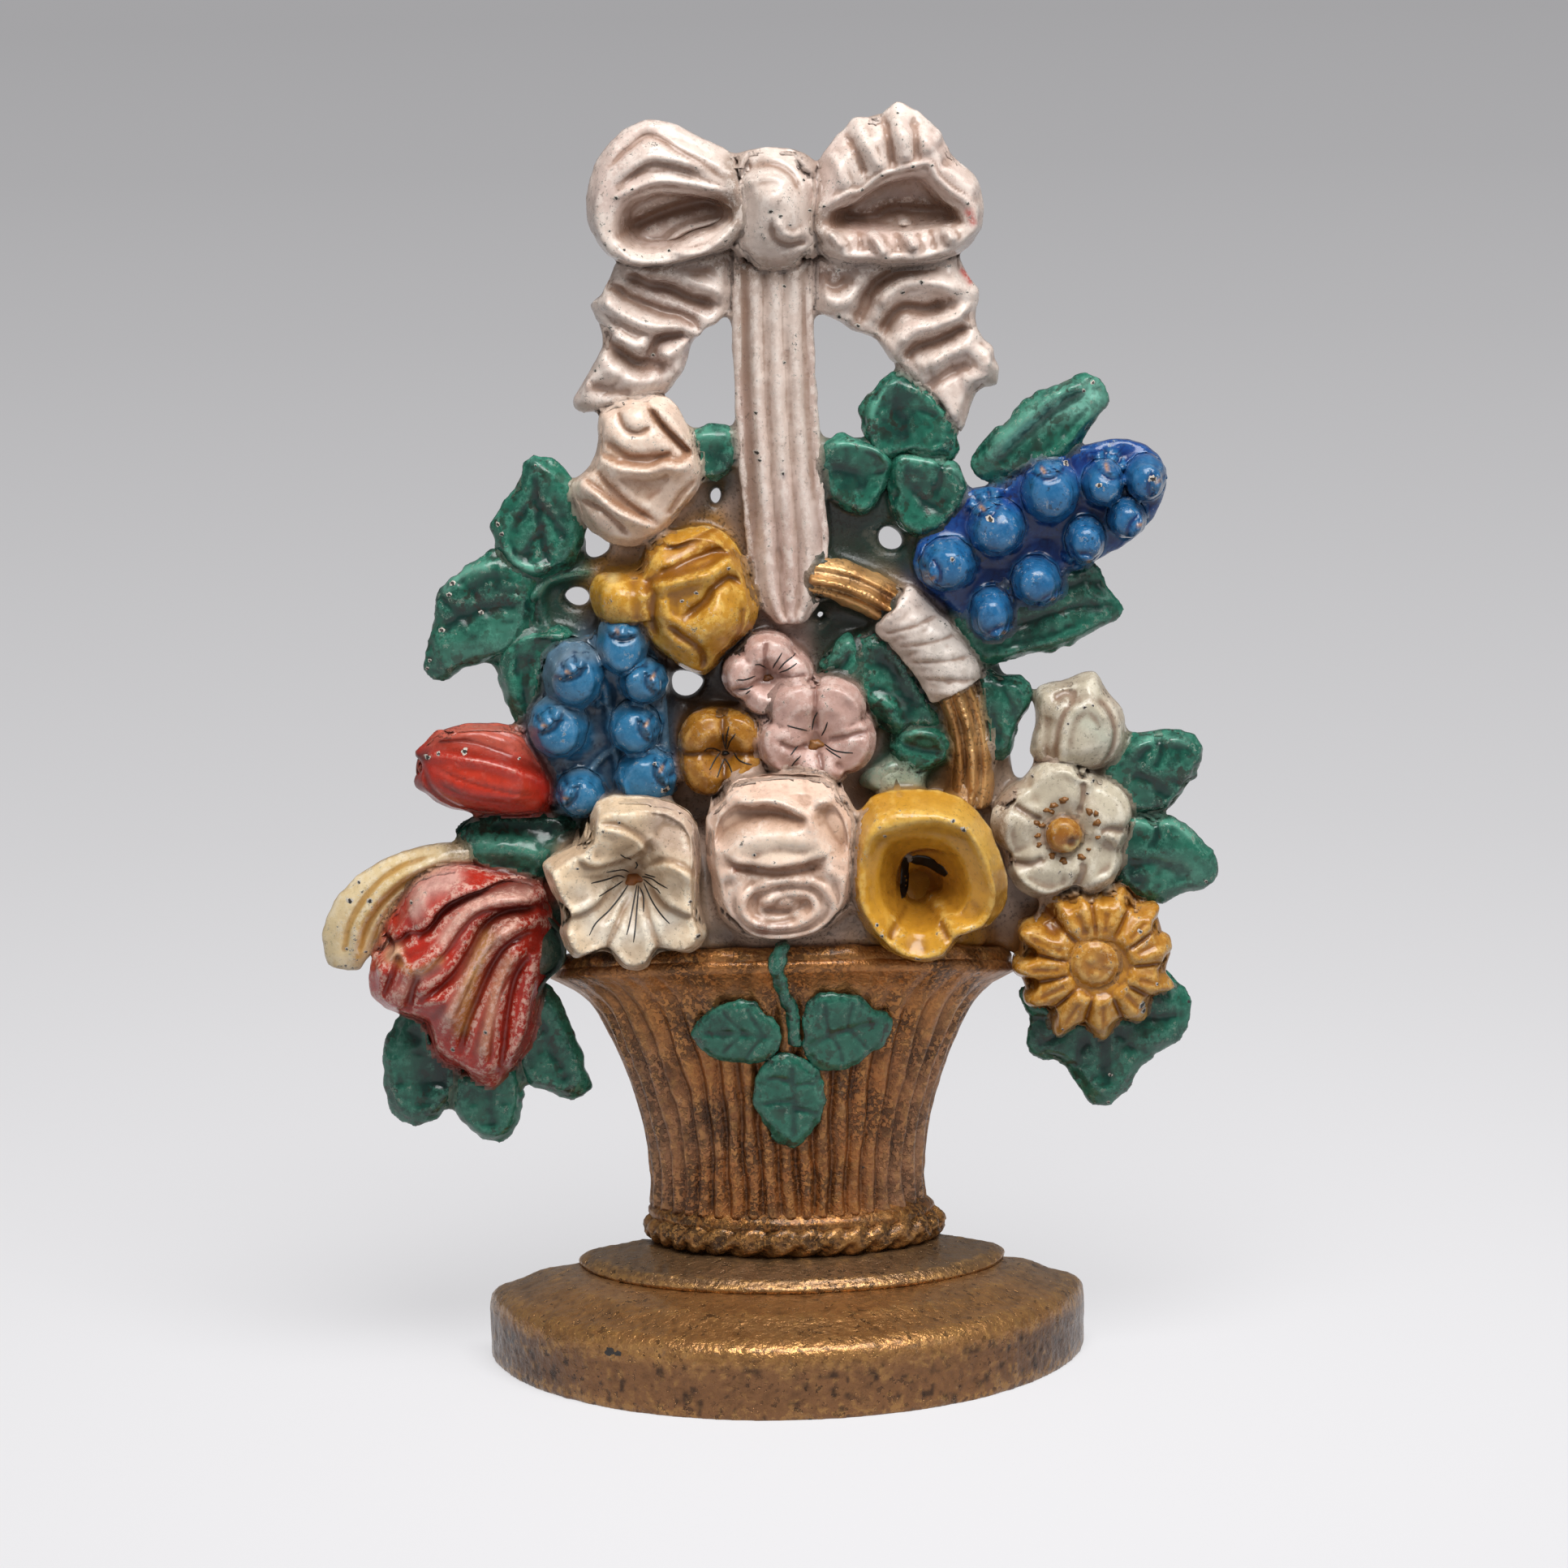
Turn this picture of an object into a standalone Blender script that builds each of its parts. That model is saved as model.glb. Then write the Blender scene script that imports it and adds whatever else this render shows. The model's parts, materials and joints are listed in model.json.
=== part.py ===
"""A cast iron doorstop: a basket of flowers, tied with a ribbon bow, on a half-round plinth.

Metres, +Z up. The origin is the middle of the foot. The flat back faces +Y and the flowers face -Y.
The real thing is one casting. Each form that was cut in its mould is a solid of its own here, set
CLEARANCE from its neighbours. Outlines are drawn in millimetres, as (x, height above the floor), on
a sheet where the basket's rim lies at DRAWN_RIM, and they move up or down with the rim.
"""

import math

import bmesh
import bpy
from mathutils import Vector

MM = 0.001
CLEARANCE = 0.3 * MM

# Plinth
PLINTH_HALF_WIDTH = 65 * MM
PLINTH_DEPTH = 54 * MM
PLINTH_EDGE = 12 * MM
PLINTH_ROUND = 4.5 * MM
PLINTH_CROWN = 3.8 * MM
PLINTH_CORNER = 0.12
BACK = PLINTH_DEPTH / 2

# Step on the plinth
STEP_HALF_WIDTH = 46 * MM
STEP_DEPTH = 29.5 * MM
STEP_RISER = 2.4 * MM
STEP_SLOPE = 2.2 * MM
STEP_OFFSET = 1.3 * MM

# Rope moulding and the basket's foot
ROPE_RADIUS = 4 * MM
ROPE_STRANDS = 26
ROPE_GROOVE = 0.14
ROPE_OFFSET = 2 * MM
FOOT_HALF_WIDTH = 28.8 * MM
FOOT_DEPTH = 16 * MM

# Basket
BASKET_HEIGHT = 50.5 * MM
BASKET_OFFSET = 0.6 * MM
BASKET_WALL = 5 * MM
MOUTH_HALF_WIDTH = 50 * MM
MOUTH_DEPTH = 26 * MM
MOUTH_RISE = 7 * MM
RIM_HEIGHT = 4.5 * MM
RIM_SETBACK = 2 * MM
FLUTES = 17
FLUTE_DEPTH = 0.7 * MM
FLARE = [(0, 0), (0.27, 0.05), (0.48, 0.16), (0.68, 0.33), (0.84, 0.52), (0.94, 0.74), (1, 1)]

# Ground that carries the flowers
WEB_THICKNESS = 4 * MM
WEB_INSET = 1.6 * MM
FORM_FOOT = 0.93
FRONT_FLOWER_FOOT = 0.8
MOUND_HEIGHT = 34 * MM
MOUND_SHARE = 0.93

# Relief above the flat back: the edge and the crest of each kind of form
LEAF_EDGE, LEAF_CREST = 6.5 * MM, 9 * MM
BOW_EDGE, BOW_CREST, BOW_MOUTH = 8 * MM, 13.5 * MM, 4.5 * MM
TAIL_EDGE, TAIL_CREST, TAIL_FOLD = 6 * MM, 9 * MM, 1.6 * MM
KNOT_EDGE, KNOT_CREST = 10 * MM, 15.5 * MM
STEM_CREST, STEM_FLUTE = 10 * MM, 1.2 * MM
BUD_EDGE, BUD_CREST = 8 * MM, 15 * MM
BELL_GROUND, BELL_CREST = 7.5 * MM, 15 * MM
SMALL_FLOWER_EDGE, SMALL_FLOWER_CREST = 12 * MM, 17 * MM
PARROT_EDGE, PARROT_CREST, PARROT_FOLD = 9 * MM, 19 * MM, 1.8 * MM
FRONT_FLOWER_EDGE, FRONT_FLOWER_CREST = 23 * MM, 31 * MM
HANDLE_CREST, HANDLE_RIB = 12 * MM, 1.4 * MM
WRAP_CREST = 14.5 * MM
SPRIG_THICKNESS = 2.4 * MM

# Basket handle, an arch that springs from the mouth
HANDLE_HALF_SPAN = 38 * MM
HANDLE_ARCH = 42 * MM
HANDLE_HALF_WIDTH = 4.4 * MM
HANDLE_FROM, HANDLE_TO = 84, -12
WRAP_FROM, WRAP_TO = 56, 24
WRAP_MARGIN = 1.6 * MM

# Heights that follow from the sizes above
PLINTH_TOP = PLINTH_EDGE + PLINTH_ROUND + PLINTH_CROWN
STEP_FOOT = PLINTH_TOP + CLEARANCE
STEP_TOP = STEP_FOOT + STEP_RISER + STEP_SLOPE
ROPE_FOOT = STEP_TOP + CLEARANCE
BODY_FOOT = ROPE_FOOT + 2 * ROPE_RADIUS + CLEARANCE
RIM = BODY_FOOT + BASKET_HEIGHT
DRAWN_RIM = 84 * MM
LIFT = RIM - DRAWN_RIM
FORM_BASE = WEB_THICKNESS + CLEARANCE

# Windows through the ground, drawn as (x, z) in millimetres
WINDOWS = {
    "beside_leaf": [(-38.5, 183.5), (-40.6, 177), (-36, 177.2), (-33.9, 179.9), (-35.4, 181.8)],
    "in_stems": [(-45.4, 168.6), (-44.3, 170.4), (-41.5, 171), (-39.2, 169.8), (-39.2, 166.8), (-42, 166)],
    "under_rose": [(-22.1, 152.8), (-18.3, 151.8), (-14.5, 150.6), (-17.6, 146.1), (-21, 146.2), (-22.9, 150)],
    "beside_bud": [(-11.1, 193), (-10, 190), (-11.6, 187.6), (-13.8, 188.6), (-12.9, 191.6)],
    "over_handle": [(23.6, 183), (26, 182.4), (28.3, 179.9), (26.8, 176.6), (22.8, 178.1), (22, 180)],
    "ribbon_end_right": [(10.2, 165.7), (11.3, 164.6), (10.2, 162), (8.8, 161.4), (8.4, 163.8)],
    "ribbon_end_left": [(-2, 164.6), (-0.3, 164.2), (0, 162.7), (-1.3, 162.1), (-2.5, 163.3)],
    "under_handle": [(18.3, 162.1), (19, 161.2), (18.6, 160), (17.7, 160.2)],
}

# Leaves: pole, then the outline round it
LEAVES = {
    "leaf_left_top": (
        (-49, 184),
        [(-50.5, 200.5), (-54.6, 193), (-58.6, 187), (-59.2, 181), (-56, 175), (-49.8, 173.5),
         (-43.5, 175.5), (-40, 181), (-41, 190), (-42, 194.5), (-46, 197.8)],
    ),
    "leaf_left_outer": (
        (-63, 165),
        [(-59.6, 179.4), (-66, 176), (-70.5, 171.5), (-73, 164.5), (-74.8, 156.5), (-74, 152.8),
         (-71, 151.6), (-66.2, 154.5), (-60, 155.4), (-54, 159), (-50.5, 168), (-51.5, 178)],
    ),
    "leaf_left_lower": (
        (-54, 157.5),
        [(-60, 155.5), (-58.5, 150), (-57.4, 145.7), (-55.5, 141.8), (-52, 143), (-49.5, 152),
         (-45.5, 157.5), (-42.2, 161), (-46.2, 162.8), (-52, 162), (-57, 159.5)],
    ),
    "leaf_under_bud": (
        (-56, 116),
        [(-66, 121.7), (-69.8, 116), (-66, 110.5), (-60, 107), (-51.5, 107), (-47, 114.5),
         (-42.3, 118.6), (-44, 121.5), (-54, 122.6)],
    ),
    "leaf_tulip_left": (
        (-78, 66),
        [(-81.5, 80), (-85.5, 73), (-87, 65), (-85.8, 58.8), (-82.5, 54.5), (-78, 53.8),
         (-72.6, 57.5), (-70, 63), (-71, 72), (-75, 79)],
    ),
    "leaf_tulip_middle": (
        (-64, 59),
        [(-72.3, 58), (-69.5, 54), (-66, 50.4), (-62, 49.2), (-58.6, 51.5), (-56.9, 57.5),
         (-56.5, 64), (-59, 69), (-66, 70), (-71, 65)],
    ),
    "leaf_tulip_right": (
        (-50, 70),
        [(-56, 62.8), (-51.5, 60.8), (-46, 59.1), (-42.2, 60.6), (-42.8, 66), (-45, 73),
         (-48, 79), (-51.3, 85), (-56, 80), (-58.5, 70)],
    ),
    "leaf_behind_rosebud": (
        (-11.5, 199.5),
        [(-17, 204.6), (-11.5, 205.2), (-8.2, 205), (-7.4, 200), (-9.5, 195.6), (-14.5, 193.8), (-17.5, 198)],
    ),
    "leaf_right_top": (
        (30, 206),
        [(26.5, 216.6), (22.6, 213), (20, 209), (20.3, 204), (23, 200), (30, 198.6), (38.5, 198),
         (40, 203), (38, 208), (33, 213)],
    ),
    "leaf_right_inner": (
        (17.5, 195),
        [(10.4, 201.6), (18.6, 202.4), (23.5, 200), (24.9, 196.5), (23.4, 191), (22, 187.6),
         (19, 185.8), (14, 188), (11, 192)],
    ),
    "leaf_right_middle": (
        (33.5, 190),
        [(28.4, 196.5), (34, 198), (39.5, 195.6), (42, 191), (41, 187), (38, 183), (33, 181),
         (27.5, 183), (24.9, 187), (25.5, 192)],
    ),
    "leaf_right_long_upper": (
        (58, 204),
        [(42, 196.5), (48, 203), (55, 209.2), (62.5, 213.5), (67.5, 215.4), (71.4, 212),
         (70.9, 207), (67, 202), (63, 197), (55, 194), (47, 192)],
    ),
    "leaf_right_long_lower": (
        (56, 164),
        [(67.9, 174.4), (71.5, 169.5), (75.1, 164.4), (72, 161.3), (63.2, 157.2), (55, 155),
         (42, 152.5), (38.5, 158), (38, 165), (46, 172), (58, 174)],
    ),
    "leaf_beside_handle": (
        (48.5, 143),
        [(43, 151.7), (48, 150.3), (52.6, 149.8), (54.9, 146), (53, 141), (50.6, 137), (50, 133),
         (45.6, 132), (44.6, 140)],
    ),
    "leaf_centre_upper": (
        (15, 154),
        [(9.5, 152.6), (12, 156.5), (16, 160), (18, 156.5), (18.6, 151), (16.5, 147.5), (12, 149)],
    ),
    "leaf_centre_back": (
        (25, 150),
        [(17.5, 160), (23.5, 160.5), (28, 156), (30.5, 150), (34, 144), (35, 139), (28, 138),
         (21, 141), (17, 148)],
    ),
    "leaf_centre_lower": (
        (31, 135),
        [(24.5, 135.5), (27.5, 139.4), (32, 140), (36, 138.2), (38, 135), (36, 131.6), (31.5, 129.5),
         (26.5, 130.5)],
    ),
    "leaf_centre_pale": (
        (25, 129),
        [(18, 127.5), (21, 131), (25.5, 132.6), (30, 131), (32, 127), (26, 124)],
    ),
    "leaf_blossom_upper": (
        (82, 128.5),
        [(73, 136), (80, 137.7), (87, 137.8), (91.2, 134), (91.3, 129.5), (88.2, 125.5),
         (84.5, 120.5), (76, 119), (66, 126)],
    ),
    "leaf_blossom_lower": (
        (82, 110),
        [(74, 118.9), (80, 119.1), (85.5, 118.6), (90, 114.8), (93.9, 109.2), (93.6, 104),
         (88, 102.4), (83.4, 100.8), (76, 101), (71, 108)],
    ),
    "leaf_daisy": (
        (71, 72),
        [(51.6, 80.5), (54.2, 76), (53, 71), (54, 67.5), (61, 64), (63.5, 59.8), (67, 55.8),
         (71.5, 54.8), (76, 60.2), (80, 66.8), (86, 69.6), (88.8, 74.5), (87, 81), (78, 88), (60, 86)],
    ),
}

# The bow: outlines of the loops, their mouths, the knot and the tails
LOOP_LEFT = (
    (-19, 249.5),
    [(-5, 261.5), (-14, 267), (-22.7, 270.7), (-31, 267.6), (-36.2, 260), (-37.7, 251.5),
     (-35, 244), (-30, 240.6), (-22, 240.1), (-13, 242), (-5, 245.5), (-4, 254)],
    [(-7, 252.5), (-14, 255.3), (-24, 255.9), (-30.4, 253), (-31.7, 247), (-27, 243.5),
     (-20, 243.8), (-13, 246.8), (-7.5, 248.4)],
)
LOOP_RIGHT = (
    (28, 251),
    [(11, 260.5), (14.5, 265.4), (19.5, 270), (26, 271), (30.5, 272.2), (35, 269), (39.2, 262),
     (44.8, 255.5), (45.6, 248), (41, 241.5), (33, 239), (22, 239.2), (11.5, 240.8), (9.5, 250)],
    [(11.5, 249.3), (18, 253), (25.6, 257.5), (33.5, 258.2), (38, 252.8), (43, 248.6), (36, 247),
     (30, 246), (23, 246.4), (16, 247)],
)
KNOT = (
    (2, 251),
    [(-6.3, 262.4), (-2, 264.1), (3, 264.2), (9.5, 262.6), (11, 256), (10.8, 247), (9.6, 241),
     (3, 239), (-5, 240), (-6.4, 246), (-5.6, 255)],
)
TAIL_LEFT = (
    (-26, 226),
    [(-31.5, 240.5), (-34.5, 235), (-36.7, 231), (-35.8, 227.5), (-34.4, 223), (-37.5, 218),
     (-40.6, 212.8), (-41.5, 209.6), (-39.5, 208.6), (-34, 209.5), (-28, 211), (-22.2, 212.5),
     (-18.6, 217), (-16.8, 222), (-15.6, 225.5), (-11, 227.6), (-7.6, 230), (-7, 243), (-20, 243)],
)
TAIL_RIGHT = (
    (31, 228),
    [(9.4, 241), (9.6, 229.6), (14, 228.2), (17.4, 225.6), (23, 223.6), (26, 219), (30, 215),
     (36, 209.5), (40.5, 203), (43, 209.5), (44.4, 212), (48.4, 213), (48.9, 216.4), (46, 221.5),
     (43.6, 226.2), (44.5, 231), (42.5, 236), (40, 241.5), (24, 243)],
)
STEM = [(1.6, 241, 8.2), (0.9, 228, 8.4), (1.4, 210, 8.6), (2.2, 195, 8.7), (3.3, 180, 8.5),
        (3.4, 172, 8.1), (3.6, 167, 6.4), (3.8, 163, 3)]

# Buds and full flowers: pole, then the outline round it
ROSEBUD = (
    (-27, 197),
    [(-35.8, 209), (-36.4, 203), (-38.4, 197), (-42.4, 193.8), (-41.6, 189), (-39.2, 184.6),
     (-34.2, 180.7), (-28, 180.5), (-22.5, 184.2), (-18, 189), (-14.8, 194), (-15.3, 200),
     (-18.3, 207), (-22, 211.8), (-29, 212)],
)
YELLOW_ROSE = (
    (-19, 168),
    [(-39, 169), (-37.6, 174), (-28.5, 174.6), (-26.6, 179.5), (-22, 182.8), (-13, 184),
     (-8, 180), (-5, 173), (-3.4, 167), (-5.6, 160.8), (-11.4, 155.8), (-15, 152.2), (-20.5, 154.6),
     (-26.4, 159.5), (-30, 165), (-36.5, 164)],
)
TULIP_BUD = (
    (-61, 132),
    [(-78, 133.4), (-72.3, 140.9), (-61.3, 142.2), (-54, 140), (-50, 134), (-47.6, 128),
     (-50.5, 122.9), (-60, 122.7), (-70, 124), (-76, 128)],
)
PARROT_TULIP = (
    (-66, 90),
    [(-87.5, 93), (-88.5, 84), (-82, 79.2), (-77, 77.4), (-75.4, 69.6), (-70, 66), (-64.8, 63.4),
     (-58.5, 67), (-54, 74), (-52, 83.5), (-49.2, 93), (-49.6, 102), (-52, 108), (-60, 109.5),
     (-69, 111.8), (-78, 109), (-83, 102)],
)
PARROT_HUB = (-48, 105)
OUTER_PETAL = [(-66, 113.6, 2.2), (-75, 112.6, 2.8), (-83.5, 108.5, 4.2), (-90, 102, 5.8),
               (-93.2, 95, 5.6), (-94.3, 89.3, 3.4)]
WHITE_BUD = (
    (65, 141),
    [(68.3, 151.1), (62, 149), (56.2, 147.4), (56, 141), (54.6, 134), (58.5, 129.5), (66, 129),
     (73, 132.4), (75, 138), (73.8, 143.4), (70.6, 147)],
)
PETUNIA = (
    (-31.2, 111),
    [(-38.3, 127.6), (-31, 128.6), (-22, 127), (-17.2, 122), (-17, 112), (-17.2, 105),
     (-15.7, 98), (-19, 94.8), (-26, 95.6), (-28.4, 91.8), (-33, 91.4), (-37, 96), (-44, 94),
     (-47, 99.5), (-46.2, 104.5), (-50.4, 114.4), (-42.2, 118.4)],
)
ROSE = (
    (0.5, 109),
    [(-14, 127.6), (-8, 131.8), (1, 132.6), (9.4, 132), (14.6, 129), (17, 120), (15.7, 107),
     (12.6, 101), (3, 97.4), (-6.5, 98.2), (-12.6, 102.4), (-14.2, 111), (-15.4, 119)],
)
TRUMPET = (
    (29.5, 107.5),
    [(20, 127.4), (29, 129), (39, 127), (44.8, 120.5), (48, 111), (48.2, 105), (45, 99.6),
     (38.6, 97.6), (35, 92.8), (29, 91.8), (22.5, 94.8), (16.5, 103), (15, 110), (16, 120)],
)

# Spikes of bells: the ground behind them, then each bell's centre and half sizes
SPIKE_LEFT = (
    (-38, 145),
    [(-33, 166.4), (-39, 161), (-47, 159.5), (-50, 151), (-53, 146), (-53, 137), (-48.5, 130),
     (-46, 122.5), (-38, 122), (-28, 124), (-21.5, 127), (-23, 136), (-23.4, 145), (-24, 154),
     (-27, 162)],
    [(-32.4, 159.8, 5.6, 6.8), (-43, 153, 6.6, 7.4), (-28, 151.5, 5.2, 5), (-46.5, 141.9, 6.3, 6.8),
     (-30.2, 141.4, 5.6, 5.8), (-28, 130.5, 6.7, 6.6), (-42.2, 127.3, 5.3, 5.2)],
)
SPIKE_RIGHT = (
    (58, 183),
    [(31, 179), (31, 172), (36, 167.5), (42, 162), (46, 158.4), (51, 160.5), (54.5, 166),
     (61, 167.5), (66, 174), (74, 178), (81, 184), (84, 191), (82.6, 197), (76, 200.6),
     (68, 199.4), (62, 198.4), (54, 198), (50, 191), (42, 190.4)],
    [(59.2, 190.6, 6.2, 6.8), (70.4, 192.3, 4.4, 4.9), (79.4, 193.2, 4.3, 5), (75.4, 184.7, 4.1, 4.3),
     (66.6, 180.2, 4.3, 4.9), (47.7, 183.1, 6.2, 6.2), (37.2, 175.3, 6, 5.8), (56, 171.4, 5.3, 5.3),
     (46.4, 164.6, 4.4, 5.7)],
)

# Small petalled flowers: centre, half sizes, petals, depth of the notches, turn in degrees
PETALLED = {
    "mauve_primrose_lower": ((8.6, 140), (12.9, 12.8), 5, 0.16, 54),
    "mauve_primrose_upper": ((-1.4, 152.3), (9.6, 8.8), 4, 0.14, 0),
    "ochre_pansy": ((-11.6, 135.8), (10.2, 10.2), 4, 0.14, 45),
    "white_blossom": ((61, 117.2), (15.4, 15.8), 5, 0.17, 20),
    "golden_daisy": ((67.4, 89), (17.2, 16.8), 12, 0.17, 5),
}
EYES = {"blossom_eye": ("white_blossom", 3.6), "daisy_eye": ("golden_daisy", 5.2)}

# The green sprig on the basket's front
SPRIG_LEAVES = {
    "sprig_leaf_left": (
        (-10, 76),
        [(-19.4, 75.8), (-15, 81.8), (-8, 83.6), (-1.6, 79), (0.2, 75), (-3, 70.4), (-10, 69), (-16, 71)],
    ),
    "sprig_leaf_right": (
        (14, 76),
        [(4.8, 80), (8.5, 84.4), (15.5, 84.2), (19.5, 80.6), (23.6, 77.8), (20, 71), (13, 67), (6.5, 68.6),
         (5, 74.4)],
    ),
    "sprig_leaf_bottom": (
        (2, 61),
        [(0.8, 71.4), (7.4, 67.5), (9.2, 60.5), (6.5, 53.6), (2.2, 49.8), (-3.4, 54.4), (-6.2, 60.8),
         (-4.6, 68)],
    ),
}
SPRIG_STEM = [(0.1, 96.5, 1.3), (-0.9, 91, 1.3), (0.4, 86, 1.3), (2.1, 81, 1.3), (2.6, 76, 1.5), (2.4, 73, 1.3)]

PAINTS = {
    "bronze": ((150, 105, 55), 0.45, 0.35),
    "ribbon_cream": ((214, 198, 188), 0.35, 0),
    "rosebud_cream": ((226, 202, 184), 0.35, 0),
    "rose_pink": ((228, 206, 190), 0.35, 0),
    "yellow": ((212, 165, 72), 0.35, 0),
    "sky_blue": ((70, 130, 175), 0.3, 0),
    "deep_blue": ((45, 110, 168), 0.3, 0),
    "leaf_green": ((45, 125, 100), 0.35, 0),
    "mauve": ((186, 152, 142), 0.35, 0),
    "ochre": ((200, 150, 50), 0.35, 0),
    "tulip_red": ((190, 60, 45), 0.35, 0),
    "tulip_cream": ((225, 205, 165), 0.35, 0),
    "petunia_cream": ((230, 218, 195), 0.35, 0),
    "blossom_white": ((206, 202, 182), 0.35, 0),
    "daisy_gold": ((205, 145, 50), 0.35, 0),
    "bare_iron": ((78, 66, 54), 0.6, 0.5),
}


def linear(channel):
    """One channel of an sRGB colour, 0 to 255, as the renderer's linear value."""
    share = channel / 255
    return share / 12.92 if share <= 0.04045 else ((share + 0.055) / 1.055) ** 2.4


def paint(name):
    if name in bpy.data.materials:
        return bpy.data.materials[name]
    colour, roughness, metallic = PAINTS[name]
    material = bpy.data.materials.new(name)
    material.use_nodes = True
    shader = material.node_tree.nodes["Principled BSDF"]
    shader.inputs["Base Color"].default_value = (*[linear(c) for c in colour], 1)
    shader.inputs["Roughness"].default_value = roughness
    shader.inputs["Metallic"].default_value = metallic
    return material


def clear_scene():
    for obj in list(bpy.data.objects):
        bpy.data.objects.remove(obj, do_unlink=True)
    for material in list(bpy.data.materials):
        bpy.data.materials.remove(material)


def on_sheet(point):
    """A drawn point, in metres, as (x, z)."""
    return Vector((point[0] * MM, point[1] * MM + LIFT))


def standing(point, height):
    """The point of space over a drawn one, at a height above the flat back."""
    return Vector((point[0], BACK - height, point[1]))


def catmull(a, b, c, d, t):
    return 0.5 * (2 * b + (c - a) * t + (2 * a - 5 * b + 4 * c - d) * t**2 + (3 * b - a - 3 * c + d) * t**3)


def closed_curve(points, steps=2):
    """Points on the smooth closed curve through the given ones."""
    count = len(points)
    curve = []
    for i in range(count):
        near = [points[(i + k) % count] for k in (-1, 0, 1, 2)]
        curve += [catmull(*near, s / steps) for s in range(steps)]
    return curve


def open_curve(points, steps):
    """Points on the smooth curve through the given ones, from the first to the last."""
    ends = [2 * points[0] - points[1], *points, 2 * points[-1] - points[-2]]
    curve = []
    for i in range(len(points) - 1):
        curve += [catmull(*ends[i : i + 4], s / steps) for s in range(steps)]
    return [*curve, points[-1]]


def reach(outline, pole, angle):
    """How far the outline lies from the pole in one direction."""
    ray = Vector((math.cos(angle), math.sin(angle)))
    side = Vector((-ray.y, ray.x))
    best = 0
    for a, b in zip(outline, outline[1:] + outline[:1]):
        from_a, from_b = (a - pole).dot(side), (b - pole).dot(side)
        if from_a * from_b > 0 or from_a == from_b:
            continue
        best = max(best, (a.lerp(b, from_a / (from_a - from_b)) - pole).dot(ray))
    return best


def loft(rings, pole=None):
    """A closed mesh through rings of as many points each, its ends capped flat or drawn in to the pole."""
    bm = bmesh.new()
    verts = bmesh.ops.create_circle(bm, segments=len(rings[0]))["verts"]
    for vert, place in zip(verts, rings[0]):
        vert.co = place
    edges = [bm.edges.get(pair) for pair in zip(verts, verts[1:] + verts[:1])]
    foot = list(edges)
    for ring in rings[1:] + ([[pole] * len(verts)] if pole else []):
        made = bmesh.ops.extrude_edge_only(bm, edges=edges)["geom"]
        fresh = {item for item in made if isinstance(item, bmesh.types.BMVert)}
        verts = [next(e.other_vert(v) for e in v.link_edges if e.other_vert(v) in fresh) for v in verts]
        for vert, place in zip(verts, ring):
            vert.co = place
        edges = [bm.edges.get(pair) for pair in zip(verts, verts[1:] + verts[:1])]
    bmesh.ops.contextual_create(bm, geom=foot)
    if pole:
        bmesh.ops.pointmerge(bm, verts=verts, merge_co=pole)
    else:
        bmesh.ops.contextual_create(bm, geom=edges)
    bmesh.ops.recalc_face_normals(bm, faces=bm.faces)
    return bm


def relief(outline, pole, base, levels, crown, ripple=None, foot=FORM_FOOT):
    """A form that stands a little inside its outline and closes over the pole.

    levels are (share of the way out from the pole, height above the back), from the edge inwards,
    and crown is the height at the pole. ripple(point, share) adds folds to the height.
    """
    rings = [[standing(pole.lerp(p, foot), base) for p in outline]]
    for share, height in levels:
        spots = [pole.lerp(p, share) for p in outline]
        rings.append([standing(p, height + (ripple(p, share) if ripple else 0)) for p in spots])
    return loft(rings, standing(pole, crown))


def strip(stations, steps, base, top):
    """A band along a drawn line of (x, z, half width). top(across, along) is its height above the back."""
    line = open_curve([Vector((*on_sheet(s), s[2] * MM)) for s in stations], steps)
    across = [-1, -0.85, -0.5, -0.25, 0, 0.25, 0.5, 0.85, 1]
    rings = []
    for i, spot in enumerate(line):
        before, after = line[max(i - 1, 0)], line[min(i + 1, len(line) - 1)]
        ahead = (after - before).to_2d().normalized()
        side = Vector((-ahead.y, ahead.x)) * spot.z
        places = [spot.to_2d() + side * a for a in across]
        along = i / (len(line) - 1)
        ring = [standing(p, top(a, along)) for p, a in zip(places, across)]
        feet = [spot.to_2d() + side * a * FORM_FOOT for a in (-1, 1)]
        rings.append([standing(feet[0], base), *ring, standing(feet[1], base)])
    edges = [[Vector((r[k].x, r[k].z)) for r in rings] for k in (1, -2)]
    return loft(rings), edges[0] + edges[1][::-1]


def inset(outline, margin):
    """The outline drawn in by a margin."""
    turning = sum(a.cross(b) for a, b in zip(outline, outline[1:] + outline[:1]))
    inward = math.copysign(margin, turning)
    drawn = []
    for before, spot, after in zip(outline[-1:] + outline[:-1], outline, outline[1:] + outline[:1]):
        ahead = (after - before).normalized()
        drawn.append(spot + Vector((-ahead.y, ahead.x)) * inward)
    return drawn


def prism(outline, low, high):
    """A flat plate of the outline between two heights above the back."""
    return loft([[standing(p, low) for p in outline], [standing(p, high) for p in outline]])


def add_object(name, bm, paint_name, helper=False):
    mesh = bpy.data.meshes.new(name)
    bm.to_mesh(mesh)
    bm.free()
    mesh.shade_smooth()
    mesh.set_sharp_from_angle(angle=math.radians(40))
    mesh.materials.append(paint(paint_name))
    obj = bpy.data.objects.new(name, mesh)
    bpy.context.scene.collection.objects.link(obj)
    if helper:
        obj.hide_render = True
        obj.display_type = "WIRE"
    return obj


def box_of(obj):
    corners = [Vector(c) for c in obj.bound_box]
    return [(min(c[k] for c in corners), max(c[k] for c in corners)) for k in range(3)]


def boxes_meet(a, b):
    return all(low_a < high_b and low_b < high_a for (low_a, high_a), (low_b, high_b) in zip(box_of(a), box_of(b)))


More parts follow.
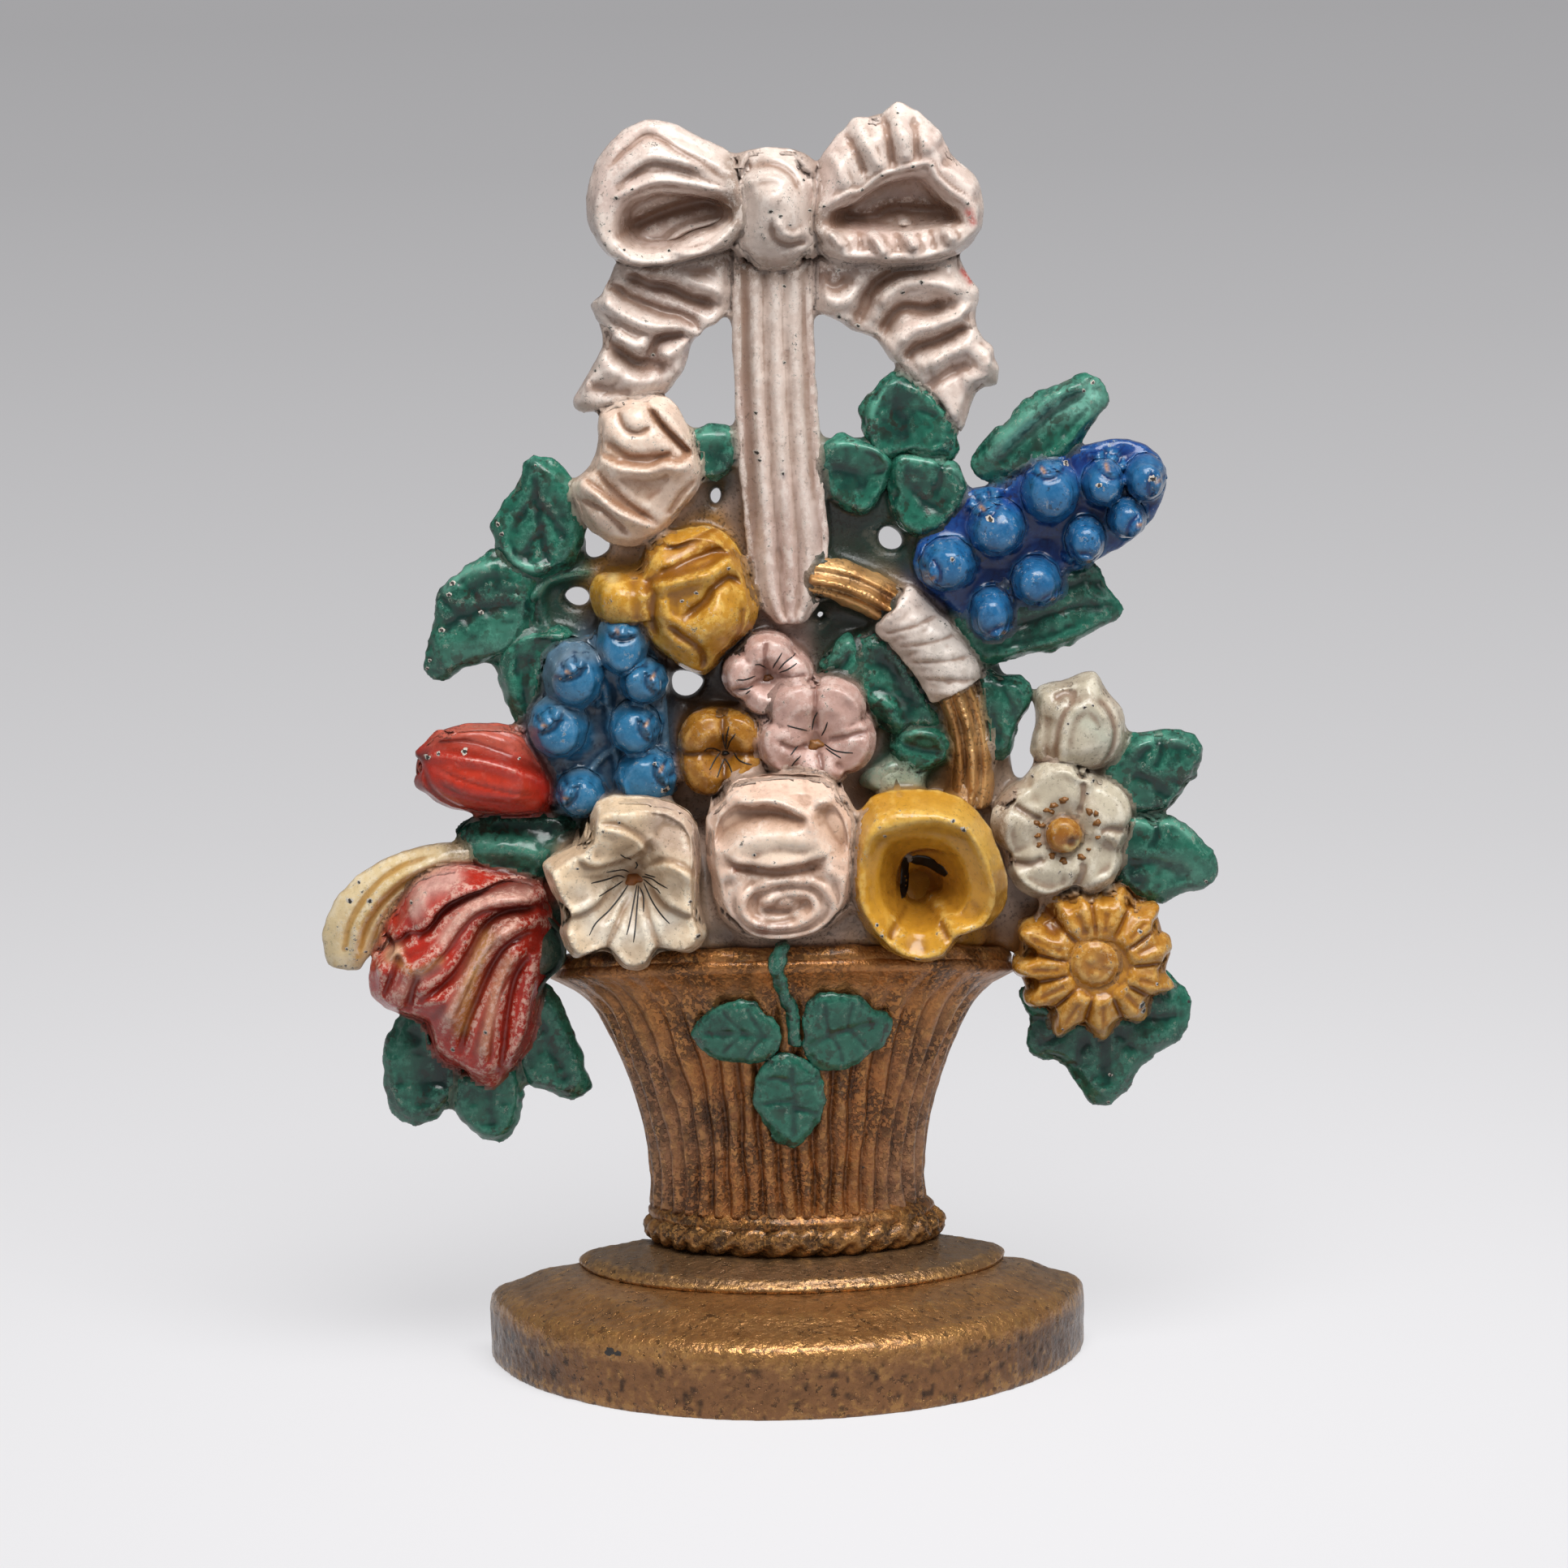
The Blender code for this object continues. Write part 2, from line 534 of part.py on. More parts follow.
def combine(obj, others, operation):
    """Cuts the others from the object, or joins them to it, and leaves the result as its mesh."""
    if not others:
        return
    group = bpy.data.collections.new("others")
    for other in others:
        group.objects.link(other)
    modifier = obj.modifiers.new(operation.lower(), "BOOLEAN")
    modifier.operation = operation
    modifier.operand_type = "COLLECTION"
    modifier.collection = group
    modifier.solver = "EXACT"
    modifier.use_self = True
    graph = bpy.context.evaluated_depsgraph_get()
    result = bpy.data.meshes.new_from_object(obj.evaluated_get(graph))
    obj.modifiers.clear()
    obj.data = result
    bpy.data.collections.remove(group)


def keep_largest(obj):
    """Drops the crumbs that a cut leaves beyond a neighbour, so that one body is left."""
    bm = bmesh.new()
    bm.from_mesh(obj.data)
    bmesh.ops.remove_doubles(bm, verts=bm.verts, dist=0.002 * MM)
    left = set(bm.faces)
    islands = []
    while left:
        stack = [left.pop()]
        island = []
        while stack:
            face = stack.pop()
            island.append(face)
            beyond = {f for e in face.edges for f in e.link_faces} & left
            left -= beyond
            stack += beyond
        islands.append(island)
    islands.sort(key=lambda island: sum(f.calc_area() for f in island))
    crumbs = [f for island in islands[:-1] for f in island]
    bmesh.ops.delete(bm, geom=crumbs, context="FACES")
    bm.to_mesh(obj.data)
    bm.free()


def grown(obj):
    """A hidden copy of the object with every face moved out by the clearance."""
    bm = bmesh.new()
    bm.from_mesh(obj.data)
    bm.normal_update()
    moves = [v.normal * min(v.calc_shell_factor(), 2) * CLEARANCE for v in bm.verts]
    for vert, move in zip(bm.verts, moves):
        vert.co += move
    return add_object("clear_of_" + obj.name, bm, "bare_iron", helper=True)


class Casting:
    """The forms in place so far, front ones first, and what each leaves clear."""

    def __init__(self):
        self.cutters = []
        self.footprints = []
        self.nodes = {}

    def place(self, name, bm, paint_name, outline=None, cuts=True):
        """Adds a form, cut back from all that already stands there."""
        obj = add_object(name, bm, paint_name)
        cutter = grown(obj) if cuts else None
        combine(obj, [c for c in self.cutters if boxes_meet(c, obj)], "DIFFERENCE")
        keep_largest(obj)
        if cutter:
            self.cutters.append(cutter)
        if outline:
            self.footprints.append(outline)
        self.nodes[name] = obj
        return obj


def half_round(half_width, depth, height, offset, count, corner=0, back=0):
    """A flat-backed ring of points: an arc over the front, its ends on the back plane."""
    start = math.asin(corner)
    wide = half_width / math.cos(start)
    deep = depth / (1 - corner)
    ring = []
    for i in range(count + 1):
        angle = start + (math.pi - 2 * start) * i / count
        out = deep * (math.sin(angle) - corner)
        ring.append(Vector((offset + wide * math.cos(angle), BACK - back - out, height)))
    return ring


def flare_at(share):
    """How far the basket has opened at a share of its height, 0 at the foot and 1 at the mouth."""
    for (low, a), (high, b) in zip(FLARE, FLARE[1:]):
        if share <= high:
            return a + (b - a) * (share - low) / (high - low)
    return 1


def mouth_height(out):
    """The height of the basket's mouth at a distance in front of the back."""
    return RIM + MOUTH_RISE * out / MOUTH_DEPTH


def basket_point(angle, share, inset=0, fluted=True):
    """A point of the basket's wall."""
    flare = flare_at(share)
    rib = FLUTE_DEPTH * math.cos(2 * FLUTES * angle) if fluted else 0
    wide = FOOT_HALF_WIDTH + (MOUTH_HALF_WIDTH - FOOT_HALF_WIDTH) * flare - inset + rib
    deep = FOOT_DEPTH + (MOUTH_DEPTH - FOOT_DEPTH) * flare - inset + rib
    out = deep * math.sin(angle)
    height = BODY_FOOT + (mouth_height(out) - BODY_FOOT) * share
    return Vector((BASKET_OFFSET + wide * math.cos(angle), BACK - out, height))


def basket_front(point):
    """How far the plain wall stands in front of the back at a drawn point of the basket's front."""
    out = MOUTH_DEPTH
    for _ in range(6):
        share = max(0, min(1, (point.y - BODY_FOOT) / (mouth_height(out) - BODY_FOOT)))
        flare = flare_at(share)
        wide = FOOT_HALF_WIDTH + (MOUTH_HALF_WIDTH - FOOT_HALF_WIDTH) * flare
        deep = FOOT_DEPTH + (MOUTH_DEPTH - FOOT_DEPTH) * flare
        out = deep * math.sqrt(max(0, 1 - ((point.x - BASKET_OFFSET) / wide) ** 2))
    return out


def make_plinth(casting):
    top = PLINTH_EDGE + PLINTH_ROUND
    inner = STEP_HALF_WIDTH / PLINTH_HALF_WIDTH
    levels = [(1, 0), (1, PLINTH_EDGE), (0.99, PLINTH_EDGE + 0.6 * PLINTH_ROUND), (0.955, top - 0.1 * PLINTH_ROUND),
              (0.9, top + 0.15 * PLINTH_CROWN), (inner + 0.1, top + 0.8 * PLINTH_CROWN), (inner, PLINTH_TOP)]
    rings = [half_round(PLINTH_HALF_WIDTH * s, PLINTH_DEPTH * s, z, 0, 28, PLINTH_CORNER) for s, z in levels]
    casting.place("plinth", loft(rings), "bronze", cuts=False)


def make_step(casting):
    inner = (FOOT_HALF_WIDTH + ROPE_RADIUS) / STEP_HALF_WIDTH
    riser = STEP_FOOT + STEP_RISER
    levels = [(1, STEP_FOOT), (0.99, riser - 0.3 * STEP_RISER), (0.965, riser), (inner, STEP_TOP)]
    rings = [half_round(STEP_HALF_WIDTH * s, STEP_DEPTH * s, z, STEP_OFFSET, 28) for s, z in levels]
    casting.place("plinth_step", loft(rings), "bronze", cuts=False)


def make_rope(casting):
    """A twisted rope laid round the basket's foot, ending flat on the back."""
    count = ROPE_STRANDS * 3
    around = 8
    middle = ROPE_FOOT + ROPE_RADIUS
    rings = []
    for i in range(count + 1):
        angle = math.pi * i / count
        ring = []
        for k in range(around):
            turn = 2 * math.pi * k / around
            lobe = 1 - ROPE_GROOVE * (1 - math.cos(2 * ROPE_STRANDS * angle + turn)) / 2
            radius = ROPE_RADIUS * lobe
            wide = FOOT_HALF_WIDTH + CLEARANCE + radius * math.cos(turn)
            deep = FOOT_DEPTH + CLEARANCE + radius * math.cos(turn)
            place = (ROPE_OFFSET + wide * math.cos(angle), BACK - deep * math.sin(angle), middle + radius * math.sin(turn))
            ring.append(Vector(place))
        rings.append(ring)
    casting.place("rope_band", loft(rings), "bronze", cuts=False)


def make_core(casting):
    """The solid drum inside the rope, which carries the basket."""
    gap = ROPE_RADIUS + abs(ROPE_OFFSET - BASKET_OFFSET) + CLEARANCE
    wide, deep = FOOT_HALF_WIDTH - gap, FOOT_DEPTH - gap
    rings = [half_round(wide, deep, z, ROPE_OFFSET, 18) for z in (ROPE_FOOT, BODY_FOOT - CLEARANCE)]
    casting.place("basket_foot", loft(rings), "bronze", cuts=False)


def make_basket(casting):
    shares = [s for s, _ in FLARE]
    count = FLUTES * 4
    rings = []
    for i in range(count + 1):
        angle = math.pi * i / count
        outer = [basket_point(angle, s) for s in shares]
        inner = [basket_point(angle, s, BASKET_WALL, False) for s in (1, 0.84, 0.48, 0)]
        rings.append(outer + inner)
    casting.place("basket_body", loft(rings), "bronze", cuts=False)


def make_rim(casting):
    rings = []
    for i in range(33):
        angle = math.pi * i / 32
        ring = []
        for inset, rise in ((0, 0), (0, 0.25), (RIM_SETBACK, 1), (BASKET_WALL + RIM_SETBACK, 1), (BASKET_WALL, 0)):
            spot = basket_point(angle, 1, inset, False)
            spot.z += CLEARANCE + RIM_HEIGHT * rise
            ring.append(spot)
        rings.append(ring)
    casting.place("basket_rim", loft(rings), "bronze", cuts=False)


def basket_envelope():
    """The basket with its hollow filled, grown by the clearance, which keeps the flowers off it."""
    shares = [s for s, _ in FLARE]
    count = FLUTES * 4
    rings = []
    for share in shares:
        ring = [basket_point(math.pi * i / count, share) for i in range(count + 1)]
        rings.append([p + Vector((0, 2 * CLEARANCE if i in (0, count) else 0, 0)) for i, p in enumerate(ring)])
    top = []
    for i in range(count + 1):
        spot = basket_point(math.pi * i / count, 1, RIM_SETBACK, False)
        spot.z += CLEARANCE + RIM_HEIGHT
        top.append(spot + Vector((0, 2 * CLEARANCE if i in (0, count) else 0, 0)))
    lip = [basket_point(math.pi * i / count, 1, 0, False) + Vector((0, 0, RIM_HEIGHT / 3)) for i in range(count + 1)]
    rings += [lip, top]
    solid = add_object("basket_envelope", loft(rings), "bare_iron", helper=True)
    cutter = grown(solid)
    bpy.data.objects.remove(solid)
    return cutter


def make_mound(casting):
    """The heaped ground over the mouth, behind the three front flowers."""
    levels = [(MOUND_SHARE, 0), (0.95 * MOUND_SHARE, 0.25), (0.84 * MOUND_SHARE, 0.55), (0.62 * MOUND_SHARE, 0.82),
              (0.3 * MOUND_SHARE, 0.97)]
    rings = []
    for share, rise in levels:
        wide = (MOUTH_HALF_WIDTH - RIM_SETBACK) * share
        deep = (MOUTH_DEPTH - RIM_SETBACK) * share - FORM_BASE
        ring = half_round(wide, deep, 0, BASKET_OFFSET, 24, back=FORM_BASE)
        for spot in ring:
            seat = mouth_height(BACK - spot.y) + RIM_HEIGHT + 2 * CLEARANCE
            spot.z = seat + MOUND_HEIGHT * rise * (1 - 0.5 * rise * (BACK - spot.y) / MOUTH_DEPTH)
        rings.append(ring)
    casting.place("bouquet_mound", loft(rings), "leaf_green")


def make_front_flowers(casting):
    forms = {
        "cream_petunia": (PETUNIA, "petunia_cream", [(0.86, 0.9), (0.55, 0.7), (0.2, 0.1)], -0.1),
        "pink_rose": (ROSE, "rose_pink", [(0.85, 0.8), (0.62, 1.1), (0.4, 0.9), (0.2, 1.15)], 1.0),
        "yellow_trumpet": (TRUMPET, "yellow", [(0.84, 1), (0.6, 0.7), (0.3, -0.5)], -1.0),
    }
    rise = FRONT_FLOWER_CREST - FRONT_FLOWER_EDGE
    for name, ((pole, points), paint_name, levels, crown) in forms.items():
        outline = closed_curve([on_sheet(p) for p in points])
        heights = [(1, FRONT_FLOWER_EDGE)] + [(s, FRONT_FLOWER_EDGE + rise * k) for s, k in levels]
        top = FRONT_FLOWER_EDGE + rise * crown
        bm = relief(outline, on_sheet(pole), FORM_BASE, heights, top, foot=FRONT_FLOWER_FOOT)
        casting.place(name, bm, paint_name, outline)


def petalled(centre, sizes, petals, notch, turn):
    """The outline of a flower with round petals, and the ripple of the grooves between them."""
    middle = on_sheet(centre)
    points = []
    steps = petals * (4 if petals > 6 else 8)
    for i in range(steps):
        angle = 2 * math.pi * i / steps
        lobe = abs(math.cos(petals * (angle - math.radians(turn)) / 2)) ** 0.7
        size = 1 - notch + notch * lobe
        points.append(middle + Vector((sizes[0] * MM * size * math.cos(angle), sizes[1] * MM * size * math.sin(angle))))

    def groove(spot, share):
        away = spot - middle
        angle = math.atan2(away.y / sizes[1], away.x / sizes[0])
        lobe = abs(math.cos(petals * (angle - math.radians(turn)) / 2))
        return -1.6 * MM * (1 - lobe) * share

    return middle, points, groove


def make_petalled(casting, name, paint_name, lift=0):
    middle, outline, groove = petalled(*PETALLED[name])
    crest = SMALL_FLOWER_CREST + lift
    levels = [(1, SMALL_FLOWER_EDGE + lift), (0.85, crest - 1 * MM), (0.55, crest), (0.25, crest - 2 * MM)]
    bm = relief(outline, middle, FORM_BASE, levels, crest - 3 * MM, groove)
    casting.place(name, bm, paint_name, outline)


def make_eye(casting, name, paint_name):
    """The raised disc in the middle of a flower, seated on its petals."""
    flower, size = EYES[name]
    middle = on_sheet(PETALLED[flower][0])
    ring = [middle + Vector((math.cos(a), math.sin(a))) * size * MM for a in [2 * math.pi * i / 14 for i in range(14)]]
    crest = SMALL_FLOWER_CREST
    bm = relief(ring, middle, crest - 5 * MM, [(1, crest - 0.6 * MM), (0.7, crest + 0.8 * MM)], crest + 1 * MM)
    casting.place(name, bm, paint_name)


def make_handle(casting):
    """Three ribs along an arch that springs from the basket's mouth, and the ribbon wound round it."""
    middle = Vector((4 * MM, 131 * MM + LIFT))

    def arch(start, end, count, extra):
        spots = []
        for i in range(count + 1):
            angle = math.radians(start + (end - start) * i / count)
            x = middle.x + HANDLE_HALF_SPAN * math.cos(angle)
            z = middle.y + HANDLE_ARCH * math.sin(angle) - LIFT
            spots.append((x / MM, z / MM, (HANDLE_HALF_WIDTH + extra) / MM))
        return spots

    def ribbed(across, along):
        rib = HANDLE_RIB * math.cos(3 * math.pi * across)
        return HANDLE_CREST - HANDLE_RIB - 3.5 * MM * across**2 + rib

    def wound(across, along):
        twist = 0.5 * MM * math.cos(2 * math.pi * (4 * along + across / 2))
        return WRAP_CREST - 4 * MM * across**2 + twist

    bm, outline = strip(arch(HANDLE_FROM, HANDLE_TO, 14, 0), 1, FORM_BASE, ribbed)
    casting.place("basket_handle", bm, "bronze", outline)
    bm, outline = strip(arch(WRAP_FROM, WRAP_TO, 9, WRAP_MARGIN), 1, FORM_BASE, wound)
    casting.place("handle_wrap", bm, "ribbon_cream", outline)


def make_bow(casting):
    """Knot, two loops with open mouths, two folded tails and the fluted ribbon, all down to the back."""
    pole, points = KNOT
    outline = closed_curve([on_sheet(p) for p in points])
    levels = [(1, KNOT_EDGE), (0.75, 0.85 * KNOT_CREST), (0.4, KNOT_CREST)]
    casting.place("bow_knot", relief(outline, on_sheet(pole), 0, levels, KNOT_CREST), "ribbon_cream", outline)
    for name, (pole, outer, mouth) in (("bow_loop_left", LOOP_LEFT), ("bow_loop_right", LOOP_RIGHT)):
        middle = on_sheet(pole)
        rims = [closed_curve([on_sheet(p) for p in points], 4) for points in (outer, mouth)]
        angles = [2 * math.pi * i / 28 for i in range(28)]
        out, lip = [[middle + Vector((math.cos(a), math.sin(a))) * reach(rim, middle, a) for a in angles] for rim in rims]
        rings = [[standing(middle.lerp(p, FORM_FOOT), 0) for p in out]]
        for share, height in ((0, BOW_EDGE), (0.35, BOW_CREST), (0.8, 0.95 * BOW_CREST), (1, 0.8 * BOW_CREST)):
            rings.append([standing(a.lerp(b, share), height) for a, b in zip(out, lip)])
        rings.append([standing(middle.lerp(p, 0.8), BOW_MOUTH) for p in lip])
        casting.place(name, loft(rings, standing(middle, BOW_MOUTH)), "ribbon_cream", out)

    def folds(spot, share):
        return TAIL_FOLD * math.sin(2 * math.pi * (spot.y - 0.35 * abs(spot.x)) / (10.5 * MM)) * share

    for name, (pole, points) in (("bow_tail_left", TAIL_LEFT), ("bow_tail_right", TAIL_RIGHT)):
        outline = [on_sheet(p) for p in points]
        levels = [(1, TAIL_EDGE), (0.85, TAIL_CREST), (0.55, TAIL_CREST), (0.25, TAIL_CREST)]
        bm = relief(outline, on_sheet(pole), 0, levels, TAIL_CREST, folds)
        casting.place(name, bm, "ribbon_cream")

    def fluted(across, along):
        return STEM_CREST - STEM_FLUTE + STEM_FLUTE * math.cos(2 * math.pi * across * 2) - 2 * MM * across**4

    bm, _ = strip(STEM, 1, 0, fluted)
    casting.place("ribbon_stem", bm, "ribbon_cream")


def make_solid_form(casting, name, shape, paint_name, edge, crest, ripple=None):
    pole, points = shape
    outline = closed_curve([on_sheet(p) for p in points])
    levels = [(1, edge), (0.86, edge + 0.6 * (crest - edge)), (0.5, crest)]
    casting.place(name, relief(outline, on_sheet(pole), FORM_BASE, levels, crest, ripple), paint_name, outline)


def make_spike(casting, name, shape, paint_name):
    """Bells joined to the ground behind them."""
    pole, points, bells = shape
    outline = closed_curve([on_sheet(p) for p in points])
    ground = add_object(name + "_ground", prism(outline, FORM_BASE, BELL_GROUND), paint_name)
    helpers = []
    for i, (x, z, wide, high) in enumerate(bells):
        middle = on_sheet((x, z))
        ring = []
        for k in range(10):
            angle = 2 * math.pi * k / 10
            ring.append(middle + Vector((wide * MM * math.cos(angle), high * MM * math.sin(angle))))
        levels = [(1, 0.75 * BELL_CREST), (0.65, BELL_CREST)]
        bell = relief(ring, middle, FORM_BASE + 1 * MM, levels, BELL_CREST)
        helpers.append(add_object(f"{name}_bell_{i}", bell, paint_name, helper=True))
    combine(ground, helpers, "UNION")
    bm = bmesh.new()
    bm.from_mesh(ground.data)
    for helper in [*helpers, ground]:
        bpy.data.objects.remove(helper)
    casting.place(name, bm, paint_name, outline)


def make_tulips(casting):
    make_solid_form(casting, "red_tulip_bud", TULIP_BUD, "tulip_red", BUD_EDGE, BUD_CREST)
    hub = on_sheet(PARROT_HUB)

    def swirl(spot, share):
        away = spot - hub
        return PARROT_FOLD * math.sin(7 * math.atan2(away.y, away.x) + 30 * away.length) * min(1, 2 * share)

    make_solid_form(casting, "parrot_tulip", PARROT_TULIP, "tulip_red", PARROT_EDGE, PARROT_CREST, swirl)

    def cupped(across, along):
        return BUD_EDGE + 3 * MM * (1 - across**2) * math.sin(math.pi * (0.15 + 0.7 * along))

    bm, outline = strip(OUTER_PETAL, 2, FORM_BASE, cupped)
    casting.place("parrot_tulip_outer_petal", bm, "tulip_cream", outline)


def make_leaf(casting, name):
    pole, points = LEAVES[name]
    outline = closed_curve([on_sheet(p) for p in points])
    levels = [(1, LEAF_EDGE), (0.75, LEAF_CREST)]
    casting.place(name, relief(outline, on_sheet(pole), FORM_BASE, levels, LEAF_CREST), "leaf_green", outline)


def make_sprig(casting):
    """Three leaves and a stem lying on the basket's fluted front."""
    for name, (pole, points) in SPRIG_LEAVES.items():
        outline = closed_curve([on_sheet(p) for p in points])
        middle = on_sheet(pole)
        rings = [[standing(p, basket_front(p) - BASKET_WALL / 2) for p in outline]]
        for share, thickness in ((1, 0.6), (0.8, 1)):
            spots = [middle.lerp(p, share) for p in outline]
            rings.append([standing(p, basket_front(p) + SPRIG_THICKNESS * thickness) for p in spots])
        bm = loft(rings, standing(middle, basket_front(middle) + SPRIG_THICKNESS))
        casting.place(name, bm, "leaf_green")
    line = open_curve([Vector((*on_sheet(s), s[2] * MM)) for s in SPRIG_STEM], 2)
    rings = []
    for spot in line:
        front = basket_front(spot.to_2d())
        ring = [(-1, -BASKET_WALL / 2), (-1, 0.4 * SPRIG_THICKNESS), (0, 0.9 * SPRIG_THICKNESS),
                (1, 0.4 * SPRIG_THICKNESS), (1, -BASKET_WALL / 2)]
        rings.append([standing((spot.x + a * spot.z, spot.y), front + h) for a, h in ring])
    casting.place("sprig_stem", loft(rings), "leaf_green")


def make_web(casting, windows, basket):
    """The plate behind the bouquet: the forms' own outlines joined, with the windows left open."""
    ground = [(-46, 91), (-50, 97), (-52, 112), (-52, 128), (-50, 140), (-54, 150), (-57, 162), (-52, 174),
              (-42, 178), (-38, 184), (-30, 186), (-20, 186), (-12, 198), (-4, 200), (4, 160), (12, 190),
              (24, 192), (30, 184), (36, 172), (42, 162), (48, 152), (50, 134), (52, 120), (60, 103), (56, 93), (49, 88), (44, 90)]
    sheet = [on_sheet(p) for p in ground]
    web = add_object("backing_web", prism(sheet, 0, WEB_THICKNESS), "bare_iron")
    plates = []
    for outline in casting.footprints:
        plate = prism(inset(outline[::2], WEB_INSET), 0, WEB_THICKNESS)
        plates.append(add_object("plate", plate, "bare_iron", helper=True))
    combine(web, plates, "UNION")
    for plate in plates:
        bpy.data.objects.remove(plate)
    deep = [c for c in casting.cutters if c.name.removeprefix("clear_of_").startswith(("bow_", "ribbon_"))]
    combine(web, [*windows, basket, *[c for c in deep if boxes_meet(c, web)]], "DIFFERENCE")
    keep_largest(web)


def make_all():
    clear_scene()
    casting = Casting()
    make_plinth(casting)
    make_step(casting)
    make_rope(casting)
    make_core(casting)
    make_basket(casting)
    make_rim(casting)
    basket = basket_envelope()
    windows = []
    for name, points in WINDOWS.items():
        outline = closed_curve([on_sheet(p) for p in points])
        window = prism(outline, -MM, FRONT_FLOWER_CREST)
        windows.append(add_object("window_" + name, window, "bare_iron", helper=True))
    casting.cutters = [basket, *windows]
    make_mound(casting)
    make_front_flowers(casting)
    make_petalled(casting, "mauve_primrose_lower", "mauve", 3 * MM)
    make_petalled(casting, "mauve_primrose_upper", "mauve")
    make_petalled(casting, "ochre_pansy", "ochre")
    make_leaf(casting, "leaf_centre_pale")
    make_leaf(casting, "leaf_centre_lower")
    make_leaf(casting, "leaf_centre_upper")
    make_handle(casting)
    make_bow(casting)
    make_solid_form(casting, "rosebud", ROSEBUD, "rosebud_cream", BUD_EDGE, BUD_CREST)
    make_solid_form(casting, "yellow_rose", YELLOW_ROSE, "yellow", BUD_EDGE, BUD_CREST + 3 * MM)
    make_spike(casting, "bluebell_spike_left", SPIKE_LEFT, "sky_blue")
    make_spike(casting, "bluebell_spike_right", SPIKE_RIGHT, "deep_blue")
    make_tulips(casting)
    make_petalled(casting, "white_blossom", "blossom_white")
    make_eye(casting, "blossom_eye", "ochre")
    make_solid_form(casting, "white_bud", WHITE_BUD, "blossom_white", BUD_EDGE, BUD_CREST)
    make_petalled(casting, "golden_daisy", "daisy_gold")
    make_eye(casting, "daisy_eye", "daisy_gold")
    placed = ("leaf_centre_pale", "leaf_centre_lower", "leaf_centre_upper")
    for name in LEAVES:
        if name not in placed:
            make_leaf(casting, name)
    make_sprig(casting)
    make_web(casting, windows, basket)


make_all()
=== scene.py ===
"""Looks of the flower-basket doorstop: soft hand-carved relief under old hand-laid paint.

Every form of the casting is skinned evenly from its solid, carved, chased with folds and veins, and
painted. Drawn points are (x, z) in millimetres on the sheet that the solids were drawn on.
"""

import json
import math

import bmesh
import bpy
import numpy as np
from bpy.props import FloatProperty, FloatVectorProperty, IntProperty, PointerProperty
from mathutils import Matrix, Vector
from mathutils.bvhtree import BVHTree

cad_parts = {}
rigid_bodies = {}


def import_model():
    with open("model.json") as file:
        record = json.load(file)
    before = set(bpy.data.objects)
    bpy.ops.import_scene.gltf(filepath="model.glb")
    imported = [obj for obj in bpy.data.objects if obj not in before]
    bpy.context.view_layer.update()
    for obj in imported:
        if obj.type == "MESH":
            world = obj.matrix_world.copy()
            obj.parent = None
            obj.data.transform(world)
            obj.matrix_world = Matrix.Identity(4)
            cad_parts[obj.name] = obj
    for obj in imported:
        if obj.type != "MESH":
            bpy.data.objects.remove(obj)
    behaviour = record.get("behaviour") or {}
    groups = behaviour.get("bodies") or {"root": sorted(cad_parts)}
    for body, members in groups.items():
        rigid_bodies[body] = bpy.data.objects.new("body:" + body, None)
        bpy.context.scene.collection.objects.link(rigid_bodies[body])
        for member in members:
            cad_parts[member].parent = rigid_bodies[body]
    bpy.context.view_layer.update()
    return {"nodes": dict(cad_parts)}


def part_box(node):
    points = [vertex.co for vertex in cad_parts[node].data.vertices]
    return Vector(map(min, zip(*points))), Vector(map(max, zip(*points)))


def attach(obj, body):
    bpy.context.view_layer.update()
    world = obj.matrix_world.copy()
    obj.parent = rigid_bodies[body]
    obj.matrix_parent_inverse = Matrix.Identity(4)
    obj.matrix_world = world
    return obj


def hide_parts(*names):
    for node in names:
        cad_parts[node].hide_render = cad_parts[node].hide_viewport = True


bl_info = {
    "name": "Flower Basket Doorstop",
    "version": (1, 0, 0),
    "blender": (4, 5, 0),
    "location": "View3D > Sidebar > Doorstop",
    "description": "Carves and paints a cast iron doorstop over its solids",
    "category": "Object",
}

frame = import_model()
MM = 0.001
# In millimetres from here on: how far the sheet lies over the floor, the plane of the flat backs
LIFT = 0.3
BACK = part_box("plinth")[1].y / MM
# Half sizes of the basket at its foot and mouth, how far its middle lies aside, and the rim's slope
FOOT, MOUTH, ASIDE, RIM_RISE = (28.8, 16.0), (50.0, 26.0), 0.6, 7.0
# The handle's middle line, an arch round a point on the sheet
ARCH_MIDDLE, ARCH_RADII = (4, 131), (38, 42)
DAISY_HEART = (68.6, 88.3)
# How far points lie under the surface near them, close by and farther off, where dirt and painted shade
# fill them
FINE_HOLLOW, BROAD_HOLLOW = 0.05, 0.28
# The bow's back stands this far before the ground's, so that the two planes don't meet
BOW_BACK = BACK - 0.7
# Colours under the paint: rust in the pits, the chalky edge of a flake, and bare iron
PIT_RUST, FLAKE_EDGE, BARE_IRON = (40, 28, 20), (224, 214, 200), (56, 46, 38)
# Strides of the noise's cells along x, y and z, and the number that mixes them
CELL_STRIDES, CELL_MIX = (374761393, 668265263, 2147483647 % 982451653), 1274126177


def linear(colour):
    """An sRGB colour, 0 to 255 a channel, as the renderer's linear one."""
    share = np.array(colour, float) / 255
    return np.where(share <= 0.04045, share / 12.92, ((share + 0.055) / 1.055) ** 2.4)


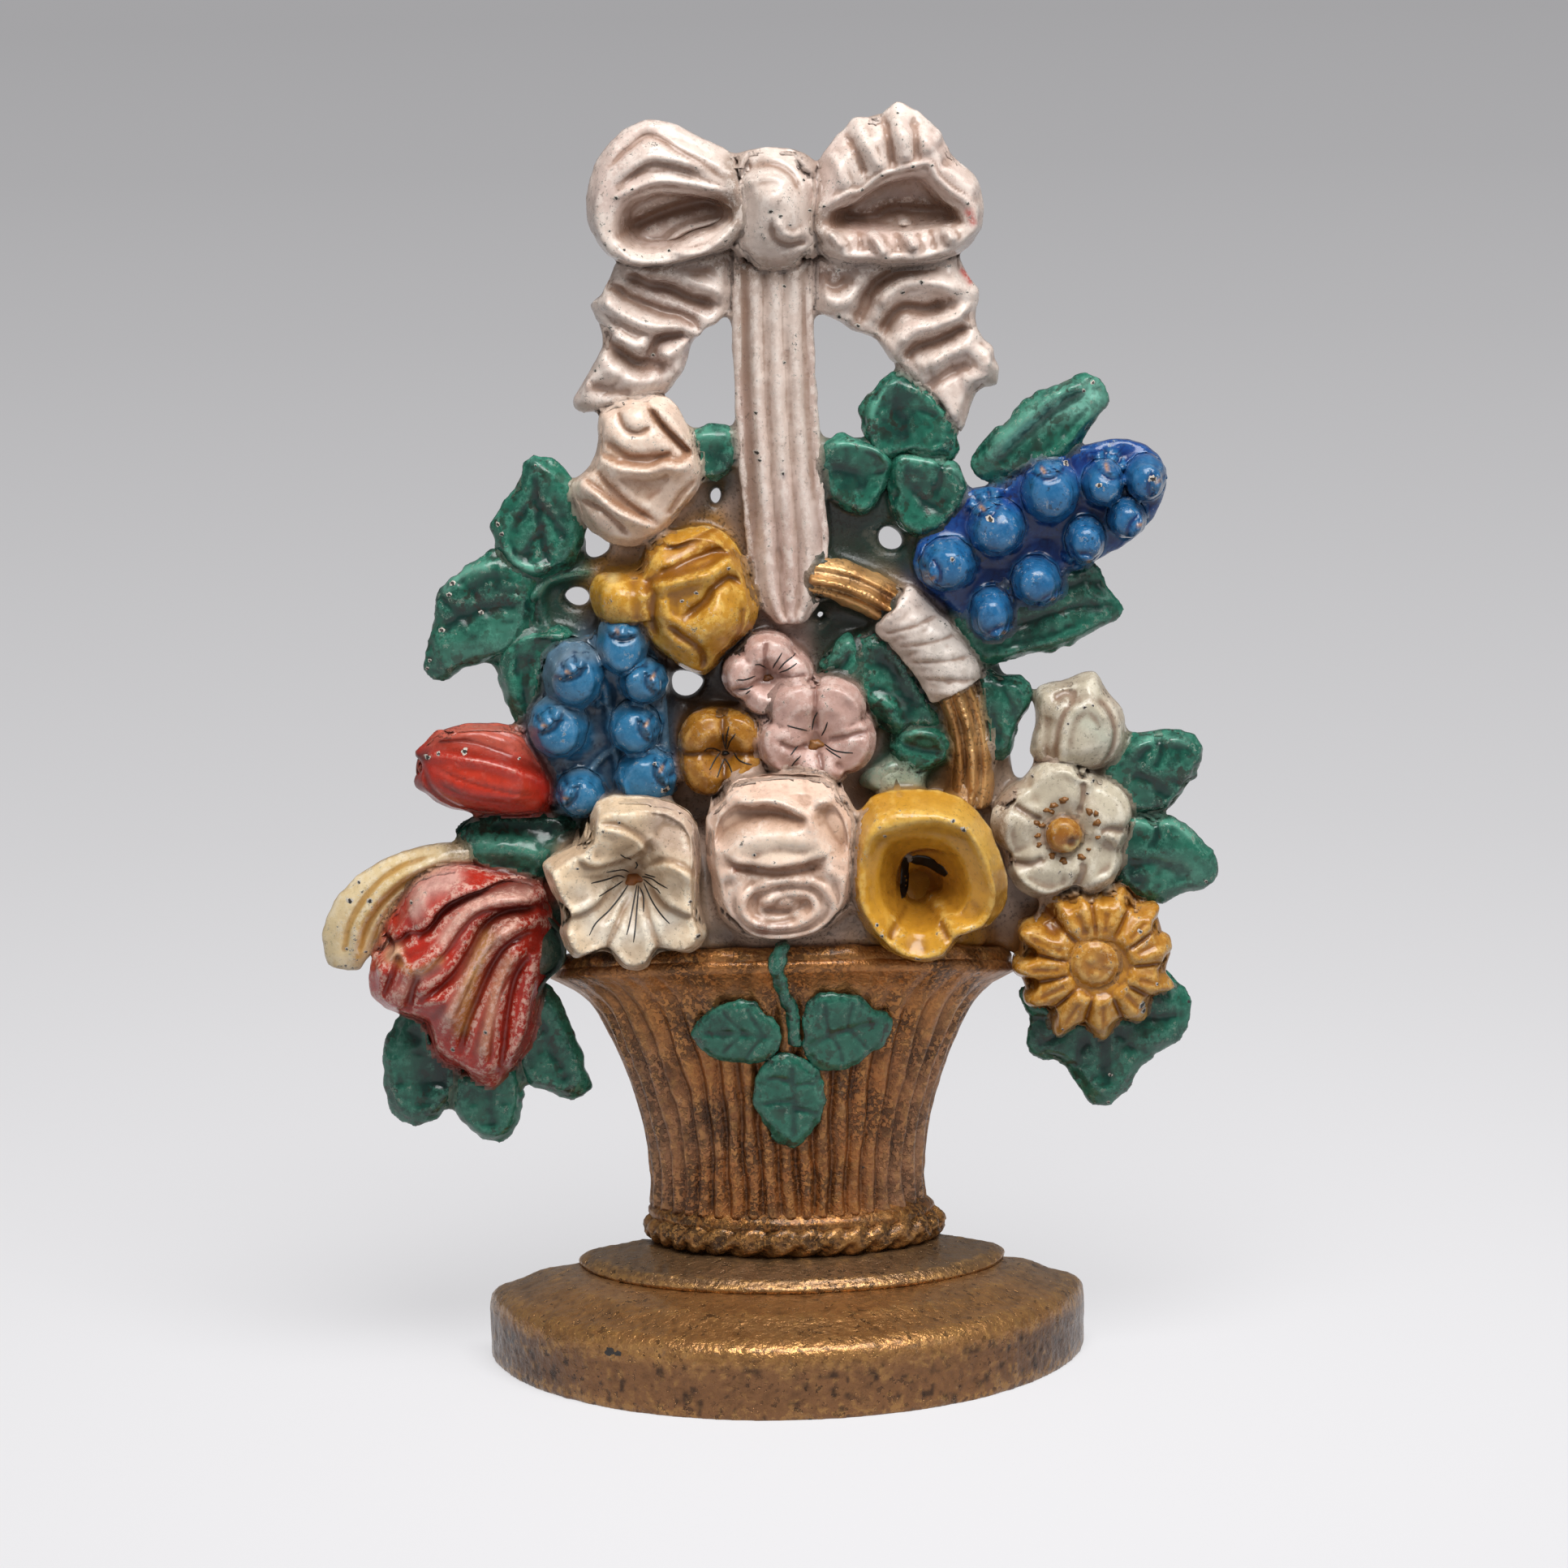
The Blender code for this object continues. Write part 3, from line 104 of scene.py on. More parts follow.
# Paints: body colour, the shade laid in its folds, and what shows where it is rubbed
PAINTS = {
    "bronze_paint": ((156, 100, 44), (44, 26, 16), (214, 162, 92)),
    "ribbon_cream": ((228, 209, 197), (146, 114, 95), (244, 232, 222)),
    "leaf_green": ((36, 104, 84), (6, 36, 34), (96, 166, 142)),
    "rosebud_cream": ((240, 214, 194), (160, 116, 86), (252, 236, 220)),
    "rose_pink": ((248, 214, 192), (164, 124, 100), (252, 236, 222)),
    "yellow_paint": ((210, 152, 46), (128, 76, 20), (240, 200, 108)),
    "sky_blue": ((46, 112, 152), (20, 48, 78), (130, 180, 210)),
    "deep_blue": ((36, 102, 150), (12, 26, 84), (120, 172, 208)),
    "mauve_paint": ((204, 166, 154), (124, 84, 72), (232, 210, 200)),
    "ochre_paint": ((164, 108, 30), (98, 56, 16), (208, 160, 84)),
    "tulip_red": ((188, 44, 28), (122, 34, 22), (232, 186, 168)),
    "tulip_cream": ((232, 208, 162), (176, 126, 60), (246, 232, 206)),
    "petunia_cream": ((244, 216, 180), (160, 128, 98), (250, 238, 216)),
    "blossom_white": ((206, 195, 172), (140, 112, 92), (240, 232, 214)),
    "daisy_gold": ((192, 132, 44), (134, 78, 24), (232, 190, 112)),
    "ground_paint": ((160, 134, 112), (50, 36, 26), (196, 176, 154)),
    "cast_iron_back": ((78, 66, 54), (40, 32, 26), (120, 104, 88)),
}

# What each form is chased with: each mark is its kind, its sizes in millimetres and its points.
# Along a line: groove and ridge (width, depth), edge (width, height, a point on the raised side) and
# tint (colour, width, strength). At each point: dome (half sizes, height) and grab (reach, pull
# across, pull up). Inside a closed line: plate (soft edge, height) and wash (colour, soft edge,
# strength).
MARKS = {
    "bluebell_spike_left": [
        ("ridge", 1.0, 1.6, [(-31.5, 126), (-33.6, 131), (-34.6, 137), (-35.6, 145), (-36.4, 151)]),
        ("ridge", 0.9, 1.3, [(-34.4, 137), (-38, 134), (-40.6, 131)]),
        ("ridge", 0.9, 1.2, [(-35.6, 147), (-38.4, 146.4)]),
        ("tint", (150, 146, 138), 1.6, 0.5, [(-37, 158), (-44, 158.6), (-49, 153)]),
    ],
    "bow_loop_left": [
        ("dome", 9, 5, 0.8, [(-20, 262)]),
        ("ridge", 1.2, 1.0, [(-34, 262), (-29, 268), (-22, 270), (-14, 266.5), (-8, 262)]),
        ("groove", 0.8, 1.3, [(-32.5, 261.5), (-28.5, 265), (-24, 267.5), (-18, 264.5), (-12, 261),
                              (-8.5, 258.8)]),
        ("ridge", 0.8, 0.7, [(-30, 259.5), (-25, 263), (-22, 263.3), (-14, 261.5), (-9, 259.5)]),
        ("groove", 0.8, 1.2, [(-29, 258.8), (-24.5, 261.5), (-20, 261.3), (-14, 259.8)]),
        ("groove", 0.6, 0.6, [(-31, 257.5), (-26, 260), (-20, 260.2), (-13, 258.5)]),
        ("ridge", 0.8, 1.4, [(-31, 255), (-24, 258), (-17, 257.8), (-9, 256)]),
        ("groove", 1.7, 2.6, [(-29.5, 247.2), (-22, 250.5), (-14, 252.6), (-7.5, 253.2)]),
        ("ridge", 0.7, 2.4, [(-20.5, 245.2), (-16, 247.5), (-7, 249.5)]),
        ("groove", 0.6, 1.0, [(-17, 246.2), (-10, 248)]),
        ("ridge", 0.7, 1.6, [(-20.5, 243.5), (-13, 243.5), (-6.5, 249)]),
        ("ridge", 1.1, 1.2, [(-31, 244.5), (-29, 242), (-24.5, 241), (-17, 242.2), (-8, 246.5)]),
        ("tint", (120, 92, 74), 2.6, 0.8, [(-29, 247.5), (-22, 250.6), (-14, 252.6), (-7.5, 253)]),
        ("tint", (128, 104, 86), 1.6, 0.7, [(-7.5, 262), (-6.4, 256), (-6.4, 247)]),
    ],
    "bow_knot": [
        # Painted shade: the knot's cream toned down where the top light falls full on it
        ("tint", (212, 195, 183), 9, 0.6, [(1, 258), (3, 246)]),
        ("plate", 2.4, -1.0, [(-9, 256), (-6.4, 259.4), (-1, 262), (-1, 268), (-12, 268)]),
        ("plate", 2.4, -1.0, [(13, 256), (10.4, 259.4), (5, 262), (5, 268), (16, 268)]),
        ("grab", 3, 2.2, -1.6, [(-6.5, 262)]),
        ("grab", 3, -2.2, -1.6, [(10.5, 262)]),
        ("grab", 3, 1.8, 1.4, [(-6.5, 240)]),
        ("grab", 3, -1.8, 1.4, [(10.5, 240)]),
        ("dome", 6, 8, 2.6, [(2, 252.4)]),
        ("groove", 0.9, 1.1, [(-4.8, 259.6), (-1, 261.2), (3, 260.8), (5.8, 258.6), (7, 255.6)]),
        ("ridge", 1.0, 0.9, [(-4.4, 257.2), (-1, 259), (2.6, 258.8), (4.8, 256.8)]),
        ("groove", 0.8, 1.4, [(1, 249), (1.6, 246.2), (4.4, 244.4), (8.4, 245)]),
        ("ridge", 0.9, 1.2, [(2.6, 249.8), (3.4, 247.6), (5.6, 246.4), (8, 247.4)]),
        ("dome", 2.8, 2.4, 0.9, [(1.6, 254.6)]),
        ("groove", 1.0, 0.8, [(-6, 258), (-5.4, 252), (-6, 245)]),
        ("groove", 0.9, 0.8, [(10, 257), (9.4, 252), (9.8, 246)]),
        ("tint", (128, 98, 78), 2.2, 0.6, [(-5, 240.6), (3, 239.6), (10, 241)]),
    ],
    "bow_loop_right": [
        ("grab", 2.2, 0, 1.6, [(28.4, 271.4)]),
        ("grab", 1.6, 0.3, 1.2, [(19.4, 268.4)]),
        ("grab", 1.4, 0, -1.2, [(23.6, 270.6)]),
        ("grab", 1.3, -1.0, -0.6, [(32, 269.4)]),
        ("grab", 1.6, 1.3, 0.4, [(35.4, 266)]),
        ("grab", 1.6, -1.0, -0.4, [(38.4, 261)]),
        ("grab", 2.2, 1.0, 0.2, [(42.8, 256)]),
        ("ridge", 1.2, 1.5, [(20, 268), (22, 264), (24.5, 259.8)]),
        ("ridge", 1.7, 1.7, [(28, 271), (29, 266), (29.5, 261.4)]),
        ("ridge", 1.4, 1.5, [(33.4, 269), (34.4, 263)]),
        ("ridge", 1.3, 1.2, [(13.6, 263.5), (15.5, 260), (17, 256)]),
        ("groove", 0.9, 1.6, [(17.5, 266.5), (19.5, 262.5), (21, 258.6)]),
        ("groove", 0.9, 1.9, [(25.3, 270), (26.2, 265), (27, 260.3)]),
        ("groove", 0.8, 1.4, [(31.6, 269.6), (31.8, 265), (32, 261.6)]),
        ("ridge", 0.6, 1.2, [(12, 252.3), (17, 254.8), (20.3, 255.5), (24.3, 258.5), (30.5, 260.3),
                             (34.2, 261), (36, 257.8), (39, 255), (42.5, 252.5), (44, 249.5)]),
        ("dome", 13, 4.5, -1.6, [(29, 252.5)]),
        ("groove", 1.6, 2.2, [(13, 249), (22, 248.4), (27, 250), (38.5, 249.4)]),
        ("ridge", 1.0, 3.0, [(13.2, 247.4), (16, 243.6)]),
        ("ridge", 1.1, 3.2, [(21.8, 247.6), (25, 241.8)]),
        ("ridge", 1.1, 3.2, [(28.8, 248.6), (31.2, 243)]),
        ("ridge", 1.1, 3.0, [(37.3, 248), (39.2, 244.4)]),
        ("groove", 0.8, 0.9, [(19.4, 247), (20, 242.4)]),
        ("groove", 0.8, 0.9, [(27.2, 246.6), (28, 242)]),
        ("groove", 0.8, 0.9, [(34.4, 247), (35.4, 242.6)]),
        ("ridge", 0.9, 1.0, [(12, 243.4), (16.5, 241.6), (20, 241.8), (25, 240.8), (28, 241.6), (32, 240.8),
                             (36, 242.2), (40, 242.6), (43.4, 246)]),
        ("tint", (118, 88, 70), 2.8, 0.85, [(14, 249.4), (22, 249.6), (28, 252.5), (36, 251.5),
                                            (39, 249.6)]),
        ("tint", (120, 94, 76), 1.8, 0.7, [(10.6, 261), (10.4, 252), (10.6, 242)]),
        ("tint", (190, 60, 50), 0.8, 0.9, [(42.6, 250.6), (43.6, 248.2)]),
    ],
    "bow_tail_left": [
        ("groove", 1.7, 3.2, [(-30, 238.4), (-25, 236.2), (-20.5, 234.7), (-16, 232.4), (-11, 231.4)]),
        ("groove", 1.4, 2.6, [(-34.5, 236.6), (-28, 232.8), (-23, 230.6), (-18.6, 229.4), (-14, 227)]),
        ("ridge", 1.8, 1.9, [(-32, 240), (-26, 239), (-19, 237.4), (-12.6, 235.2), (-8, 233.6)]),
        ("ridge", 1.5, 2.2, [(-36, 234), (-32, 230.4), (-27, 228), (-22, 227), (-17, 226.6)]),
        ("groove", 1.3, 2.4, [(-25.4, 220.6), (-23.8, 223.6), (-21.5, 225), (-17.6, 225.6)]),
        ("ridge", 1.5, 1.8, [(-22.4, 220.6), (-19.4, 222.4), (-17, 224)]),
        ("groove", 1.8, 2.8, [(-36, 226), (-31, 221.4), (-27, 219), (-21.4, 219)]),
        ("ridge", 1.6, 1.9, [(-33, 226), (-29, 223.4), (-25.4, 223.4)]),
        ("ridge", 1.8, 1.6, [(-37, 221.4), (-33, 217.8), (-28, 216), (-22.6, 216)]),
        ("groove", 1.4, 1.2, [(-39, 215.6), (-34, 213.4), (-29, 212.8)]),
        ("grab", 1.8, -1.0, 0.2, [(-37, 232)]),
        ("grab", 1.6, 1.2, 0, [(-35.4, 226)]),
        ("grab", 1.8, -0.8, -0.4, [(-40.6, 212)]),
        ("grab", 1.6, 1.0, -0.8, [(-16, 226)]),
        ("tint", (118, 92, 76), 2.4, 0.8, [(-28, 240.6), (-15, 239.8), (-6, 241.4)]),
        ("tint", (128, 100, 82), 2.2, 0.5, [(-30, 220.6), (-26, 218.8)]),
        ("tint", (132, 104, 86), 1.8, 0.5, [(-27, 236.6), (-20, 234.4), (-14, 232)]),
    ],
    "bow_tail_right": [
        ("groove", 1.7, 3.0, [(18, 226.6), (20.2, 229.7), (22, 233.4), (26.6, 237.2), (34, 239)]),
        ("ridge", 1.7, 1.8, [(11, 233.4), (15, 231.6), (18.4, 233.6), (20.4, 237)]),
        ("ridge", 1.9, 2.4, [(22.4, 230), (25.6, 233.8), (30, 236), (36, 235.4), (41, 233)]),
        ("groove", 1.6, 3.0, [(24, 224), (26, 228), (29, 230), (33.6, 229.6), (38, 230.6)]),
        ("ridge", 1.8, 2.2, [(27, 222.4), (30.4, 225.4), (35, 226.6), (43, 229.6)]),
        ("groove", 1.6, 2.8, [(28.4, 219), (31.5, 221.4), (36, 222.8), (43, 226.4)]),
        ("ridge", 1.7, 1.9, [(31.4, 216.8), (36, 219.4), (44, 223)]),
        ("groove", 1.3, 1.6, [(33.4, 212.6), (37.4, 215.6), (43, 217.6)]),
        ("groove", 1.2, 1.5, [(12.4, 238.4), (13.6, 235), (17, 236)]),
        ("grab", 1.8, 1.2, 0.2, [(43, 233)]),
        ("grab", 1.5, -1.2, 0, [(42.6, 228)]),
        ("grab", 1.8, 1.0, 0.6, [(46, 220)]),
        ("tint", (112, 84, 66), 2.6, 0.85, [(10.6, 237.4), (16, 238), (22, 239.8), (34, 240.4)]),
        ("tint", (128, 100, 80), 2.0, 0.5, [(22, 233), (27, 237)]),
        ("tint", (128, 100, 80), 2.0, 0.5, [(25.4, 226.6), (29, 229.8)]),
        ("tint", (190, 60, 50), 0.7, 0.9, [(41.4, 237.6), (43, 235.4)]),
    ],
    "ribbon_stem": [
        ("groove", 1.4, 0.9, [(-4.4, 238), (-4.6, 215), (-3.8, 195), (-3.4, 180)]),
        ("groove", 0.9, 0.4, [(0.2, 237), (0.4, 222), (0, 208), (0.8, 196)]),
        ("ridge", 1.3, 0.7, [(-2.2, 236), (-2, 215), (-1.4, 190)]),
        ("ridge", 1.4, 0.7, [(2.6, 237), (2.6, 215), (3.2, 185)]),
        ("groove", 1.0, 0.4, [(4.9, 237), (4.6, 218), (5.4, 196)]),
        ("groove", 0.9, 0.45, [(7.4, 237), (7.5, 212), (8.6, 190)]),
        ("ridge", 1.0, 0.7, [(-6.1, 237), (-6.3, 212), (-5.8, 185)]),
        ("ridge", 0.9, 0.6, [(9, 237), (9.4, 212), (10.4, 186)]),
        ("groove", 1.2, 0.5, [(1, 180), (3, 172), (3.4, 164)]),
        ("tint", (146, 116, 98), 1.4, 0.8, [(-4.8, 240), (-5.2, 215), (-4.6, 195), (-4.4, 178)]),
        ("tint", (132, 104, 84), 2.4, 0.7, [(-5, 238.6), (9, 238.2)]),
        ("tint", (190, 156, 144), 4.4, 0.6, [(2, 184), (3, 170), (3.6, 163)]),
        ("tint", (168, 138, 124), 1.2, 0.5, [(9, 230), (9.4, 200), (10.6, 180)]),
        ("tint", (84, 70, 84), 0.5, 0.8, [(2.4, 196), (2.7, 194.8)]),
        ("tint", (150, 84, 70), 0.6, 0.7, [(-4.8, 177), (-4.8, 175)]),
    ],
    "rosebud": [
        ("dome", 3.4, 3.2, 1.5, [(-28.4, 208.6)]),
        ("groove", 0.7, 1.3, [(-32, 209.6), (-31.6, 207.6), (-30.2, 205.8), (-27.6, 205.2),
                              (-25.2, 206.4)]),
        ("groove", 1.0, 2.1, [(-25.4, 210), (-23.9, 208), (-21.4, 205), (-18.9, 202.2), (-17, 199.8)]),
        ("edge", 1.8, 1.3, (-16, 207), [(-25, 211), (-22, 206.8), (-18.9, 203.6), (-16.2, 200.8)]),
        ("groove", 1.1, 1.7, [(-34.6, 203), (-31, 200.6), (-28.7, 199.9), (-24.4, 200), (-20.5, 200.8)]),
        ("edge", 2.4, 2.2, (-27, 192), [(-36.6, 200.4), (-35, 199.4), (-31, 198.2), (-25.8, 197.6),
                                        (-22.4, 198.8), (-19, 198.4), (-15.6, 200.3)]),
        ("dome", 8, 5.5, -1.6, [(-26.5, 193)]),
        ("groove", 1.0, 1.7, [(-36.4, 196.4), (-33.4, 192.8), (-30.6, 190), (-26.2, 187)]),
        ("edge", 2.0, 1.7, (-34, 186), [(-40.5, 195), (-36.7, 192.4), (-32.4, 188.9), (-27.4, 186.4),
                                        (-24.4, 184.6)]),
        ("groove", 0.7, 1.2, [(-40.4, 190.8), (-36.4, 189.2), (-33.5, 186.8), (-31, 183.6)]),
        ("dome", 3.6, 3.2, 0.9, [(-36.6, 186.6)]),
        ("groove", 0.9, 1.0, [(-22, 187), (-19, 191.6), (-15.8, 194.6)]),
        ("tint", (196, 150, 96), 2.8, 0.7, [(-17.6, 188.4)]),
        ("tint", (92, 56, 36), 1.5, 0.8, [(-19, 186)]),
        ("tint", (150, 84, 66), 0.6, 0.85, [(-25.8, 191.6), (-23.8, 192.9)]),
        ("tint", (196, 166, 140), 4, 0.6, [(-26, 193.6)]),
        ("tint", (188, 156, 130), 2.6, 0.5, [(-33, 202.4), (-38.6, 187)]),
    ],
    "yellow_rose": [
        ("tint", (190, 134, 50), 12, 0.4, [(-16, 178), (-8, 166)]),
        ("dome", 5, 6, 1.6, [(-33.8, 169.5)]),
        ("edge", 1.5, 2.0, (-16, 190), [(-24.6, 180.6), (-23.3, 181.7), (-20.5, 181.5), (-16.2, 183),
                                         (-11.2, 184.8), (-9, 183.6)]),
        ("dome", 8, 3, -1.7, [(-16, 179.4)]),
        ("groove", 1.0, 1.8, [(-24.6, 175.4), (-22.2, 176), (-18.7, 177.2), (-14.5, 178.6), (-10.4, 180)]),
        ("edge", 2.4, 2.3, (-18, 169), [(-26.2, 170.4), (-25.4, 173), (-19.7, 174.7), (-13.6, 176.1),
                                        (-9.4, 178), (-7, 175.6)]),
        ("groove", 1.1, 2.2, [(-18.6, 166.4), (-14.7, 169.2), (-12.5, 172.3), (-9.4, 173.9),
                              (-6.6, 172.4)]),
        ("dome", 6.6, 6.8, 2.4, [(-13, 164.2)]),
        ("groove", 1.0, 1.7, [(-22.4, 165), (-19.9, 162.3), (-16.5, 159.9), (-15.3, 157.3), (-15.4, 154)]),
        ("groove", 1.0, 1.7, [(-26.6, 173.2), (-25.6, 171), (-25.8, 167), (-25, 162)]),
        ("ridge", 1.4, 1.3, [(-23.4, 170.6), (-22.6, 166.6), (-20, 164.4)]),
        ("groove", 1.8, 1.2, [(-29.6, 174.6), (-29.2, 170), (-28.6, 165)]),
        ("dome", 3.4, 5, 0.9, [(-21.4, 158.4)]),
        ("groove", 0.9, 1.0, [(-9, 158.8), (-7, 163), (-6.4, 168)]),
        ("tint", (150, 88, 36), 2.6, 0.7, [(-10, 156.6), (-7, 160.6)]),
        ("tint", (166, 104, 36), 2.2, 0.6, [(-20, 178.6), (-12, 181)]),
        ("tint", (238, 214, 150), 1.2, 0.6, [(-34, 174)]),
        ("tint", (150, 96, 40), 2.0, 0.6, [(-26.6, 180), (-29, 175.4)]),
    ],
    "cream_petunia": [
        ("tint", (214, 204, 190), 6, 0.5, [(-33, 108), (-29, 105)]),
        ("edge", 1.4, 1.3, (-34, 118), [(-38, 123.8), (-33.4, 122.8), (-29.6, 120.2), (-27.8, 116.6)]),
        ("edge", 1.4, 1.3, (-22, 110), [(-27.4, 113.2), (-23.4, 115), (-19.6, 113.4), (-16.4, 109.6)]),
        ("plate", 3.4, -3.8, [(-26.4, 131), (-27.4, 122), (-23.6, 119.8), (-19, 118.4), (-15.6, 114.4),
                              (-8, 113), (-8, 132)]),
        ("wash", (206, 180, 160), 2, 0.9, [(-27, 130), (-27.4, 119), (-23.4, 117), (-19, 115.4),
                                           (-14, 111), (-10, 118), (-12, 132)]),
        # Painted shade: grey-beige over the middle of the cup
        ("wash", (186, 170, 150), 4, 0.6, [(-39, 108), (-31, 112.4), (-22, 111), (-19, 104), (-22, 96),
                                           (-31, 91.6), (-36, 96), (-41, 102)]),
        ("dome", 10, 9, -1.9, [(-30.8, 110.9)]),
        ("dome", 3, 3, -1.2, [(-30.8, 110.9)]),
        ("dome", 4.6, 3.8, 1.2, [(-34.6, 120.6)]),
        ("dome", 3.6, 3.4, 0.9, [(-22.4, 113.4), (-44.6, 112.2), (-42, 99), (-21, 98.6)]),
        ("grab", 2.0, -0.6, -1.2, [(-36.6, 91.6)]),
        ("grab", 1.8, 0, 1.6, [(-24.6, 93), (-37.8, 94.6)]),
        ("grab", 1.8, 1.8, 0, [(-46.6, 104.4)]),
        ("grab", 1.8, -1.6, 0, [(-15.4, 103.4)]),
        ("grab", 2.2, 1.0, -1.6, [(-41, 122)]),
        ("edge", 1.8, 1.2, (-35, 121), [(-42.6, 117.6), (-39.4, 115.4), (-35.4, 115.4), (-31.4, 116.4),
                                        (-28, 119.4)]),
        ("edge", 1.6, 1.0, (-44, 110), [(-46.4, 105), (-42.6, 105.4), (-38.6, 107.2), (-36, 110.4)]),
        ("groove", 1.1, 0.8, [(-26.6, 118.4), (-28.4, 116.5), (-30.2, 113)]),
        ("edge", 1.6, 1.0, (-22, 112), [(-15.6, 104.4), (-20, 105), (-24.4, 107), (-27, 110)]),
        ("groove", 0.9, 1.1, [(-25, 95), (-26.4, 98.9), (-27.9, 103.2), (-29.8, 108.3)]),
        ("groove", 0.9, 1.2, [(-37, 95), (-36.4, 98), (-35.3, 100.6), (-32.4, 106.4)]),
        ("ridge", 1.1, 0.9, [(-48.6, 115.4), (-47, 111), (-46.2, 107.4)]),
        ("ridge", 1.2, 0.9, [(-45, 102), (-44.4, 97.6), (-42, 96), (-38, 97.4)]),
        ("ridge", 1.2, 0.9, [(-35.6, 96.4), (-33, 93.8), (-29.6, 92.6), (-26.4, 96)]),
        ("ridge", 1.2, 0.9, [(-24, 95.6), (-19, 96.2), (-16.6, 99.4), (-17, 102)]),
        ("tint", (196, 180, 160), 3.0, 0.6, [(-31.6, 115), (-36, 111), (-35, 105.6), (-30, 104.4)]),
        ("tint", (214, 210, 200), 2.2, 0.5, [(-42, 109.4), (-38.6, 100.6), (-29.4, 100.6), (-22.6, 103)]),
        ("tint", (150, 84, 30), 1.5, 0.9, [(-30.8, 110.9)]),
    ],
    "pink_rose": [
        ("grab", 4.6, 4, 3.2, [(-14.4, 98)]),
        ("grab", 4.6, -4, 3.2, [(16.4, 98)]),
        ("grab", 4.4, 3, -3, [(-16, 131.6)]),
        ("grab", 4.4, -3, -3, [(18, 131.6)]),
        ("plate", 3.2, -3.4, [(-22, 136), (-20, 121), (-16.8, 124), (-14.4, 128.4), (-10, 131.4),
                              (-4, 132), (1.6, 130.8), (6, 128.6), (8.4, 130.6), (11, 131.4), (15, 129.8),
                              (18.6, 125.4), (24, 120), (24, 136)]),
        ("plate", 1.8, -3.2, [(-14, 119.6), (-13.4, 124), (-10.6, 126.8), (-7, 127.6), (-1, 127.4),
                              (3, 126), (5.4, 124.6), (2, 123.9), (-4, 123.2), (-8, 121.8),
                              (-11.5, 119.6)]),
        ("plate", 1.6, -2.8, [(8.6, 123.4), (9, 126.2), (12, 127), (14.6, 125), (15.8, 121.6),
                              (15.4, 117.6), (13, 117), (10.6, 119.6)]),
        ("ridge", 1.3, 2.6, [(-15.2, 119), (-14.8, 124), (-12, 127.4), (-9, 129), (-5, 128.7), (-2, 129),
                             (2, 127.8), (5.4, 125.8), (7.2, 123.4)]),
        ("ridge", 1.3, 2.0, [(7.2, 127.4), (10, 128.8), (14, 128.2), (16.6, 125.6), (17.2, 120)]),
        ("dome", 10.6, 4.6, 2.3, [(0.4, 119.2)]),
        ("dome", 4, 2.6, 0.8, [(4, 120.6)]),
        ("edge", 1.8, 1.2, (0, 119), [(-10.6, 117), (-8.4, 115.7), (-4, 115.2), (-1, 115), (2, 115.4),
                                      (6, 116), (10.2, 117.2)]),
        ("groove", 1.0, 1.5, [(-10.2, 115.2), (-6, 113.8), (-1, 113.2), (4, 113.4), (9.4, 114.6)]),
        ("ridge", 1.4, 1.7, [(-8.6, 114.6), (-12.4, 112), (-12.8, 108), (-12.4, 103), (-10, 99.6),
                             (-5, 97.8), (0, 97.2), (5, 98), (9.6, 99.8), (13, 102.6), (14.2, 107),
                             (13.4, 111.4), (10, 114.4)]),
        ("dome", 11, 7.6, -1.9, [(1, 104.8)]),
        ("ridge", 0.9, 1.2, [(-10.4, 109.6), (-10.8, 105.6), (-9.2, 101.6), (-5, 99.4), (1, 98.8),
                             (7, 99.8), (10.6, 102.6), (11.4, 106.4), (9, 110.2), (3.6, 111.6),
                             (-2.4, 111), (-6.8, 108.6), (-7.8, 105), (-5.4, 102.2), (-0.6, 101.2),
                             (4.6, 102), (7.6, 104.8), (6.6, 107.8), (2.4, 108.8), (-2, 107.6),
                             (-3.8, 105.2), (-1.6, 103.4), (2, 103.8), (3.6, 105.6)]),
        ("dome", 1.8, 1.5, 0.9, [(-2.6, 107), (1.6, 106.6), (4.4, 103.8), (-4, 102.6)]),
        # Painted highlight on the front petal, then painted shade under the back petal, in the right
        # petal's hollow, under the lip and in the bowl
        ("wash", (255, 234, 210), 2, 0.7, [(-9.6, 118), (-6, 121.4), (2, 122.4), (8, 120), (10, 117.2),
                                           (5, 116.2), (-4, 115.6)]),
        ("tint", (172, 134, 106), 2.4, 0.8, [(-11.4, 122), (-6, 124.8), (0, 125), (4, 124.6)]),
        ("tint", (190, 154, 128), 2.6, 0.75, [(10.4, 124.4), (13, 121), (14, 118)]),
        ("tint", (196, 166, 146), 2, 0.6, [(-9, 112.8), (-2, 112.2), (5, 112.2), (11, 112)]),
        ("tint", (186, 152, 130), 4, 0.6, [(-3, 104), (4, 105)]),
        ("tint", (150, 116, 106), 1.2, 0.7, [(-4.6, 102), (-1.4, 101), (1.4, 101.4)]),
        ("tint", (142, 66, 50), 0.7, 0.8, [(-4.2, 100.6), (-3, 100.2)]),
        ("tint", (140, 66, 36), 0.6, 0.8, [(-9.8, 115.2), (-8.8, 113.8)]),
    ],
    "yellow_trumpet": [
        ("ridge", 2.0, 1.7, [(17.6, 117), (20.1, 121.2), (23.6, 122.6), (28.9, 123.8), (34.2, 124.2),
                             (39.4, 122.8), (42.9, 119.6), (45.4, 115.2), (46.6, 109.8), (46.4, 105)]),
        ("ridge", 1.6, 1.0, [(17.2, 112), (16.8, 106), (19, 101), (22.6, 97.6), (24.4, 94.4), (28.4, 92.8),
                             (32.6, 92.8), (35.6, 95), (38.8, 98.2), (42.6, 99.2), (45.4, 103)]),
        ("dome", 11, 10, -2.4, [(31, 108.6)]),
        ("dome", 5, 4.6, -2.6, [(31.6, 106.6)]),
        ("groove", 0.9, 1.1, [(31.6, 103.6), (34, 101), (36.3, 97.4)]),
        ("groove", 1.0, 1.0, [(27.4, 103.4), (24.4, 100.4), (22.8, 98)]),
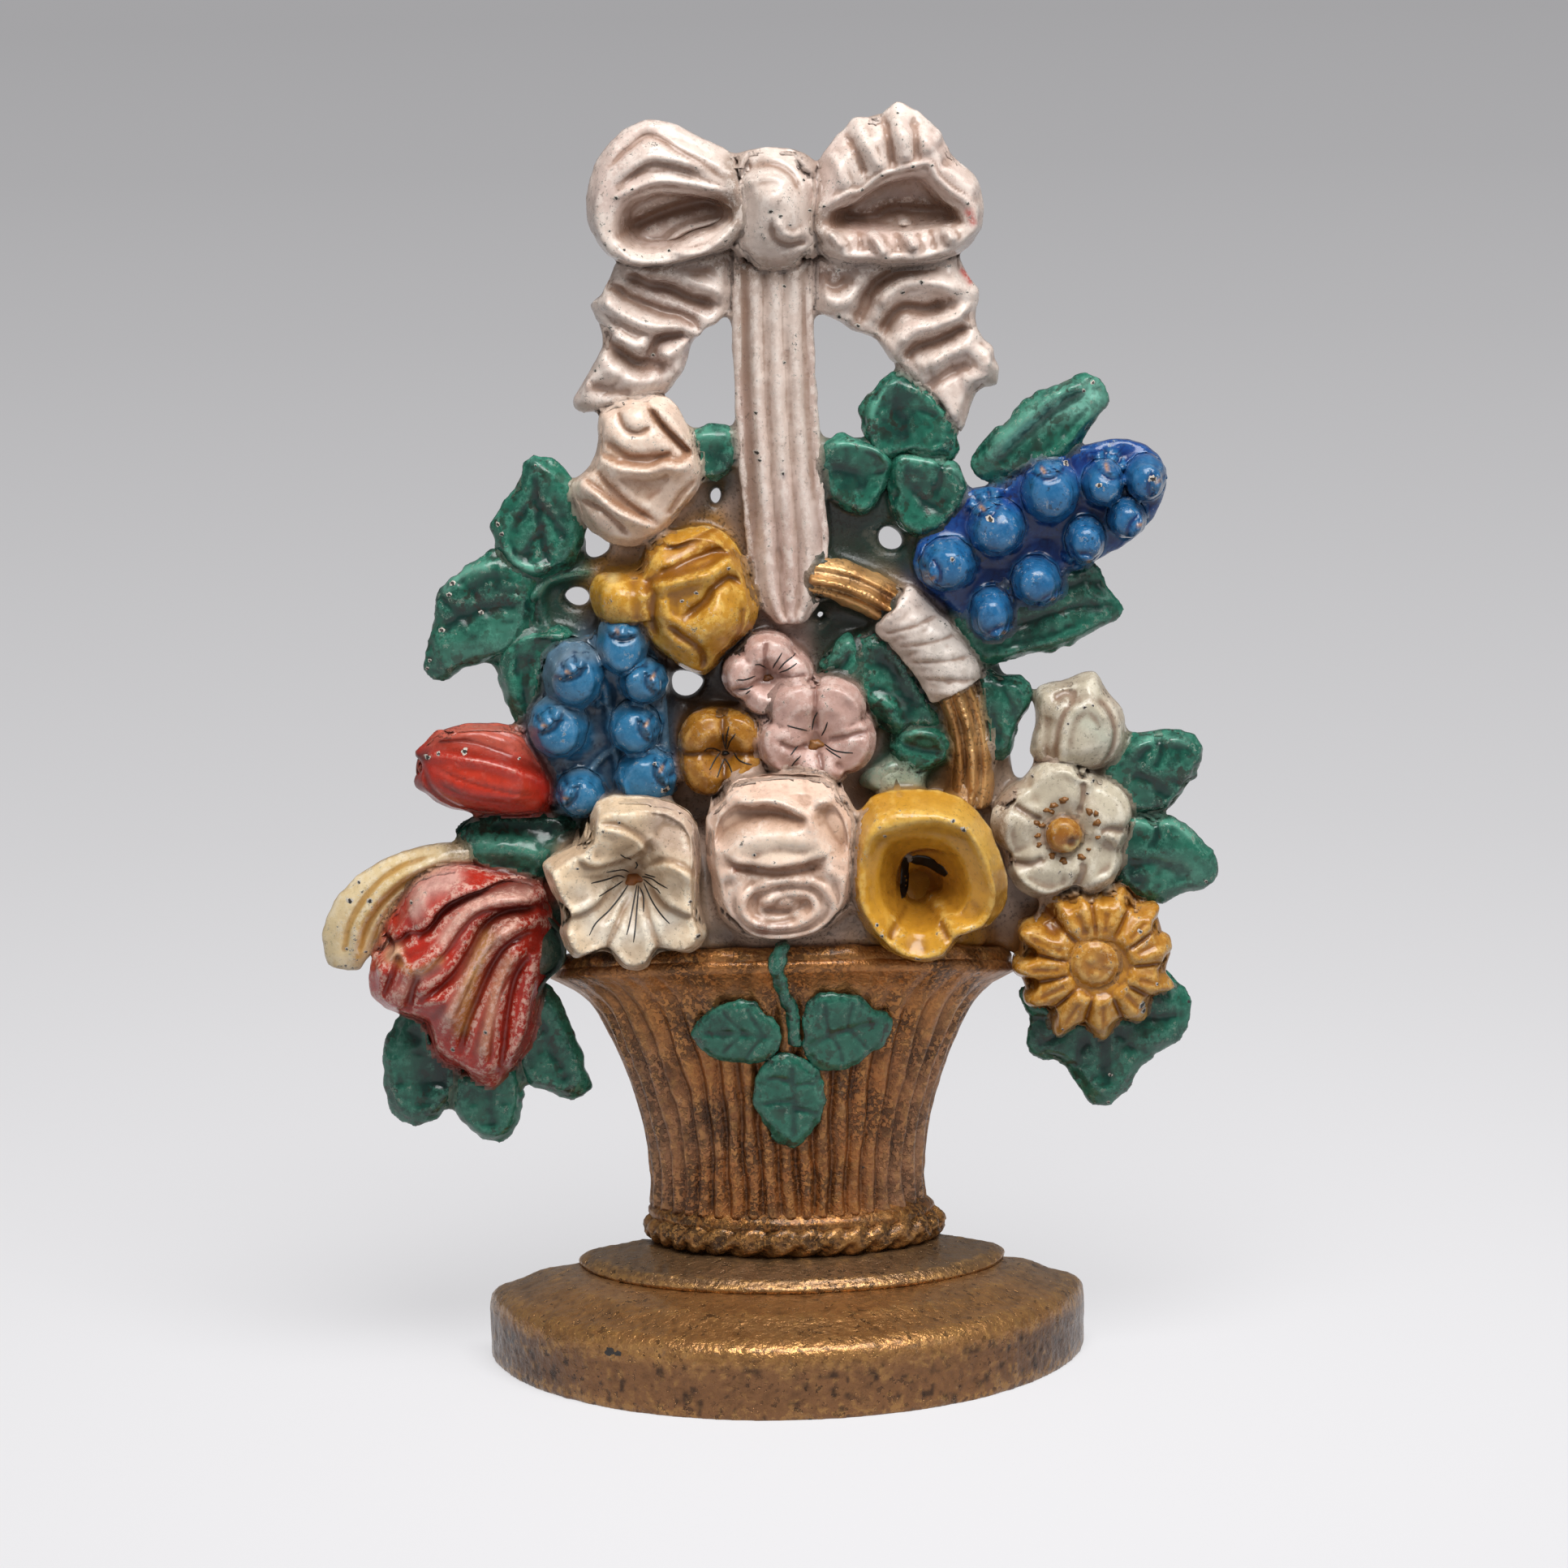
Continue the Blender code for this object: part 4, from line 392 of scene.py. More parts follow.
        ("edge", 2.2, 1.0, (20, 110), [(25, 104.5), (25, 108), (25.6, 111.6), (27.8, 115), (31.8, 116.4),
                                       (35.8, 116)]),
        ("dome", 3.6, 3, -0.9, [(28.8, 96.4), (41, 103.4)]),
        ("tint", (176, 112, 30), 3.6, 0.75, [(29.6, 106), (33.6, 106), (32, 109)]),
        ("tint", (158, 92, 28), 1.8, 0.8, [(31.4, 106)]),
        ("tint", (188, 132, 44), 3.0, 0.5, [(24, 108), (27.6, 102.4), (36.6, 104), (38.4, 110)]),
        ("tint", (232, 190, 96), 2.4, 0.5, [(20, 121.4), (30, 124), (40, 122.4), (45.6, 114)]),
        ("tint", (140, 96, 44), 1.6, 0.6, [(46.8, 111), (46.4, 104)]),
        ("tint", (80, 46, 24), 2.2, 0.7, [(12, 92), (15.6, 95.6), (18.4, 93)]),
    ],
    "mauve_primrose_upper": [
        ("dome", 3.4, 3, -1.3, [(-1.5, 152)]),
        ("groove", 0.8, 0.9, [(-1.5, 153), (-2, 157), (-1.6, 160.6)]),
        ("groove", 0.7, 0.8, [(-3, 151.6), (-6, 150.6), (-10, 149.4)]),
        ("groove", 0.7, 0.7, [(0.4, 152.6), (4, 152.6), (7, 153)]),
        ("ridge", 1.0, 0.7, [(-9.6, 154), (-7, 158.4), (-3.4, 160)]),
        ("ridge", 1.0, 0.7, [(0.6, 160.2), (4.6, 159.2), (7, 155.6)]),
        ("tint", (120, 84, 66), 1.3, 0.7, [(-1.5, 152)]),
    ],
    "mauve_primrose_lower": [
        ("dome", 3.6, 3.4, -1.4, [(8.4, 138.1)]),
        ("groove", 0.8, 1.0, [(8.6, 151.6), (8.4, 146), (8.4, 141)]),
        ("groove", 0.8, 1.1, [(0.6, 139.2), (3.6, 137.6), (6.8, 137.8)]),
        ("groove", 0.8, 1.1, [(9.2, 130.6), (9.6, 133.6), (9, 136.4)]),
        ("groove", 0.8, 1.0, [(21, 141), (16, 140.2), (11, 139)]),
        ("ridge", 1.0, 0.9, [(-0.4, 134), (2, 131.3), (6, 129.6), (8.6, 131)]),
        ("ridge", 1.0, 0.9, [(10.8, 133), (15.6, 131.4), (20, 133.6), (21, 137.2)]),
        ("ridge", 1.0, 0.8, [(-2.6, 141), (-2, 146), (2, 150.6), (7, 151.6)]),
        ("ridge", 1.0, 0.8, [(10, 151.8), (15, 150), (18.6, 146), (20.4, 142.6)]),
        ("dome", 3.4, 3, -0.6, [(3.2, 144.6), (13.6, 145.6), (4.4, 134), (15.4, 136.2)]),
        ("tint", (140, 96, 50), 1.5, 0.8, [(8.4, 138.1)]),
    ],
    "ochre_pansy": [
        ("tint", (150, 98, 30), 8, 0.5, [(-13, 138), (-9, 134)]),
        ("dome", 3.4, 3.2, -1.3, [(-10.9, 135.9)]),
        ("groove", 0.8, 0.9, [(-11, 146), (-11.2, 141), (-11, 138)]),
        ("groove", 0.8, 0.9, [(-20.6, 136), (-16, 136.4), (-13, 136.2)]),
        ("groove", 0.8, 0.9, [(-11.6, 126), (-11.2, 130), (-11, 134)]),
        ("groove", 0.8, 0.9, [(-2.6, 136), (-6, 136), (-9, 136)]),
        ("ridge", 1.0, 0.8, [(-20.6, 138.6), (-19, 142.6), (-15, 144.8), (-12, 144.4)]),
        ("ridge", 1.0, 0.8, [(-10, 144.6), (-6, 144.2), (-3.2, 141)]),
        ("tint", (120, 72, 24), 1.2, 0.7, [(-10.9, 135.9)]),
    ],
    "white_blossom": [
        ("dome", 5.6, 5.6, -1.2, [(62.4, 116.2)]),
        ("groove", 0.9, 1.5, [(64.4, 121.4), (65.2, 124.6), (65.6, 129)]),
        ("groove", 0.9, 1.4, [(68.4, 117.4), (71, 118.2), (75, 117.6)]),
        ("groove", 0.9, 1.4, [(65.3, 111), (65, 108.6), (63.4, 105)]),
        ("groove", 0.9, 1.4, [(57, 112), (54, 111), (50, 111)]),
        ("groove", 0.9, 1.5, [(56.6, 120.2), (54, 121.6), (50, 124)]),
        ("grab", 1.8, -0.4, -1.8, [(65.8, 131.4)]),
        ("grab", 1.8, -1.8, 0, [(77, 117.6)]),
        ("grab", 1.8, 0.4, 1.8, [(63.4, 103.6)]),
        ("grab", 1.8, 1.8, 0, [(47.6, 111.4)]),
        ("grab", 2.2, 2.2, -0.8, [(48, 125.4)]),
        ("ridge", 1.1, 1.2, [(52.6, 126), (54, 129.4), (58, 131.6), (62, 131.5), (65, 129)]),
        ("ridge", 1.1, 1.2, [(66, 127), (67.6, 129.6), (70.8, 130), (74, 127.6), (75.6, 123.6),
                             (74.8, 119)]),
        ("ridge", 1.0, 1.1, [(67, 117.4), (70.6, 117.2), (73.4, 113.6), (72, 108.8), (67, 106.6)]),
        ("ridge", 1.0, 1.0, [(62.6, 105.4), (57.6, 104.4), (53, 106.6), (50.6, 110)]),
        ("ridge", 1.0, 1.0, [(49.6, 113), (48.6, 117), (49.6, 121.6)]),
        ("dome", 4, 3.6, -0.6, [(58.8, 125.6), (70.2, 124), (69, 111.8), (57.2, 108), (53.4, 117)]),
        ("tint", (152, 124, 104), 1.6, 0.6, [(47.6, 116), (48.6, 124), (52.4, 128.6)]),
        ("tint", (190, 176, 156), 2.4, 0.5, [(55, 115), (60, 122.6), (67.4, 121)]),
        ("tint", (110, 82, 64), 1.8, 0.7, [(56, 103.4), (62, 103.8), (68, 105)]),
    ],
    "blossom_eye": [
        ("dome", 3.4, 3.4, 0.5, [(62.4, 116.1)]),
        ("dome", 1.7, 1.6, -1.3, [(62.9, 115.8)]),
        ("tint", (150, 92, 34), 5, 1.0, [(62.4, 116)]),
        ("tint", (236, 214, 150), 0.6, 0.9, [(61.4, 114.8), (62.4, 114.2), (63.8, 114.6), (64, 115.8)]),
        ("tint", (110, 62, 26), 0.9, 0.8, [(62.8, 116.2)]),
    ],
    "white_bud": [
        ("edge", 1.6, 1.0, (66, 136), [(60.8, 131.6), (60.6, 136), (61.6, 141.4), (63.6, 144.6),
                                       (66.5, 145.6)]),
        ("edge", 1.6, 0.9, (66, 136), [(66.8, 145.8), (69.8, 143.6), (71.4, 139.4), (70.6, 135),
                                       (68.4, 132)]),
        ("groove", 1.3, 1.3, [(59.4, 146), (62, 147.2), (64.4, 146.6)]),
        ("groove", 1.2, 0.6, [(58.2, 143), (57.8, 138), (58, 133)]),
        ("ridge", 0.9, 0.7, [(65.6, 150), (67, 147.6), (68.6, 145.4), (70.4, 141.6)]),
        ("dome", 4.4, 6.4, 1.0, [(66, 138)]),
        ("tint", (140, 116, 98), 1.3, 0.6, [(60.2, 146), (63.2, 146.8)]),
        ("tint", (118, 76, 50), 1.1, 0.6, [(57.8, 135.6), (58, 133.2)]),
        ("tint", (104, 70, 48), 1.4, 0.7, [(66.6, 130.6), (70, 131.6)]),
        ("tint", (214, 196, 176), 1.4, 0.5, [(71.4, 146), (73.4, 142)]),
        ("tint", (196, 206, 190), 2.4, 0.5, [(66, 142), (70, 138)]),
    ],
    "golden_daisy": [
        ("dome", 4.6, 4.2, -0.8, [(68.6, 88.4)]),
        ("tint", (120, 66, 24), 1.4, 0.6, [(59, 101.6), (54, 101.4)]),
        ("tint", (140, 82, 26), 2.6, 0.5, [(68.6, 88.2)]),
    ],
    "daisy_eye": [
        ("dome", 3, 3, -0.5, [(68.4, 88.8)]),
        ("dome", 1.2, 1, 0.4, [(66.6, 90.2), (70.4, 89), (67.4, 87)]),
        ("tint", (156, 96, 40), 4.4, 0.8, [(68.6, 88.6)]),
        ("tint", (206, 158, 84), 1.2, 0.6, [(67, 90.6), (68.6, 87.6)]),
    ],
    "red_tulip_bud": [
        ("grab", 1.8, 1.8, 0.4, [(-78.4, 133.4)]),
        ("grab", 1.5, -1.4, 0.4, [(-78, 136.6)]),
        ("grab", 1.4, -0.8, -0.4, [(-77, 129)]),
        ("grab", 1.5, 0.6, -0.8, [(-70.4, 142)]),
        ("plate", 0.8, -1.8, [(-82, 138), (-77, 137.6), (-72, 138), (-66.5, 137.4), (-61, 136.4),
                              (-55, 134.4), (-47, 131.6), (-47, 146), (-82, 146)]),
        ("dome", 12, 5.4, 1.4, [(-63, 130)]),
        ("edge", 1.6, 1.0, (-64, 130), [(-77, 136), (-72, 137), (-66.5, 136.4), (-61, 135.4), (-55, 133.4),
                                        (-50, 130.6)]),
        ("groove", 0.7, 1.0, [(-75.6, 134), (-74.4, 130), (-71, 126.6), (-66, 124.4), (-58, 123.2)]),
        ("groove", 0.5, 0.4, [(-72, 133.6), (-66, 131.4), (-58, 129), (-52, 127.6)]),
        ("groove", 0.5, 0.4, [(-72, 130.6), (-66, 128), (-58, 126)]),
        ("ridge", 1.0, 0.8, [(-73, 139.6), (-64, 140.8), (-56, 138.6)]),
        ("groove", 0.6, 0.7, [(-74, 138.6), (-66, 139), (-57, 136.4)]),
        ("wash", (196, 104, 84), 1.4, 0.7, [(-76, 138.6), (-66, 138.4), (-55, 136), (-49, 133.4),
                                            (-49, 145), (-76, 145)]),
        ("wash", (116, 26, 18), 1.2, 0.7, [(-78, 133), (-75.4, 130.4), (-71, 125.6), (-64, 123.6),
                                           (-56, 122.6), (-56, 119), (-80, 121)]),
        ("tint", (206, 64, 40), 2.6, 0.7, [(-70, 133.4), (-62, 131.6), (-54, 129.4)]),
        ("tint", (60, 46, 44), 1.1, 0.8, [(-77.4, 135.4), (-75, 136)]),
    ],
    "parrot_tulip": [
        ("grab", 2.0, 2.4, 0, [(-85.6, 95)]),
        ("grab", 1.6, -1.4, 0.4, [(-84.6, 90.4)]),
        ("grab", 1.8, 0, -1.6, [(-62.4, 63.6)]),
        ("grab", 1.8, 1.0, 1.2, [(-70, 64.6)]),
        ("groove", 0.9, 2.2, [(-86, 95.4), (-82, 96), (-79.4, 98)]),
        ("ridge", 0.8, 1.4, [(-84, 93.2), (-82, 94.6), (-80.4, 92.8)]),
        ("groove", 0.8, 2.4, [(-51, 107.2), (-58, 108), (-64, 106.9), (-69, 105), (-72.5, 102.4),
                              (-74.8, 99.4), (-77, 97.6)]),
        ("edge", 2.2, 2.0, (-72, 112), [(-52, 108.6), (-58, 109.2), (-64, 108), (-69.4, 106), (-73, 103.6),
                                        (-75.6, 100.4), (-79, 99)]),
        ("dome", 4, 4.4, 1.3, [(-77.4, 104)]),
        ("ridge", 1.8, 2.3, [(-52, 105.4), (-58, 106), (-64, 104.4), (-68, 101.6), (-71, 97.6),
                             (-74.5, 94), (-79, 91.8), (-83, 90.6)]),
        ("groove", 1.1, 2.8, [(-51.6, 102.8), (-56, 103), (-60, 102), (-63.4, 99.4), (-66, 95),
                              (-69, 90.6), (-73, 86.8), (-77, 84.6)]),
        ("ridge", 1.6, 2.2, [(-52, 100.6), (-58, 99.8), (-62, 96.6), (-65, 92.2), (-67.5, 87), (-70, 82),
                             (-73, 77.6)]),
        ("groove", 0.9, 2.0, [(-54.4, 98.4), (-58.6, 96), (-61, 93), (-63.2, 88.6), (-65.4, 83.6),
                              (-67.7, 78), (-69.4, 72)]),
        ("ridge", 1.5, 2.0, [(-53.4, 96), (-57, 93), (-59.8, 88), (-61.5, 82), (-63, 76), (-64.4, 69.6)]),
        ("groove", 0.8, 1.6, [(-54.6, 92.4), (-57, 88.5), (-58.4, 83), (-59.4, 77), (-60.2, 71),
                              (-61.4, 67)]),
        ("ridge", 1.4, 1.6, [(-52.6, 92), (-54.2, 86), (-55.4, 80), (-56.8, 74), (-58.6, 69)]),
        ("groove", 0.6, 1.0, [(-58, 103.8), (-64, 103), (-68, 99.6), (-71, 95.4), (-74, 92.6)]),
        ("groove", 0.6, 0.9, [(-60, 98), (-64, 93), (-67, 87), (-70.4, 80)]),
        ("groove", 0.6, 0.9, [(-57.6, 90.6), (-60.6, 84), (-62.2, 77), (-63, 70)]),
        ("groove", 0.9, 1.7, [(-81, 94), (-83, 90.6), (-84.4, 87), (-85.6, 84)]),
        ("groove", 0.9, 1.6, [(-77.6, 89.6), (-79, 86), (-80, 82.6)]),
        ("ridge", 1.2, 1.2, [(-79.4, 91), (-81.4, 86.4), (-82.6, 82)]),
        ("tint", (222, 178, 160), 1.5, 0.75, [(-54, 106), (-60, 106.2), (-65, 104.6), (-69, 101.6),
                                              (-72, 97.6)]),
        ("tint", (226, 184, 170), 2.4, 0.8, [(-70, 110), (-76, 107.6), (-78.6, 103)]),
        ("tint", (216, 170, 146), 1.5, 0.7, [(-57, 100.4), (-62, 97.4), (-65.6, 92), (-68.4, 86),
                                             (-71.4, 80)]),
        ("tint", (220, 164, 128), 1.4, 0.7, [(-58, 93), (-61, 87), (-62.6, 80), (-64.4, 72.6)]),
        ("tint", (212, 158, 142), 1.6, 0.6, [(-74, 92), (-79, 89), (-82, 85)]),
        ("tint", (214, 160, 82), 1.6, 0.7, [(-62.6, 98), (-65, 92), (-67, 85), (-69, 77)]),
        ("tint", (214, 158, 86), 1.0, 0.6, [(-73, 93.4), (-78, 91), (-82, 92.6)]),
        # Painted shade in the dark hollow under the second petal, and painted shadow under the top petal
        ("tint", (84, 36, 22), 1.7, 0.8, [(-54, 103), (-59.4, 102.2), (-63, 99.8)]),
        ("tint", (96, 40, 28), 1.1, 0.7, [(-52, 107.4), (-58, 108.2), (-64, 107)]),
        ("tint", (226, 188, 148), 1.2, 0.8, [(-84, 93.2), (-82, 94.6)]),
        ("tint", (178, 36, 26), 1.3, 0.85, [(-80.6, 104), (-79.8, 101), (-77.6, 99.6)]),
        ("tint", (168, 40, 30), 1.8, 0.8, [(-50.4, 104), (-51, 97), (-52.6, 90), (-54, 82), (-56.6, 72),
                                           (-60, 66)]),
        ("tint", (168, 44, 32), 1.3, 0.75, [(-66, 65), (-70.6, 68.6), (-75, 72), (-77, 78)]),
    ],
    "parrot_tulip_outer_petal": [
        ("tint", (220, 170, 76), 0.8, 0.8, [(-72, 111.6), (-79, 108.6), (-85, 104), (-89, 98), (-91, 92)]),
        ("tint", (222, 176, 84), 0.7, 0.7, [(-80, 112.6), (-87, 107.4), (-91.6, 101), (-93.6, 95)]),
        ("tint", (218, 166, 70), 0.7, 0.7, [(-76, 105.6), (-81, 101.6), (-85, 95.6), (-86.6, 90)]),
        ("groove", 0.8, 1.0, [(-70, 112.6), (-77, 110), (-83, 106), (-87.6, 100.6), (-90.4, 94)]),
        ("groove", 0.7, 0.8, [(-74, 114), (-82, 111.4), (-88, 106.6), (-92.4, 100), (-94, 94)]),
        ("groove", 0.8, 0.9, [(-78, 106.6), (-83, 102.6), (-86.6, 97.4), (-88.4, 92)]),
        ("ridge", 1.2, 0.9, [(-72, 113.4), (-80, 110.4), (-86, 105.4), (-90.6, 99), (-92, 92)]),
        ("tint", (216, 170, 84), 1.0, 0.65, [(-80, 110), (-86, 105), (-90.4, 98.6)]),
        ("tint", (216, 172, 88), 1.0, 0.65, [(-76, 108), (-82.4, 103.4), (-86.6, 97)]),
        ("tint", (112, 88, 66), 2.4, 0.7, [(-64, 114.4), (-70, 115.4)]),
    ],
    "ground": [
        ("wash", (208, 180, 160), 2.5, 0.85, [(-27, 128), (-18, 131), (-12, 133), (16, 133), (17, 124),
                                              (16.5, 98), (-14, 97), (-15.5, 112), (-19, 119)]),
        ("wash", (186, 162, 142), 3, 0.85, [(44, 136), (56, 137), (58, 104), (50, 98), (44, 100),
                                            (42, 112)]),
        # Painted shade: near-black ground deep in the gaps beside the stem and the right leaves, and dark
        # brown beside the left bells
        ("wash", (14, 38, 32), 3, 0.95, [(9, 196), (9, 172), (24, 175), (37, 170), (36, 180), (30, 190),
                                         (20, 190)]),
        ("wash", (16, 44, 36), 3, 0.95, [(7, 172), (7, 160), (14, 150), (22, 160), (31, 142), (36, 146),
                                         (29, 166), (20, 172)]),
        ("wash", (58, 40, 28), 3, 0.9, [(-26, 158), (-20, 146), (-8, 146), (0, 146), (-4, 160), (-6, 170),
                                        (-12, 158)]),
        ("wash", (24, 76, 64), 2, 0.95, [(-54, 101), (-44, 101), (-44, 84), (-54, 84)]),
        ("grab", 3.2, 3.4, 0, [(-50, 95), (-50.6, 90)]),
        ("tint", (186, 160, 142), 6, 0.8, [(50, 100), (48, 108), (48, 118), (51, 128), (56, 134)]),
        ("tint", (186, 156, 138), 4, 0.8, [(-16, 112), (-16, 120), (-13, 128), (0, 131), (10, 129)]),
        ("tint", (180, 152, 132), 3, 0.7, [(17, 92), (17, 112), (17, 124)]),
        ("ridge", 1.1, 1.8, [(-57, 170), (-52, 169.5), (-48, 172.5), (-43, 173.8), (-38.5, 174.2)]),
        ("ridge", 1.1, 1.6, [(-49.5, 171.5), (-49.7, 167), (-48.5, 162)]),
        ("groove", 1.2, 1.2, [(-54.4, 171.6), (-51, 171.8)]),
        ("groove", 1.2, 1.2, [(-52, 166.6), (-53, 168.6)]),
        ("tint", (24, 74, 62), 6.5, 0.9, [(-52, 172), (-47, 170), (-50, 164)]),
        ("tint", (60, 130, 108), 1.2, 0.7, [(-57, 170), (-52, 169.5), (-48, 172.5), (-43, 173.8),
                                            (-39.5, 174.2)]),
        # Painted shade in the deep gaps between the forms, and under the front flowers over the rim
        ("tint", (30, 26, 20), 2.4, 0.8, [(-44, 168), (-40, 166), (-38, 163)]),
        ("tint", (24, 66, 56), 5, 0.8, [(12, 210), (20, 196), (26, 186), (30, 178)]),
        ("tint", (22, 50, 40), 5, 0.85, [(14, 178), (24, 176), (36, 182)]),
        ("tint", (18, 36, 28), 4, 0.85, [(12, 166), (20, 160), (28, 152), (30, 144)]),
        ("tint", (40, 26, 16), 4, 0.8, [(-6, 162), (-12, 152), (-18, 146), (-22, 150)]),
        ("tint", (66, 44, 30), 3, 0.7, [(-14, 98), (-10, 96)]),
        ("tint", (150, 128, 108), 4, 0.7, [(48, 118), (50, 128), (54, 134)]),
        ("tint", (154, 132, 116), 3, 0.6, [(-18, 120), (-14, 128), (-4, 131), (8, 130)]),
        # Painted shade in the gap between the rosebud and the stem
        ("tint", (30, 22, 14), 3, 0.8, [(-10, 193), (-14, 188)]),
        ("tint", (120, 84, 44), 2.4, 0.6, [(-6, 186), (-5, 178), (-4, 170)]),
    ],
    # On the leaves, pale tints along top edges and ridges are painted highlights, and dark tints in folds,
    # hollows and beside other forms are painted shade
    "leaf_under_bud": [
        ("plate", 3.4, -2.6, [(-70, 125), (-42, 125), (-42, 117.6), (-56, 118.2), (-70, 118)]),
        ("ridge", 2.2, 1.2, [(-66, 116.6), (-58, 115.6), (-50, 113.4)]),
        ("groove", 1.8, 0.5, [(-66, 119.4), (-56, 119.6), (-47, 118.4)]),
        ("groove", 1.5, 0.5, [(-62, 111.6), (-56, 110), (-50, 109.4)]),
        # Painted shade in the fold under the bud, painted shadow along the bottom, and a painted highlight
        # along the middle ridge
        ("tint", (18, 52, 44), 2.4, 0.8, [(-66, 120.6), (-56, 121), (-46, 119.6)]),
        ("tint", (20, 50, 44), 1.6, 0.7, [(-64, 110.4), (-56, 107.8), (-50, 108.4)]),
        ("tint", (96, 164, 142), 1.6, 0.5, [(-63, 116.4), (-56, 115.4), (-49, 113.4)]),
    ],
    "leaf_tulip_left": [
        ("groove", 2.0, 0.8, [(-80, 78), (-78.4, 70), (-78, 62), (-79, 57)]),
        ("groove", 2.5, 1.0, [(-74, 70), (-73.6, 66), (-74.4, 62)]),
        # Painted shadow in the hollow between the left and middle leaves
        ("tint", (12, 34, 32), 3.2, 0.9, [(-75, 67.6), (-73.6, 64)]),
    ],
    "leaf_tulip_middle": [
        ("groove", 1.5, 0.5, [(-64, 66), (-63.6, 60), (-63, 53)]),
        ("tint", (14, 44, 38), 2.0, 0.6, [(-71, 68), (-66, 68.6), (-60, 68.6)]),
    ],
    "leaf_tulip_right": [
        ("groove", 1.4, 0.5, [(-52.6, 78), (-49.6, 70), (-46, 63)]),
        ("tint", (16, 48, 40), 2.0, 0.6, [(-55, 68), (-54, 76), (-52, 84)]),
    ],
    "leaf_left_top": [
        ("groove", 1.1, 0.9, [(-50.5, 197), (-50, 190), (-48.8, 182), (-47.8, 176.6)]),
        ("groove", 1.0, 0.5, [(-50, 191.6), (-53, 187.6), (-55.6, 183.6)]),
        ("groove", 1.0, 0.5, [(-49.8, 190), (-46.6, 186), (-44.2, 181.6)]),
        ("groove", 1.0, 0.5, [(-49, 184.4), (-51.6, 181), (-53, 178)]),
        ("ridge", 1.0, 1.2, [(-57.4, 181), (-54.6, 177), (-50.8, 175.4), (-46.6, 176.6)]),
        ("ridge", 0.9, 0.8, [(-51.6, 199.6), (-49, 198), (-45, 194.6)]),
        ("tint", (14, 50, 42), 1.8, 0.7, [(-49.6, 195), (-49, 190), (-48.8, 184)]),
        ("tint", (120, 190, 166), 0.9, 0.7, [(-56.6, 179.6), (-53.6, 176.6), (-50.6, 176)]),
        ("tint", (120, 190, 166), 0.8, 0.6, [(-51.6, 199.6), (-49.4, 197.6)]),
    ],
    "leaf_left_outer": [
        ("ridge", 1.4, 1.2, [(-72.6, 166), (-69.4, 172.6), (-65, 176), (-60, 177)]),
        ("groove", 1.5, 0.8, [(-71, 163), (-67, 165.4), (-61, 167.5), (-55, 168)]),
        ("dome", 8, 4.6, 0.9, [(-63, 160.6)]),
        ("groove", 1.1, 0.5, [(-62, 167.8), (-64, 171.4), (-67.4, 173.6)]),
        ("groove", 1.1, 0.5, [(-66, 166), (-69.6, 168.6), (-71.6, 171)]),
        ("tint", (14, 46, 40), 2.4, 0.7, [(-62, 173.4), (-58.6, 174), (-57, 170)]),
        ("tint", (16, 54, 46), 1.6, 0.6, [(-69, 167), (-66.6, 164.6), (-62, 169.4)]),
        ("tint", (72, 122, 106), 4.0, 0.6, [(-66, 158), (-60, 160.6), (-56, 163.6)]),
        ("tint", (128, 190, 168), 1.0, 0.6, [(-70, 171.4), (-65.6, 175.4), (-61, 176.6)]),
        ("tint", (12, 34, 30), 1.8, 0.8, [(-54, 170), (-52.6, 166)]),
    ],
    "leaf_left_lower": [
        ("ridge", 1.2, 1.2, [(-56.6, 160), (-53, 161.6), (-48.6, 161.8), (-43.6, 161.2)]),
        ("ridge", 1.1, 0.9, [(-56, 158.6), (-56.4, 153), (-55.4, 147)]),
        ("groove", 1.1, 0.5, [(-52, 158), (-53.4, 151), (-53, 144)]),
        ("tint", (16, 54, 46), 1.8, 0.7, [(-53, 150), (-52.6, 144)]),
        ("tint", (120, 180, 160), 0.8, 0.6, [(-55.6, 161), (-51.6, 162)]),
    ],
    "leaf_right_top": [
        ("dome", 6, 6, -1.0, [(29, 207)]),
        ("ridge", 0.9, 1.0, [(20.6, 203), (21.4, 208), (23.6, 212.4), (27, 215)]),
        ("ridge", 0.9, 1.0, [(31, 213.4), (34, 211.4), (37.6, 207)]),
        ("ridge", 0.8, 0.8, [(24.4, 199.6), (28.6, 198.4), (33, 198.6), (36, 200.6)]),
        ("groove", 1.2, 0.5, [(25.6, 211), (28, 207), (29, 202)]),
        ("groove", 0.7, 0.5, [(32, 208.4), (35.4, 207)]),
        ("grab", 1.2, 0.8, 0, [(19.6, 206)]),
        ("grab", 1.2, 0.6, -0.8, [(22, 211.6)]),
        ("grab", 1.2, -0.7, 0.5, [(37.6, 203)]),
        ("tint", (10, 44, 38), 3.2, 0.7, [(27, 210), (29, 205)]),
        ("tint", (112, 184, 160), 0.7, 0.6, [(21.6, 208), (23.6, 212), (26.6, 214.6)]),
        ("grab", 4, -1, -2.5, [(24, 202)]),
    ],
    "leaf_right_inner": [
        ("dome", 5.4, 5, -0.9, [(16.6, 194)]),
        ("ridge", 0.9, 1.0, [(12, 201), (17, 201.8), (21.4, 199.8), (23, 196.4)]),
        ("ridge", 0.9, 0.9, [(23, 192), (21.4, 188.4), (18, 187)]),
        ("groove", 1.1, 0.5, [(12.6, 196), (16.4, 195), (19.6, 191.6)]),
        ("groove", 0.7, 0.6, [(22.6, 195), (20, 194.4)]),
        ("grab", 1.1, -0.8, 0, [(23.4, 194.4)]),
        ("tint", (12, 46, 40), 2.8, 0.6, [(15, 197), (17.6, 192.4)]),
        ("tint", (112, 184, 160), 0.7, 0.6, [(13, 201.2), (17, 201.6), (21, 199.8)]),
